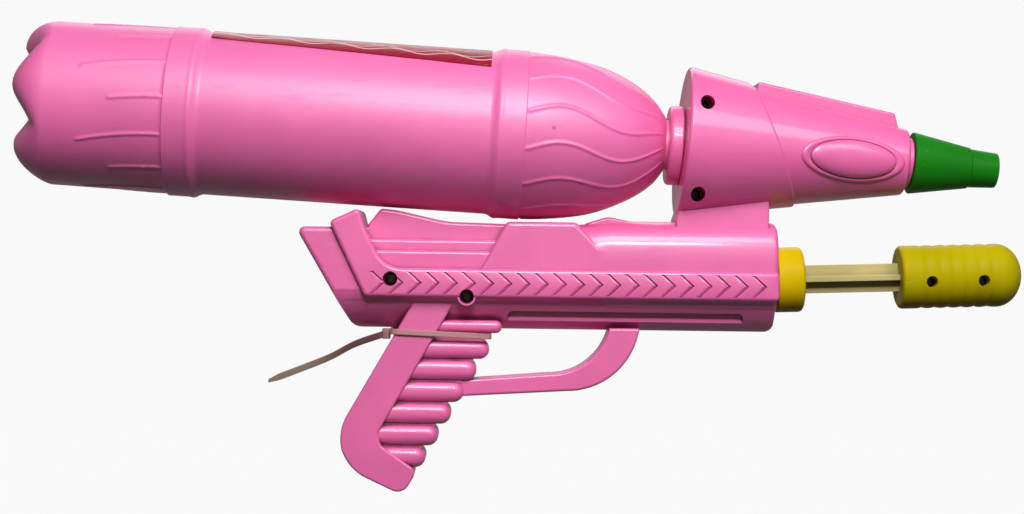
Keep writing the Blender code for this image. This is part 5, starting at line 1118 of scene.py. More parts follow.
def column_outline():
    """Column that carries the head on the housing."""
    top = BOTTLE_ORIGIN[1] - HEAD_FRONT_RADIUS
    return [(COLUMN_REAR, HOUSING_MIDDLE), (COLUMN_FRONT, HOUSING_MIDDLE), (COLUMN_FRONT, top),
            (COLUMN_REAR + WALL * 3, top), (COLUMN_REAR, BOTTLE_ORIGIN[1] - COLLAR_RADIUS + COLUMN_LAP)]


def shell_outside(look):
    """Outside of the right half. Each slab goes past the parting plane by its own amount, so no ends meet."""
    rim, facets = look.rim_steps, look.facets
    shell = slab("shell_outside", chassis_outline(), -CHASSIS_HALF, PAST, CHASSIS_RIM, rim + 1)
    keep_common(shell, belly_bar("belly", 0.0, RECEIVER_BOTTOM, facets // 3))
    low, high = BAND_BOTTOM - BAND_SKIRT, BAND_BOTTOM + BAND_RIM * 0.5
    slope = [(0, low), (-belly_half(low) + PAST, low), (-BAND_HALF + BAND_RIM, high), (0, high)]
    steps = [slab(f"step_{i}", step_outline(top), -half, PAST * (1.3 + 0.1 * i), STEP_RIM, rim)
             for i, (top, half) in enumerate(zip(STEP_TOPS, STEP_HALVES))]
    ribs = [rib_solid(i) for i in range(RIB_COUNT)]
    head = [moved(piece, HEAD_FRAME) for piece in (
        head_cone("head_cone", 0.0, facets), head_collar(facets), head_ridge(), oval_pad())]
    return join(
        shell,
        slab("band", band_outline(), -BAND_HALF, PAST * 1.1, BAND_RIM, rim),
        bar_along_x("band_skirt", slope, BAND_LEG_FOOT + BAND_SKIRT, RECEIVER_FRONT - PAST),
        *steps,
        slab("flat_panel", flat_outline(), -FLAT_HALF, PAST * 1.6, FLAT_RIM, rim + 1),
        housing_solid("housing", 0.0, RECEIVER_FRONT - HOUSING_SETBACK, facets),
        slab("deck_bump", bump_outline(), -DECK_BUMP_HALF, PAST * 1.7, DECK_BUMP_RIM, rim),
        slab("column", column_outline(), -COLUMN_HALF, PAST * 1.8, COLUMN_RIM, rim),
        slab("strap", strap_outline(), -GRIP_HALF, PAST * 1.9, STRAP_RIM, rim),
        slab("core", core_outline(), -CORE_HALF, PAST * 2.0),
        *ribs,
        slab("guard", guard_outline(), -GUARD_HALF, PAST * 2.1, GUARD_RIM, rim),
        *head)


def shell_hollows(facets):
    """Solids of the space inside the right half."""
    front = RECEIVER_FRONT - WALL * 1.3
    sill = keep_common(block("sill_hollow", (RECEIVER_REAR, -BAND_HALF, RECEIVER_BOTTOM),
                             (front, PAST * 3, HOUSING_MIDDLE)),
                       belly_bar("sill_room", WALL, CHANNEL_TOP, facets // 6))
    channel = block("channel_hollow", (RECEIVER_REAR + PAST, -CHANNEL_HALF, RECEIVER_BOTTOM + WALL + GAP),
                    (front - PAST, PAST * 3.5, CHANNEL_TOP + PAST))
    fin = slab("fin_hollow", inset([
        FIN_TOP, (raked(FIN_TOP, FIN_RAKE, RECEIVER_BOTTOM), RECEIVER_BOTTOM),
        (RECEIVER_REAR + WALL * 2, RECEIVER_BOTTOM), (RECEIVER_REAR + WALL * 2, BAND_TOP),
        (NOTCH[0], FIN_TOP[1])], WALL * 1.2), -CHASSIS_HALF + WALL * 1.6, PAST * 3.1)
    keep_common(fin, belly_bar("fin_room", WALL * 1.3, CHANNEL_TOP - PAST, facets // 6))
    step = slab("step_hollow", inset(step_outline(None), WALL), -STEP_HALVES[0] + WALL, PAST * 3.2)
    housing = housing_solid("housing_hollow", WALL, front, facets)
    column = block("column_hollow", (COLUMN_REAR + WALL, -COLUMN_HALF + WALL, HOUSING_MIDDLE),
                   (COLUMN_FRONT - WALL, PAST * 3.3, BOTTLE_ORIGIN[1] - HEAD_FRONT_RADIUS * 0.6))
    grip = slab("grip_hollow", core_outline(WALL), -CORE_HALF + WALL, PAST * 3.4)
    head = moved(head_cone("head_hollow", WALL, facets), HEAD_FRAME)
    return [sill, channel, fin, step, housing, column, grip, head]


def screw_places():
    """World (x, z) of every screw through the shells, by name."""
    places = dict(BODY_SCREWS)
    for name, (along, up) in HEAD_SCREWS.items():
        spot = HEAD_FRAME @ Vector((along, 0, up))
        places[name] = (spot.x, spot.z)
    return places


def boss_end(name):
    """Half width out to which a screw's boss reaches, unless the head's wall ends it first."""
    return BAND_HALF - BAND_RIM * 0.5 if name in BODY_SCREWS else COLLAR_RADIUS


def screw_boss(name, place, facets):
    """Round boss for a screw, which ends in the wall of the receiver or of the head."""
    boss = side_bar("boss", place, PAST, -boss_end(name), BOSS_RADIUS)
    if name in HEAD_SCREWS:
        keep_common(boss, moved(head_cone("boss_end", WALL * 0.4, facets), HEAD_FRAME))
    return boss


def chevrons(depth):
    """Row of arrow grooves along the band as one cutter: a long slope behind, a short one ahead."""
    low, high = BAND_BOTTOM + CHEVRON_MARGIN, BAND_TOP - CHEVRON_MARGIN
    middle = (low + high) / 2
    outside = -BAND_HALF - CHEVRON_MARGIN
    reach = (depth + CHEVRON_MARGIN) / depth
    lines = ((-CHEVRON_LONG_SLOPE * reach, outside), (0, -BAND_HALF + depth),
             (CHEVRON_SHORT_SLOPE * reach, outside))
    work = bmesh.new()
    for i in range(CHEVRON_COUNT):
        x = CHEVRON_FIRST + CHEVRON_PITCH * i
        spine = [(x, high), (x + CHEVRON_REACH, middle), (x, low)]
        near, floor, far = [[work.verts.new((px + shift, y, pz)) for px, pz in spine] for shift, y in lines]
        for k in (0, 1):
            for side, other in ((near, floor), (floor, far), (far, near)):
                work.faces.new((side[k], side[k + 1], other[k + 1], other[k]))
        for k in (0, 2):
            work.faces.new((near[k], floor[k], far[k]))
    return solid_from(work, "chevrons")


def sill_groove():
    """Long groove with round ends in the sill."""
    half = SILL_GROOVE_HEIGHT / 2
    rear, front = SILL_GROOVE[0] + half, SILL_GROOVE[1] - half
    middle = SILL_GROOVE_MIDDLE
    outline = arc((front, middle), half, -90, 90, 16) + arc((rear, middle), half, 90, 270, 16)
    return slab("sill_groove", outline, -SILL_GROOVE_FLOOR, -CHASSIS_HALF - PAST)


def saddles():
    """Cradles in the shell that carry the pump cylinder from below."""
    pieces = []
    side = belly_half(CHANNEL_TOP) - WALL * 0.5
    for along in SADDLES:
        low = PUMP_FRAME.inverted() @ Vector((RECEIVER_FRONT + along, 0, CHANNEL_TOP - WALL * 0.5))
        pieces.append(moved(block("saddle", (along - SADDLE_WIDTH / 2, -side, low.z),
                                  (along + SADDLE_WIDTH / 2, PAST, 0)), PUMP_FRAME))
    return pieces


def screw_holes(place, seat, bite, outside, counterbore, shank):
    """Cutters for a screw: counterbore and clearance hole for the right half, pilot hole for the left one."""
    deep = [side_bar("counterbore", place, -seat, -outside, counterbore),
            side_bar("clearance", place, PAST, -seat - PAST, shank + GAP)]
    return deep, [side_bar("pilot", place, -PAST, bite + PAST, shank + GAP)]


def half_shell(look):
    """Right half with its hollow, bosses, cradles and openings, before the screw holes."""
    facets = look.facets
    shell = cut(shell_outside(look), *shell_hollows(facets // 2))
    bosses = [screw_boss(name, place, facets) for name, place in screw_places().items()]
    join(shell, *bosses, *saddles())
    reach = HEAD_LENGTH * 3
    other_half = block("other_half", (-reach, -SEAM / 2, -reach), (reach * 2, reach, reach * 2))
    before, rear_wall = HEAD_REAR - PAST * 2, HEAD_REAR + WALL + GAP
    socket = turned("socket_hole", [
        (before, 0), (before, SOCKET_RADIUS + GAP), (rear_wall, SOCKET_RADIUS + GAP),
        (rear_wall, SOCKET_LIP + GAP), (SOCKET_END + GAP, SOCKET_LIP + GAP), (SOCKET_END + GAP, 0)], facets)
    pipe = turned("pipe_hole", plug(HEAD_LENGTH - WALL - PAST, HEAD_LENGTH + PAST, PIPE_WAIST + GAP), facets)
    pump = turned("pump_hole", plug(CYLINDER_REAR - PAST, PAST * 3, CYLINDER_RADIUS + GAP), facets)
    return cut(shell, other_half, moved(socket, BOTTLE_FRAME), moved(pipe, HEAD_FRAME),
               moved(pump, PUMP_FRAME), chevrons(look.groove), sill_groove())


def body_halves(look):
    """Both body halves: the left one is the right one's mirror image with blind screw holes."""
    right = half_shell(look)
    right.name = "right_moulding"
    left = mirrored(right, "left_moulding")
    for name, place in screw_places().items():
        outside = boss_end(name) + COLLAR_RADIUS
        deep, pilot = screw_holes(place, SEAT_DEPTH, SCREW_BITE, outside, COUNTERBORE, SCREW_SHANK)
        cut(right, *deep)
        cut(left, *pilot)
    return right, left


# Bottle


def nose_start():
    """Place of the front ring's front edge, where the nose begins."""
    reach = math.sqrt(1 - ((NECK_RADIUS + GAP * 4) / NOSE_RADIUS) ** 2)
    return SHOULDER - NOSE_LENGTH * reach


def on_bottle(along, radius, angle):
    """Point of the bottle at an angle in degrees, counted up from the right side."""
    a = math.radians(angle)
    return Vector((along, -radius * math.cos(a), radius * math.sin(a)))


def base_depth(radius, angle):
    """How far the base reaches below the heel: feet between shallow valleys."""
    if radius > FOOT_RADIUS:
        share = (radius - FOOT_RADIUS) / (CUP_END_RADIUS - FOOT_RADIUS)
        round_off = math.sqrt(max(0.0, 1 - share ** 2))
        foot, valley = BASE_DEPTH * round_off, VALLEY_DEPTH * round_off
    else:
        share = (radius / FOOT_RADIUS) ** 2
        foot, valley = [BASE_CROWN + (depth - BASE_CROWN) * share for depth in (BASE_DEPTH, VALLEY_DEPTH)]
    weight = (0.5 + 0.5 * math.cos(BASE_LOBES * math.radians(angle - LOBE_TURN))) ** LOBE_FULLNESS
    return valley + (foot - valley) * weight


def rib_height(angle, pitch, radius, shares):
    """Height share of the embossed ribs at an angle, where the shares are for even and odd ribs."""
    slot = math.floor(angle / pitch)
    offset = math.radians(angle - (slot + 0.5) * pitch) * radius
    return shares[slot % 2] * math.exp(-(offset / EMBOSS_WIDTH) ** 2)


def ease(t):
    """Soft step from 0 to 1 while t goes from 0 to 1."""
    t = min(1.0, max(0.0, t))
    return t * t * (3 - 2 * t)


NO_RIBS = (0, 0)


def raised_ring(end, barrel, radius, sway, inward):
    """Sections over a raised ring, from its steep edge at the end to its bead on the barrel."""
    sections = [(end + inward * RING_EDGE * drop, radius + (RING_RADIUS - radius) * height, sway, NO_RIBS)
                for drop, height in RING_EDGE_SHAPE]
    bead_steps = 12
    for k in range(bead_steps + 1):
        t = k / bead_steps
        crown = math.sin(math.pi * min(1, t * RING_CROWN_SPREAD)) * RING_CROWN
        fall = ease((t - RING_BEAD_START) / (1 - RING_BEAD_START))
        top = RING_RADIUS + (BOTTLE_RADIUS - RING_RADIUS) * fall + crown
        sections.append((barrel - inward * RING_BEAD * (1 - t), top, sway, NO_RIBS))
    return sections


def bottle_rings():
    """Outside of the bottle from mouth to heel: place, radius, sway of the ribs, shares of their height."""
    start = nose_start()
    rear = start - RING_WIDTH
    second = rear - BARREL_LENGTH
    cup = second - RING_WIDTH
    turn = -EMBOSS_CUP_TURN
    rings = [(NECK_END, NECK_RADIUS - MOUTH_RIM, 0, NO_RIBS), (NECK_END - MOUTH_RIM, NECK_RADIUS, 0, NO_RIBS),
             (SHOULDER, NECK_RADIUS, 0, NO_RIBS)]
    nose_steps = 84
    last = math.asin((SHOULDER - start) / NOSE_LENGTH)
    for k in range(nose_steps + 1):
        angle = last * (1 - k / nose_steps)
        done = NOSE_LENGTH * math.sin(angle)
        swing = (EMBOSS_SWING_START + EMBOSS_SWING_GAIN * done / EMBOSS_SWING_RUN) * EMBOSS_SWAY
        sway = swing * math.sin(2 * math.pi * done / EMBOSS_WAVE)
        share = ease((SHOULDER - start - done) / EMBOSS_NECK_FADE) * ease(done / EMBOSS_RING_FADE)
        rings.append((start + done, NOSE_RADIUS * math.cos(angle), sway, (share, share)))
    rings += raised_ring(start, rear, NOSE_RADIUS, 0, -1)
    rings += [(rear - BARREL_LENGTH * k / 8, BOTTLE_RADIUS, 0, NO_RIBS) for k in range(1, 8)]
    rings += raised_ring(cup, second, CUP_RADIUS, turn, 1)[::-1]
    cup_steps = 66
    for k in range(1, cup_steps + 1):
        done = CUP_LENGTH * k / cup_steps
        radius = CUP_RADIUS + (CUP_END_RADIUS - CUP_RADIUS) * done / CUP_LENGTH
        sway = turn - EMBOSS_CUP_SWAY * min(1, done / EMBOSS_LONG) ** 2
        shares = tuple(ease(done / EMBOSS_CUP_FADE) * ease((length - done) / EMBOSS_END_FADE)
                       for length in (EMBOSS_SHORT, EMBOSS_LONG))
        rings.append((cup - done, radius, sway, shares))
    return rings


def bottle_inside(heel):
    """Profile of the space inside the bottle, from the base to the mouth."""
    start = nose_start()
    bore = NECK_RADIUS - NECK_WALL
    inner_radius, inner_length = NOSE_RADIUS - BOTTLE_WALL, NOSE_LENGTH - BOTTLE_WALL
    profile = [(NECK_END, bore), (SHOULDER - NECK_WALL, bore)]
    nose_steps = 12
    first = math.acos((bore + BOTTLE_WALL) / inner_radius)
    for k in range(nose_steps + 1):
        angle = first * (1 - k / nose_steps)
        profile.append((start + inner_length * math.sin(angle), inner_radius * math.cos(angle)))
    rear = start - RING_WIDTH
    barrel = BOTTLE_RADIUS - BOTTLE_WALL
    cup_end = CUP_END_RADIUS - BOTTLE_WALL
    profile += [(rear, barrel), (rear - BARREL_LENGTH, barrel), (heel + BASE_CROWN * 0.5, cup_end),
                (heel + BOTTLE_WALL, cup_end * 0.8), (heel - BASE_CROWN * 0.4, cup_end * 0.4),
                (heel - BASE_CROWN + BOTTLE_WALL * 2, 0)]
    return profile[::-1]


def blown_bottle(look):
    """Blown bottle: neck, fluted nose, two rings, ribbed cup and a footed base, hollow from the mouth."""
    pitch = 360 / EMBOSS_COUNT
    columns = look.facets
    angles = [360 * k / columns + MOULD_SEAM for k in range(columns)]
    seams = (0, columns // 2)
    rows = []
    stations = bottle_rings()
    for along, radius, sway, shares in stations:
        row = []
        for k, angle in enumerate(angles):
            rise = look.emboss * rib_height(angle - sway, pitch, radius, shares)
            if k in seams:
                rise += MOULD_SEAM_RISE
            row.append(on_bottle(along, radius + rise, angle))
        rows.append(row)
    heel, heel_radius = stations[-1][0], stations[-1][1]
    base_steps = 54
    for k in range(1, base_steps):
        radius = heel_radius * math.cos(math.pi / 2 * k / base_steps)
        rows.append([on_bottle(heel - base_depth(radius, angle), radius, angle) for angle in angles])
    rows.append([(heel - base_depth(0, 0), 0, 0)])
    for along, radius in bottle_inside(heel):
        rows.append([on_bottle(along, radius, angle) for angle in angles] if radius else [(along, 0, 0)])
    return moved(skinned("blown_bottle", rows), BOTTLE_FRAME)


def label_film():
    """Thin film stuck on the top of the bottle, a little askew, lifting at its lower rear corner."""
    front = nose_start() - RING_WIDTH - LABEL_INSET
    rear = front - BARREL_LENGTH + LABEL_INSET * 2
    along_steps, round_steps = 150, 60
    work = bmesh.new()
    layer = work.loops.layers.uv.new("film")
    sheets, places = [], {}
    for side in (0, 1):
        sheet = []
        for i in range(along_steps + 1):
            u = i / along_steps
            low = LABEL_LOW_REAR + (LABEL_LOW_FRONT - LABEL_LOW_REAR) * u
            row = []
            for j in range(round_steps + 1):
                v = j / round_steps
                ripple = max(0, noise.noise(Vector((u * 16, v * 9, 3.1))) * LABEL_RIPPLE)
                to_rear = ease((LABEL_CURL_LENGTH - u) / LABEL_CURL_LENGTH)
                to_low = ease((LABEL_CURL_WIDTH - v) / LABEL_CURL_WIDTH)
                lift = ripple + to_rear * to_low * LABEL_CURL
                radius = BOTTLE_RADIUS + GAP + side * LABEL_THICKNESS * 0.7 + lift
                vert = work.verts.new(on_bottle(rear + (front - rear) * u, radius, low + LABEL_SPAN * v))
                places[vert] = (u, v)
                row.append(vert)
            sheet.append(row)
        sheets.append(sheet)
    inner, outer = sheets
    for i in range(along_steps):
        for j in range(round_steps):
            for sheet in sheets:
                work.faces.new((sheet[i][j], sheet[i + 1][j], sheet[i + 1][j + 1], sheet[i][j + 1]))
    for j in range(round_steps):
        for i in (0, along_steps):
            work.faces.new((inner[i][j], inner[i][j + 1], outer[i][j + 1], outer[i][j]))
    for i in range(along_steps):
        for j in (0, round_steps):
            work.faces.new((inner[i][j], inner[i + 1][j], outer[i + 1][j], outer[i][j]))
    for face in work.faces:
        for loop in face.loops:
            loop[layer].uv = places[loop.vert]
    return moved(solid_from(work, "label_film"), BOTTLE_FRAME)


# Head fittings, pump and small pieces


def socket_piece(facets):
    """Plain socket for the bottle's neck, with an elbow down to the feed hose."""
    bore = NECK_RADIUS + GAP * 1.5
    wall = SOCKET_END - SOCKET_END_WALL
    face = HEAD_REAR - SOCKET_STAND_OFF
    lip = HEAD_REAR + WALL + GAP * 1.5
    rim = lip + SOCKET_LIP_WIDTH
    spigot = wall - TUBE_SPIGOT_LENGTH
    elbow = SOCKET_END + ELBOW_LENGTH
    elbow_wall = elbow - SOCKET_END_WALL
    corners = [
        (spigot, PORT_BORE, 0), (spigot, TUBE_SPIGOT, 0), (wall, TUBE_SPIGOT, 0), (wall, bore, 0),
        (SOCKET_REAR, bore, 0.6 * MM), (SOCKET_REAR, SOCKET_FLANGE, 2.0 * MM),
        (face, SOCKET_FLANGE, 0.8 * MM), (face, SOCKET_RADIUS, 0), (lip, SOCKET_RADIUS, 0),
        (lip, SOCKET_LIP, 0), (rim, SOCKET_LIP, 0), (rim, SOCKET_RADIUS, 0),
        (SOCKET_END, SOCKET_RADIUS, 0), (SOCKET_END, ELBOW_RADIUS, 0),
        (elbow, ELBOW_RADIUS, 0.6 * MM), (elbow, 0, 0), (elbow_wall, 0, 0), (elbow_wall, PORT_BORE, 0)]
    socket = turned("neck_socket", rounded(corners, 6), facets)
    middle = SOCKET_END + ELBOW_LENGTH / 2
    drop = -ELBOW_RADIUS - BARB_LENGTH
    join(socket, rod("barb", (middle, 0, -PORT_BORE * 1.5), (middle, 0, drop), BARB_RADIUS, 24))
    cut(socket, rod("barb_bore", (middle, 0, 0), (middle, 0, drop - PAST), BARB_BORE, 24))
    return moved(socket, BOTTLE_FRAME)


def pipe_piece(facets):
    """Pipe trapped in the head's front wall, with a barb behind and a stub for the nozzle."""
    lip_front = HEAD_LENGTH - WALL - GAP
    lip_rear = lip_front - PIPE_LIP_WIDTH
    barb = lip_rear - PIPE_BARB_LENGTH
    ring = HEAD_LENGTH + GAP
    ring_front = ring + PIPE_RING_WIDTH
    corners = [
        (barb, BARB_BORE, 0), (PIPE_STUB_END, BARB_BORE, 0), (PIPE_STUB_END, PIPE_STUB, 0.5 * MM),
        (ring_front, PIPE_STUB, 0), (ring_front, PIPE_RING, 0.5 * MM), (ring, PIPE_RING, 0.5 * MM),
        (ring, PIPE_WAIST, 0), (lip_front, PIPE_WAIST, 0), (lip_front, PIPE_LIP, 0), (lip_rear, PIPE_LIP, 0),
        (lip_rear, BARB_RADIUS, 0), (barb, BARB_RADIUS, 0.3 * MM)]
    return moved(turned("jet_pipe", rounded(corners, 4), facets), HEAD_FRAME)


def nozzle_piece(facets):
    """Tapered nozzle pushed over the outlet pipe."""
    rear = HEAD_LENGTH + GAP + PIPE_RING_WIDTH + GAP
    waist = rear + NOZZLE_TAPER
    tip = waist + NOZZLE_TIP
    end = PIPE_STUB_END + GAP * 2
    throat = tip - NOZZLE_ORIFICE_LENGTH
    corners = [
        (rear, PIPE_STUB + GAP, 0), (end, PIPE_STUB + GAP, 0), (end, NOZZLE_CHANNEL, 0),
        (throat, NOZZLE_CHANNEL, 0), (throat, NOZZLE_ORIFICE, 0), (tip, NOZZLE_ORIFICE, 0.3 * MM),
        (tip, NOZZLE_TIP_RADIUS, NOZZLE_RIM), (waist + NOZZLE_STEP, NOZZLE_NECK - NOZZLE_STEP, 0.2 * MM),
        (waist, NOZZLE_NECK, 0.4 * MM), (rear, NOZZLE_RADIUS, NOZZLE_RIM)]
    return moved(turned("jet_nozzle", rounded(corners, 6), facets), HEAD_FRAME)


def gland_piece(facets):
    """Screw cap on the front of the cylinder that guides the rod."""
    bore = CYLINDER_RADIUS + GAP * 1.3
    wall = GLAND_LENGTH - GLAND_WALL
    corners = [
        (GAP * 2, bore, 0), (wall, bore, 0), (wall, ROD_GUIDE, 0), (GLAND_LENGTH, ROD_GUIDE, 0.4 * MM),
        (GLAND_LENGTH, GLAND_RADIUS, GLAND_RIM), (GAP * 2, GLAND_RADIUS, 0.3 * MM)]
    return moved(turned("gland", rounded(corners, 8), facets), PUMP_FRAME)


def rod_piece(facets):
    """Cross-shaped rod with the piston's discs behind and a flat tongue in the handle."""
    half, web = ROD_SIZE / 2, ROD_WEB / 2
    cross = [(-web, -half), (web, -half), (web, -web), (half, -web), (half, web), (web, web),
             (web, half), (-web, half), (-web, web), (-half, web), (-half, -web), (-web, -web)]
    section = rounded([(y, z, ROD_ROUND) for y, z in cross], 4)
    groove = PISTON_REAR + PISTON_DISC
    front = groove + PISTON_GROOVE
    head = front + PISTON_DISC
    piston = turned("cross_rod", [
        (PISTON_REAR, 0), (PISTON_REAR, PISTON_RADIUS), (groove, PISTON_RADIUS), (groove, PISTON_CORE),
        (front, PISTON_CORE), (front, PISTON_RADIUS), (head, PISTON_RADIUS), (head, 0)], facets)
    stem = bar_along_x("stem", section, head - PISTON_DISC / 2, HANDLE_REAR + HANDLE_WALL + GAP)
    end = HANDLE_REAR + HANDLE_LENGTH - HANDLE_DOME - HANDLE_WALL
    tongue = block("tongue", (HANDLE_REAR, -web + GAP * 0.3, -half + GAP), (end, web - GAP * 0.3, half - GAP))
    join(piston, stem, tongue)
    spots = [(HANDLE_REAR + along, HANDLE_SCREW_DROP) for along in HANDLE_SCREWS.values()]
    holes = [side_bar("hole", spot, -half, half, HANDLE_SCREW_SHANK + GAP, 24) for spot in spots]
    return moved(cut(piston, *holes), PUMP_FRAME)


def handle_outside(scallop):
    """Outside of the handle: flat rear end, soft bands with valleys between them, and a domed front."""
    dome = HANDLE_LENGTH - HANDLE_DOME
    profile = [(0, 0)]
    for angle in quarter(6):
        radius = HANDLE_RADIUS - HANDLE_RIM * (1 - math.sin(angle))
        profile.append((HANDLE_RIM * (1 - math.cos(angle)), radius))
    first, last = HANDLE_BAND_FIRST, HANDLE_BAND_FIRST + HANDLE_BAND_PITCH * (HANDLE_BANDS - 1)
    steps = HANDLE_BANDS * 14
    for k in range(steps + 1):
        along = first - HANDLE_BAND_PITCH / 2 + (last - first + HANDLE_BAND_PITCH) * k / steps
        swing = abs(math.sin(math.pi * (along - first) / HANDLE_BAND_PITCH))
        profile.append((along, HANDLE_RADIUS - scallop * (1 - swing ** 0.75)))
    for angle in quarter(20):
        profile.append((dome + HANDLE_DOME * math.sin(angle), HANDLE_RADIUS * math.cos(angle)))
    profile[-1] = (HANDLE_LENGTH, 0)
    return profile


def handle_pieces(look):
    """Two halves of the handle, screwed together through the rod's tongue."""
    half = turned("handle_near", handle_outside(look.scallop), look.facets)
    room = HANDLE_RADIUS - HANDLE_WALL - look.scallop
    dome = HANDLE_LENGTH - HANDLE_DOME
    hollow = turned("handle_hollow", [(HANDLE_WALL, 0), (HANDLE_WALL, room), (dome, room),
                                      (HANDLE_LENGTH - HANDLE_WALL * 1.6, room * 0.55),
                                      (HANDLE_LENGTH - HANDLE_WALL * 1.2, 0)], 48)
    cut(half, hollow, turned("rod_hole", plug(-PAST, HANDLE_WALL + PAST, ROD_GUIDE), 64))
    reach = HANDLE_LENGTH * 2
    cut(half, block("other_half", (-reach, -SEAM / 2, -reach), (reach, reach, reach)))
    tongue = ROD_WEB / 2 + GAP
    spots = [(along, HANDLE_SCREW_DROP) for along in HANDLE_SCREWS.values()]
    join(half, *[side_bar("boss", spot, -tongue, -room - HANDLE_WALL * 0.4, HANDLE_BOSS) for spot in spots])
    left = mirrored(half, "handle_far")
    for spot in spots:
        deep, pilot = screw_holes(spot, HANDLE_SEAT_DEPTH, HANDLE_SCREW_BITE, HANDLE_RADIUS + PAST,
                                  HANDLE_COUNTERBORE, HANDLE_SCREW_SHANK)
        cut(half, *deep)
        cut(left, *pilot)
    return [moved(half, HANDLE_FRAME), moved(left, HANDLE_FRAME)]


def screw_piece(name, place, seat, bite, head, shank, carrier):
    """Pan-head screw along Y with a cross recess, driven in from the right."""
    under = -seat - GAP
    top = under - SCREW_HEAD_HEIGHT
    profile = rounded([(top, 0, 0), (top, head * SCREW_CROWN_SHARE, head * SCREW_CROWN_ROUND),
                       (under, head, 0.15 * MM), (under, shank, 0), (bite - shank, shank, 0),
                       (bite, 0, 0)], 5)
    screw = turned(name, profile, 40)
    slot, arm = head * RECESS_SLOT, head * RECESS_ARM
    for wide, tall in ((slot, arm), (arm, slot)):
        cut(screw, block("recess", (top - PAST, -wide, -tall), (top + RECESS_DEPTH, wide, tall)))
    return moved(screw, carrier @ Matrix.Translation((place[0], 0, place[1])) @ SIDEWAYS)


def tie_height(x):
    """Height of the tie's middle where it passes x: level with the valley under the top rib at the front."""
    front = (rib_edges(0)[0] + rib_edges(1)[1]) / 2
    return front + (rib_front(0)[0] - CORE_SETBACK - x) * TIE_SLOPE


def tie_loop(rear, front, half):
    """Loop of the tie round the grip, as a ring of sections with soft outer edges."""
    inner = rounded([(rear, -half, TIE_CORNER), (front, -half, TIE_CORNER), (front, half, TIE_CORNER),
                     (rear, half, TIE_CORNER)], 10)
    section = ((0, -0.5), (0.75, -0.5), (1, -0.38), (1, 0.38), (0.75, 0.5), (0, 0.5))
    rows = []
    for near, far in zip(inner, inset(inner, -TIE_THICKNESS)):
        z = min(tie_height(near[0]), RECEIVER_BOTTOM - GAP - TIE_WIDTH / 2)
        rows.append([(near[0] + (far[0] - near[0]) * share, near[1] + (far[1] - near[1]) * share,
                      z + side * TIE_WIDTH) for share, side in section])
    return skinned("nylon_tie", rows)


def tie_tail(start):
    """Tail of the tie, from inside its head out to the narrow end."""
    path = smooth_path([start] + [Vector(point) * MM for point in TIE_TAIL], TIE_TAIL_STEP)
    section = ((-1, -0.7), (-0.7, -1), (0.7, -1), (1, -0.7), (1, 0.7), (0.7, 1), (-0.7, 1), (-1, 0.7))
    rings = []
    for i, spot in enumerate(path):
        left = 1 - i / (len(path) - 1)
        narrow = 1 - TIE_TAIL_NARROWING * ease(1 - left / TIE_TAIL_POINT)
        thick, wide = TIE_THICKNESS / 2, TIE_TAIL_WIDTH / 2 * narrow
        rings.append([spot + Vector((0, thick * y, wide * z)) for y, z in section])
    return loft("tie_tail", rings)


def tie_piece():
    """Nylon tie looped round the top of the grip, with its head behind and its tail hanging out."""
    core_front = rib_front(0)[0] - CORE_SETBACK
    behind = STRAP_WIDTH / 2 / math.cos(math.radians(GRIP_RAKE)) + TIE_WIDTH * GRIP_LEAN + GAP
    rear = strap_middle(tie_height(STRAP_TOP[0])) - behind
    front = core_front - (RIB_FIRST[1] - tie_height(core_front) - TIE_WIDTH / 2) * GRIP_LEAN + GAP
    half = GRIP_HALF + GAP
    back = rear - TIE_THICKNESS * 0.5
    high = RECEIVER_BOTTOM - GAP
    side = -half * 0.5
    head = block("tie_head", (back - TIE_HEAD_DEPTH, side - TIE_HEAD / 2, high - TIE_HEAD),
                 (back, side + TIE_HEAD / 2, high))
    bevel_edges(head, lambda edge: True, TIE_HEAD_RIM, 3)
    start = Vector((back - TIE_HEAD_DEPTH * 0.6, side, high - TIE_HEAD / 2))
    return join(tie_loop(rear, front, half), head, tie_tail(start))


# Finishes


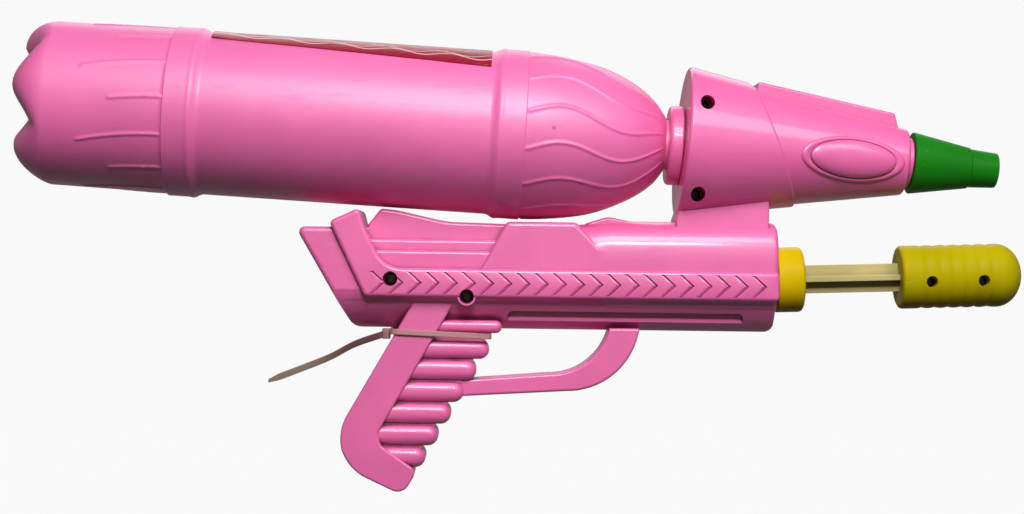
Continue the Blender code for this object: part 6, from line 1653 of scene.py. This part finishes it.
class Wires:
    """Short way to place and link nodes in a tree."""

    def __init__(self, tree):
        self.tree = tree

    def node(self, kind, **settings):
        """New node with some of its settings."""
        made = self.tree.nodes.new(kind)
        for key, value in settings.items():
            setattr(made, key, value)
        return made

    def link(self, source, target):
        """Link an output to an input."""
        self.tree.links.new(source, target)

    def fill(self, target, value):
        """Set an input to a value, or link it to another node's output."""
        if isinstance(value, bpy.types.NodeSocket):
            self.link(value, target)
        else:
            target.default_value = value

    def feed(self, node, entries):
        """Fill several inputs of a node, by their names."""
        for label, value in entries.items():
            self.fill(node.inputs[label], value)

    def math(self, operation, a, b=0.0, clamp=False):
        """Result of an operation on two values."""
        made = self.node('ShaderNodeMath', operation=operation, use_clamp=clamp)
        self.fill(made.inputs[0], a)
        self.fill(made.inputs[1], b)
        return made.outputs[0]

    def times(self, a, b):
        """Product of two values."""
        return self.math('MULTIPLY', a, b)

    def plus(self, a, b, clamp=False):
        """Sum of two values, kept between 0 and 1 when it is clamped."""
        return self.math('ADD', a, b, clamp)

    def mix(self, factor, a, b):
        """Blend of two colours."""
        made = self.node('ShaderNodeMix', data_type='RGBA')
        self.fill(made.inputs["Factor"], factor)
        colours = [socket for socket in made.inputs if socket.type == 'RGBA']
        for socket, value in zip(colours, (a, b)):
            self.fill(socket, (*value, 1.0) if isinstance(value, tuple) and len(value) == 3 else value)
        return next(socket for socket in made.outputs if socket.type == 'RGBA')

    def ramp(self, value, low, high, bottom=0.0, top=1.0):
        """Soft step from the bottom to the top while the value goes from low to high."""
        made = self.node('ShaderNodeMapRange', interpolation_type='SMOOTHSTEP')
        self.feed(made, {"Value": value, "From Min": low, "From Max": high, "To Min": bottom, "To Max": top})
        return made.outputs["Result"]

    def place(self):
        """Place on the piece."""
        return self.node('ShaderNodeTexCoord').outputs["Object"]

    def split(self, vector):
        """X, Y and Z of a vector."""
        made = self.node('ShaderNodeSeparateXYZ')
        self.link(vector, made.inputs["Vector"])
        return made.outputs

    def stretched(self, place, scale, tilt=0.0):
        """Place scaled along each axis and tilted about Y by degrees."""
        made = self.node('ShaderNodeMapping')
        self.feed(made, {"Vector": place, "Scale": scale, "Rotation": (0.0, math.radians(tilt), 0.0)})
        return made.outputs["Vector"]

    def noise(self, place, scale, detail=2.0, roughness=0.5):
        """Cloudy noise."""
        made = self.node('ShaderNodeTexNoise')
        self.feed(made, {"Vector": place, "Scale": scale, "Detail": detail, "Roughness": roughness})
        return made.outputs["Fac"]


def new_group(name, inputs, outputs):
    """Shader node group with named numbers in and out: group, wires, numbers that come in, and last node."""
    group = bpy.data.node_groups.new(name, 'ShaderNodeTree')
    for label, default in inputs.items():
        socket = group.interface.new_socket(label, in_out='INPUT', socket_type='NodeSocketFloat')
        socket.default_value = default
    for label in outputs:
        group.interface.new_socket(label, in_out='OUTPUT', socket_type='NodeSocketFloat')
    wires = Wires(group)
    return group, wires, wires.node('NodeGroupInput').outputs, wires.node('NodeGroupOutput')


def moulded_skin():
    """Orange peel, cloudy flow haze and faint smears of a moulded plastic skin."""
    group, wires, entry, leave = new_group("Moulded Skin", {"Peel Scale": 700.0, "Haze Scale": 26.0},
                                           ("Peel", "Haze", "Smear"))
    place = wires.place()
    smear = wires.noise(wires.stretched(place, (0.35, 1.0, 1.6)), 160.0, 4.0, 0.6)
    wires.feed(leave, {"Peel": wires.noise(place, entry["Peel Scale"], 3.0),
                       "Haze": wires.ramp(wires.noise(place, entry["Haze Scale"], 3.0), 0.35, 0.7),
                       "Smear": wires.ramp(smear, 0.56, 0.72)})
    return group


def painted_crease_shade():
    """Painted shade: dark tint in narrow creases, found by ambient occlusion and broken into patches by
    noise.
    """
    group, wires, entry, leave = new_group("Crease Soil", {"Reach": 5.0 * MM}, ("Crease",))
    shade = wires.node('ShaderNodeAmbientOcclusion', samples=8, only_local=True)
    wires.link(entry["Reach"], shade.inputs["Distance"])
    patch = wires.ramp(wires.noise(wires.place(), 90.0), 0.25, 0.75, 0.55, 1.0)
    depth = wires.ramp(shade.outputs["AO"], 0.82, 0.38)
    wires.link(wires.times(depth, patch), leave.inputs["Crease"])
    return group


def specks():
    """Small dark specks and short scuffs from handling."""
    group, wires, entry, leave = new_group("Specks", {"Scale": 60.0, "Share": 0.03}, ("Speck", "Scuff"))
    place = wires.place()
    cells = wires.node('ShaderNodeTexVoronoi', feature='F1')
    wires.feed(cells, {"Vector": place, "Scale": entry["Scale"]})
    pick = wires.node('ShaderNodeSeparateColor')
    wires.link(cells.outputs["Color"], pick.inputs["Color"])
    chosen = wires.math('LESS_THAN', pick.outputs["Red"], entry["Share"])
    streak = wires.noise(wires.stretched(place, (0.25, 1.0, 2.2), 24), 420.0, 2.0, 0.7)
    where = wires.ramp(wires.noise(place, 34.0), 0.56, 0.68)
    wires.feed(leave, {"Speck": wires.times(wires.ramp(cells.outputs["Distance"], 0.10, 0.05), chosen),
                       "Scuff": wires.times(wires.ramp(streak, 0.64, 0.72), where)})
    return group


GROUPS = {}


def placed(wires, name):
    """Place a shared node group in a material, building it the first time."""
    makers = {"skin": moulded_skin, "crease": painted_crease_shade, "specks": specks}
    if name not in GROUPS:
        GROUPS[name] = makers[name]()
    return wires.node('ShaderNodeGroup', node_tree=GROUPS[name])


def new_finish(name):
    """New material, with its wires and its Principled shader."""
    material = bpy.data.materials.new(name)
    material.use_nodes = True
    wires = Wires(material.node_tree)
    return material, wires, material.node_tree.nodes["Principled BSDF"]


def bumped(wires, shader, height, strength, distance):
    """Give a shader a fine relief."""
    bump = wires.node('ShaderNodeBump')
    wires.feed(bump, {"Strength": strength, "Distance": distance, "Height": height})
    wires.link(bump.outputs["Normal"], shader.inputs["Normal"])


def shaded(colour, factor):
    """A colour made darker by a factor."""
    return tuple(channel * factor for channel in colour)


def plastic(name, colour, roughness, crease=None, peel=0.06, scale=700.0, soil=0.02, haze=0.10,
            specular=0.3, gloss=0.0, polish=0.16):
    """Moulded plastic: hazy colour, painted shade in the creases, specks, scuffs and a fine orange peel."""
    material, wires, shader = new_finish(name)
    colour = tuple(colour)
    skin = placed(wires, "skin")
    skin.inputs["Peel Scale"].default_value = scale
    marks = placed(wires, "specks")
    marks.inputs["Share"].default_value = soil
    scuff, speck = marks.outputs["Scuff"], marks.outputs["Speck"]
    clean = wires.mix(skin.outputs["Haze"], shaded(colour, 1 - haze), colour)
    bleached = tuple(min(1.0, c * 0.7 + 0.2) for c in colour)
    worn = wires.mix(wires.times(scuff, SCUFF_TINT), clean, bleached)
    soiled_and_shaded = wires.mix(wires.times(speck, SPECK_TINT), worn, shaded(colour, 0.2))
    # Painted shade: seams holds the group that darkens creases found by ambient occlusion with the crease
    # colour; the specks and scuffs above are wear.
    if crease is not None:
        seams = placed(wires, "crease")
        soiled_and_shaded = wires.mix(wires.times(seams.outputs["Crease"], CREASE_SHADE_TINT), soiled_and_shaded, tuple(crease))
    dull = wires.plus(wires.times(scuff, SCUFF_DULLING), wires.times(skin.outputs["Smear"], SMEAR_DULLING))
    dull = wires.plus(dull, wires.times(skin.outputs["Haze"], HAZE_DULLING))
    wires.feed(shader, {"Base Color": soiled_and_shaded, "Roughness": wires.plus(dull, roughness, clamp=True),
                        "Specular IOR Level": specular, "Coat Weight": gloss, "Coat Roughness": polish})
    bumped(wires, shader, skin.outputs["Peel"], peel, PEEL_DEPTH)
    return material


def shell_plastic(name, look):
    """Glossy pink plastic of the body and of the fittings in its head."""
    # The crease colour goes in as painted shade in the creases.
    return plastic(name, look.pink, look.roughness, look.crease, specular=1.0, gloss=0.5, polish=0.13)


def label_finish(look):
    """Printed film: crimson ground that darkens with painted shade towards its far edge over the top, thin
    wavy lines and short green and blue dashes.
    """
    material, wires, shader = new_finish("label_print")
    film = wires.split(wires.node('ShaderNodeUVMap', uv_map="film").outputs["UV"])
    u, v = film["X"], film["Y"]

    def wave(phase, middle):
        """Height of a wavy line along the film."""
        turn = wires.plus(wires.times(u, LABEL_WAVES * 2 * math.pi), phase)
        return wires.plus(wires.times(wires.math('SINE', turn), LABEL_WAVE_LIFT), middle)

    def stripe(centre, half):
        """Mask of a line with soft edges."""
        return wires.ramp(wires.math('ABSOLUTE', wires.math('SUBTRACT', v, centre)), half, half * 0.55)

    # Painted shade: the ground darkens from the label's near lower edge towards its far edge over the top of
    # the bottle.
    colour = wires.mix(wires.ramp(v, 0.0, 0.9), tuple(look.label), shaded(look.label, 0.8))
    for phase, middle, half in LABEL_STROKES:
        colour = wires.mix(stripe(wave(phase, middle), half), colour, tuple(look.stroke))
    saw = wires.math('FRACT', wires.times(u, LABEL_DASHES))
    for centre in LABEL_DASH_ROWS:
        line = stripe(wires.plus(wires.times(saw, LABEL_DASH_SLANT), centre), LABEL_DASH_HALF)
        for (start, full, fading, end), ink in ((LABEL_LEAF_SPAN, look.leaf), (LABEL_DROP_SPAN, look.drop)):
            dash = wires.times(wires.ramp(saw, start, full), wires.ramp(saw, end, fading))
            colour = wires.mix(wires.times(line, dash), colour, tuple(ink))
    skin = placed(wires, "skin")
    scuff = placed(wires, "specks").outputs["Scuff"]
    wires.feed(shader, {"Base Color": wires.mix(wires.times(scuff, 0.4), colour, tuple(look.stroke)),
                        "Roughness": wires.plus(wires.times(skin.outputs["Smear"], 0.2), 0.32),
                        "Specular IOR Level": 0.15})
    bumped(wires, shader, skin.outputs["Haze"], 0.1, 0.3 * MM)
    return material


def tie_finish(look):
    """Cloudy nylon: the grip's pink painted in where the tie lies on it, painted shade on the tail beside the
    grip that fades towards the tail's end, and smudges.
    """
    material, wires, shader = new_finish("tie_nylon")
    skin = placed(wires, "skin")
    haze, smear = skin.outputs["Haze"], skin.outputs["Smear"]
    near, far = TIE_TAIL[0][0] * MM, TIE_TAIL[2][0] * MM
    along = wires.plus(wires.split(wires.place())["X"], wires.times(haze, TIE_HEAD))
    # Painted shade: the tail is dark beside the grip and lightens towards its end.
    tail = wires.mix(wires.ramp(along, near, far), tuple(look.shade_and_smudge), tuple(look.nylon))
    # Painted light: the grip's pink showing through the nylon where the tie lies on it.
    colour = wires.mix(wires.ramp(along, near * 0.6, near * 0.3), tail, tuple(look.loop))
    # The smudges take the same dark colour as the painted shade.
    wires.feed(shader, {"Base Color": wires.mix(wires.times(smear, 0.3), colour, tuple(look.shade_and_smudge)),
                        "Roughness": wires.ramp(smear, 0.0, 1.0, 0.4, 0.6), "Specular IOR Level": 0.3})
    bumped(wires, shader, skin.outputs["Peel"], 0.05, PEEL_DEPTH)
    return material


def metal(name, colour, roughness):
    """Plated steel with dull patches and a fine grain."""
    material, wires, shader = new_finish(name)
    skin = placed(wires, "skin")
    wires.feed(shader, {"Base Color": wires.mix(skin.outputs["Smear"], tuple(colour), shaded(colour, 0.55)),
                        "Roughness": wires.plus(wires.times(skin.outputs["Haze"], 0.15), roughness),
                        "Metallic": 1.0})
    bumped(wires, shader, skin.outputs["Peel"], 0.08, 0.1 * MM)
    return material


def clear_vinyl(name, colour):
    """Clear soft hose: mostly see-through, cloudy in patches."""
    material, wires, shader = new_finish(name)
    skin = placed(wires, "skin")
    haze = skin.outputs["Haze"]
    wires.feed(shader, {"Base Color": wires.mix(haze, tuple(colour), shaded(colour, 0.85)),
                        "Roughness": wires.plus(wires.times(skin.outputs["Smear"], 0.2), 0.15),
                        "Alpha": wires.ramp(haze, 0.0, 1.0, 0.45, 0.7)})
    return material


def dressed(thing, material, body, slot, *nodes, angle=SMOOTH_ANGLE):
    """Shade a new piece, give it its finish, and set it on its body in place of CAD nodes."""
    thing.data.materials.clear()
    thing.data.materials.append(material)
    thing.data.shade_smooth()
    thing.data.set_sharp_from_angle(angle=math.radians(angle))
    even = thing.modifiers.new("even_shading", 'WEIGHTED_NORMAL')
    even.keep_sharp = True
    even.weight = 60
    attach(thing, body)
    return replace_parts(thing, *nodes)


def repaint(material, *nodes):
    """Give CAD nodes that stay a better finish."""
    for node in nodes:
        mesh = frame["nodes"][node].data
        mesh.materials.clear()
        mesh.materials.append(material)


# Stage


def backdrop(low):
    """Floor that sweeps up into a wall far behind."""
    bend = (BACKDROP_PLACE - BACKDROP_BEND, low + BACKDROP_BEND)
    line = [(FLOOR_NEAR, low), *arc(bend, BACKDROP_BEND, -90, 0, 24), (BACKDROP_PLACE, BACKDROP_TOP)]
    work = bmesh.new()
    rows = [[work.verts.new((x, y, z)) for x in (-FLOOR_HALF, FLOOR_HALF)] for y, z in line]
    for row, after in zip(rows, rows[1:]):
        work.faces.new((row[0], row[1], after[1], after[0]))
    mesh = bpy.data.meshes.new("studio_floor")
    work.to_mesh(mesh)
    work.free()
    mesh.shade_smooth()
    return add_object("studio_floor", mesh)


def white_share(wires, look):
    """Share of white in the background: full to the camera and through clear hoses, less in reflections."""
    seen = wires.node('ShaderNodeLightPath').outputs
    direct = wires.plus(seen["Is Camera Ray"], seen["Is Transmission Ray"])
    return wires.plus(direct, wires.times(seen["Is Glossy Ray"], look.mirrored), clamp=True)


def floor_paint(look):
    """Floor: dark paint for the lamps' light, near white for the camera and paler in reflections."""
    material, wires, shader = new_finish("studio_paint")
    wires.feed(shader, {"Base Color": (*look.floor, 1.0), "Roughness": FLOOR_ROUGHNESS})
    blend = wires.node('ShaderNodeMixShader')
    wires.link(wires.times(white_share(wires, look), look.shown), blend.inputs[0])
    wires.link(shader.outputs[0], blend.inputs[1])
    wires.link(wires.node('ShaderNodeEmission').outputs[0], blend.inputs[2])
    wires.link(blend.outputs[0], material.node_tree.nodes["Material Output"].inputs["Surface"])
    return material


def add_lamp(name, spot, size, power):
    """Rectangular lamp aimed at the middle of the squirter."""
    data = bpy.data.lights.new(name, 'AREA')
    data.shape = 'RECTANGLE'
    data.size, data.size_y = size
    data.energy = power
    lamp = add_object(name, data)
    lamp.location = spot
    lamp.rotation_euler = (Vector(LAMP_AIM) - Vector(spot)).to_track_quat('-Z', 'Y').to_euler()


def even_light(look):
    """World with even light all round, white to the camera."""
    world = bpy.data.worlds.new("studio")
    world.use_nodes = True
    wires = Wires(world.node_tree)
    seen = wires.mix(white_share(wires, look), shaded(look.warm, look.fill), (1.0, 1.0, 1.0))
    wires.link(seen, world.node_tree.nodes["Background"].inputs["Color"])
    return world


def photo_camera():
    """Camera that looks at the squirter as the photograph does."""
    data = bpy.data.cameras.new("eye")
    data.sensor_width = SENSOR
    data.lens = FOCAL_PIXELS / PICTURE_WIDTH * SENSOR
    data.shift_x = EYE_SHIFT_PIXELS / PICTURE_WIDTH
    eye = add_object("eye", data)
    level = Matrix.Rotation(math.radians(90), 4, 'X') @ Matrix.Rotation(math.radians(EYE_ROLL), 4, 'Z')
    eye.matrix_world = Matrix.Translation(EYE) @ level
    return eye


# Operators


class SQUIRTER_OT_stage(bpy.types.Operator):
    """Build the floor, the light and the camera"""
    bl_idname = "squirter.stage"
    bl_label = "Stage"

    def execute(self, context):
        scene, look = context.scene, context.scene.squirter_stage
        floor = backdrop(CAD_BOX[0][2] - look.drop)
        floor.data.materials.append(floor_paint(look))
        for name, (spot, size) in LAMPS.items():
            add_lamp(f"{name}_lamp", spot, size, getattr(look, name))
        scene.world = even_light(look)
        scene.camera = photo_camera()
        scene.view_settings.view_transform = 'Standard'
        return {'FINISHED'}


class SQUIRTER_OT_body(bpy.types.Operator):
    """Mould the two body halves"""
    bl_idname = "squirter.body"
    bl_label = "Body Halves"

    def execute(self, context):
        look = context.scene.squirter_shell
        pink = shell_plastic("pink_moulding", look)
        for half, node in zip(body_halves(look), ("right_shell", "left_shell")):
            dressed(half, pink, "gun_body", "pink_shell_plastic", node)
        return {'FINISHED'}


class SQUIRTER_OT_bottle(bpy.types.Operator):
    """Blow the bottle and stick its label on"""
    bl_idname = "squirter.bottle"
    bl_label = "Bottle and Label"

    def execute(self, context):
        look = context.scene.squirter_bottle
        blown = plastic("pink_blown", look.pink, look.roughness, peel=0.04, scale=500.0, soil=0.012,
                        specular=1.0, gloss=0.4, polish=0.32)
        dressed(blown_bottle(look), blown, "bottle", "pink_bottle_plastic", "bottle", angle=BLOWN_ANGLE)
        dressed(label_film(), label_finish(look), "bottle", "label_film", "bottle_label")
        return {'FINISHED'}


class SQUIRTER_OT_head_fittings(bpy.types.Operator):
    """Turn the socket, the outlet pipe and the nozzle"""
    bl_idname = "squirter.head_fittings"
    bl_label = "Socket and Nozzle"

    def execute(self, context):
        shell, pump = context.scene.squirter_shell, context.scene.squirter_pump
        pink = shell_plastic("pink_fitting", shell)
        green = plastic("green_moulding", pump.green, roughness=0.42, peel=0.10, scale=900.0, specular=0.08)
        dressed(socket_piece(pump.facets), pink, "gun_body", "pink_shell_plastic", "bottle_socket")
        dressed(pipe_piece(pump.facets), pink, "gun_body", "pink_shell_plastic", "outlet_pipe")
        dressed(nozzle_piece(pump.facets), green, "gun_body", "green_plastic", "nozzle")
        return {'FINISHED'}


class SQUIRTER_OT_pump(bpy.types.Operator):
    """Make the gland, the cross rod and the handle's halves"""
    bl_idname = "squirter.pump"
    bl_label = "Pump"

    def execute(self, context):
        look = context.scene.squirter_pump
        amber = plastic("amber_moulding", look.amber, roughness=0.36, peel=0.08, scale=900.0, specular=0.05)
        # Their crease colours, darker copies of their own colours, are painted shade in their creases.
        yellow = plastic("yellow_moulding", look.yellow, roughness=0.40, crease=shaded(look.yellow, 0.3),
                         peel=0.12, scale=900.0, soil=0.05, specular=0.05)
        cream = plastic("cream_moulding", look.cream, roughness=0.45, crease=shaded(look.cream, 0.35),
                        peel=0.08, soil=0.10, haze=0.2)
        dressed(gland_piece(look.facets), amber, "gun_body", "amber_plastic", "gland_cap")
        dressed(rod_piece(look.facets), cream, "pump", "cream_plastic", "pump_rod")
        for half, node in zip(handle_pieces(look), ("handle_right", "handle_left")):
            dressed(half, yellow, "pump", "yellow_plastic", node)
        return {'FINISHED'}


class SQUIRTER_OT_screws(bpy.types.Operator):
    """Set the screws in the body and the handle"""
    bl_idname = "squirter.screws"
    bl_label = "Screws"

    def execute(self, context):
        steel = metal("plated_steel", context.scene.squirter_small.steel, roughness=0.38)
        sizes = (SEAT_DEPTH, SCREW_BITE, SCREW_HEAD, SCREW_SHANK)
        for node, place in screw_places().items():
            screw = screw_piece(node + "_driven", place, *sizes, Matrix.Identity(4))
            dressed(screw, steel, "gun_body", "screw_steel", node)
        sizes = (HANDLE_SEAT_DEPTH, HANDLE_SCREW_BITE, HANDLE_SCREW_HEAD, HANDLE_SCREW_SHANK)
        for node, along in HANDLE_SCREWS.items():
            screw = screw_piece(node + "_driven", (along, HANDLE_SCREW_DROP), *sizes, HANDLE_FRAME)
            dressed(screw, steel, "pump", "screw_steel", node)
        return {'FINISHED'}


class SQUIRTER_OT_tie(bpy.types.Operator):
    """Pull the nylon tie round the grip"""
    bl_idname = "squirter.tie"
    bl_label = "Tie"

    def execute(self, context):
        nylon = tie_finish(context.scene.squirter_small)
        dressed(tie_piece(), nylon, "gun_body", "natural_plastic", "grip_tie")
        return {'FINISHED'}


def outlet_coil(steel):
    """Spring of the outlet valve: a copy of the CAD spring in bright steel, set on the body in its place."""
    coil = add_object("outlet_coil", frame["nodes"]["outlet_spring"].data.copy())
    dressed(coil, steel, "gun_body", "screw_steel", "outlet_spring")
    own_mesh(coil)


class SQUIRTER_OT_inside(bpy.types.Operator):
    """Finish the pieces inside the body and the bottle"""
    bl_idname = "squirter.inside"
    bl_label = "Inside"

    def execute(self, context):
        look = context.scene.squirter_small
        natural = plastic("natural_moulding", look.natural, roughness=0.45)
        rubber = plastic("black_rubber", look.rubber, roughness=0.7, peel=0.2)
        bright = metal("ball_steel", look.steel, roughness=0.15)
        repaint(natural, "pump_cylinder", "valve_block", "inlet_cap", "outlet_cap")
        repaint(rubber, "mouth_washer", "piston_seal")
        repaint(bright, "inlet_ball", "outlet_ball")
        outlet_coil(bright)
        repaint(clear_vinyl("clear_vinyl", look.vinyl), "feed_hose", "delivery_hose", "pickup_tube")
        return {'FINISHED'}


OPERATORS = (SQUIRTER_OT_stage, SQUIRTER_OT_body, SQUIRTER_OT_bottle, SQUIRTER_OT_head_fittings,
             SQUIRTER_OT_pump, SQUIRTER_OT_screws, SQUIRTER_OT_tie, SQUIRTER_OT_inside)
LOOKS = {"squirter_shell": ShellLook, "squirter_bottle": BottleLook, "squirter_pump": PumpLook,
         "squirter_small": SmallLook, "squirter_stage": StageLook}


class SQUIRTER_PT_panel(bpy.types.Panel):
    """Sizes, colours and build steps of the squirter"""
    bl_label = "Water Squirter"
    bl_idname = "SQUIRTER_PT_panel"
    bl_space_type = 'VIEW_3D'
    bl_region_type = 'UI'
    bl_category = "Squirter"

    def draw(self, context):
        for name, group in LOOKS.items():
            box = self.layout.box()
            look = getattr(context.scene, name)
            for key in group.__annotations__:
                box.prop(look, key)
        for operator in OPERATORS:
            self.layout.operator(operator.bl_idname)


def register():
    """Register the settings, the operators and the panel."""
    for group in LOOKS.values():
        bpy.utils.register_class(group)
    for operator in (*OPERATORS, SQUIRTER_PT_panel):
        bpy.utils.register_class(operator)
    for name, group in LOOKS.items():
        setattr(bpy.types.Scene, name, PointerProperty(type=group))


def unregister():
    """Take out all that was registered."""
    for name in LOOKS:
        delattr(bpy.types.Scene, name)
    for operator in (SQUIRTER_PT_panel, *reversed(OPERATORS)):
        bpy.utils.unregister_class(operator)
    for group in LOOKS.values():
        bpy.utils.unregister_class(group)


def main():
    """Build all pieces and the stage."""
    register()
    for operator in OPERATORS:
        family, step = operator.bl_idname.split(".")
        getattr(getattr(bpy.ops, family), step)()


if __name__ == "__main__":
    main()
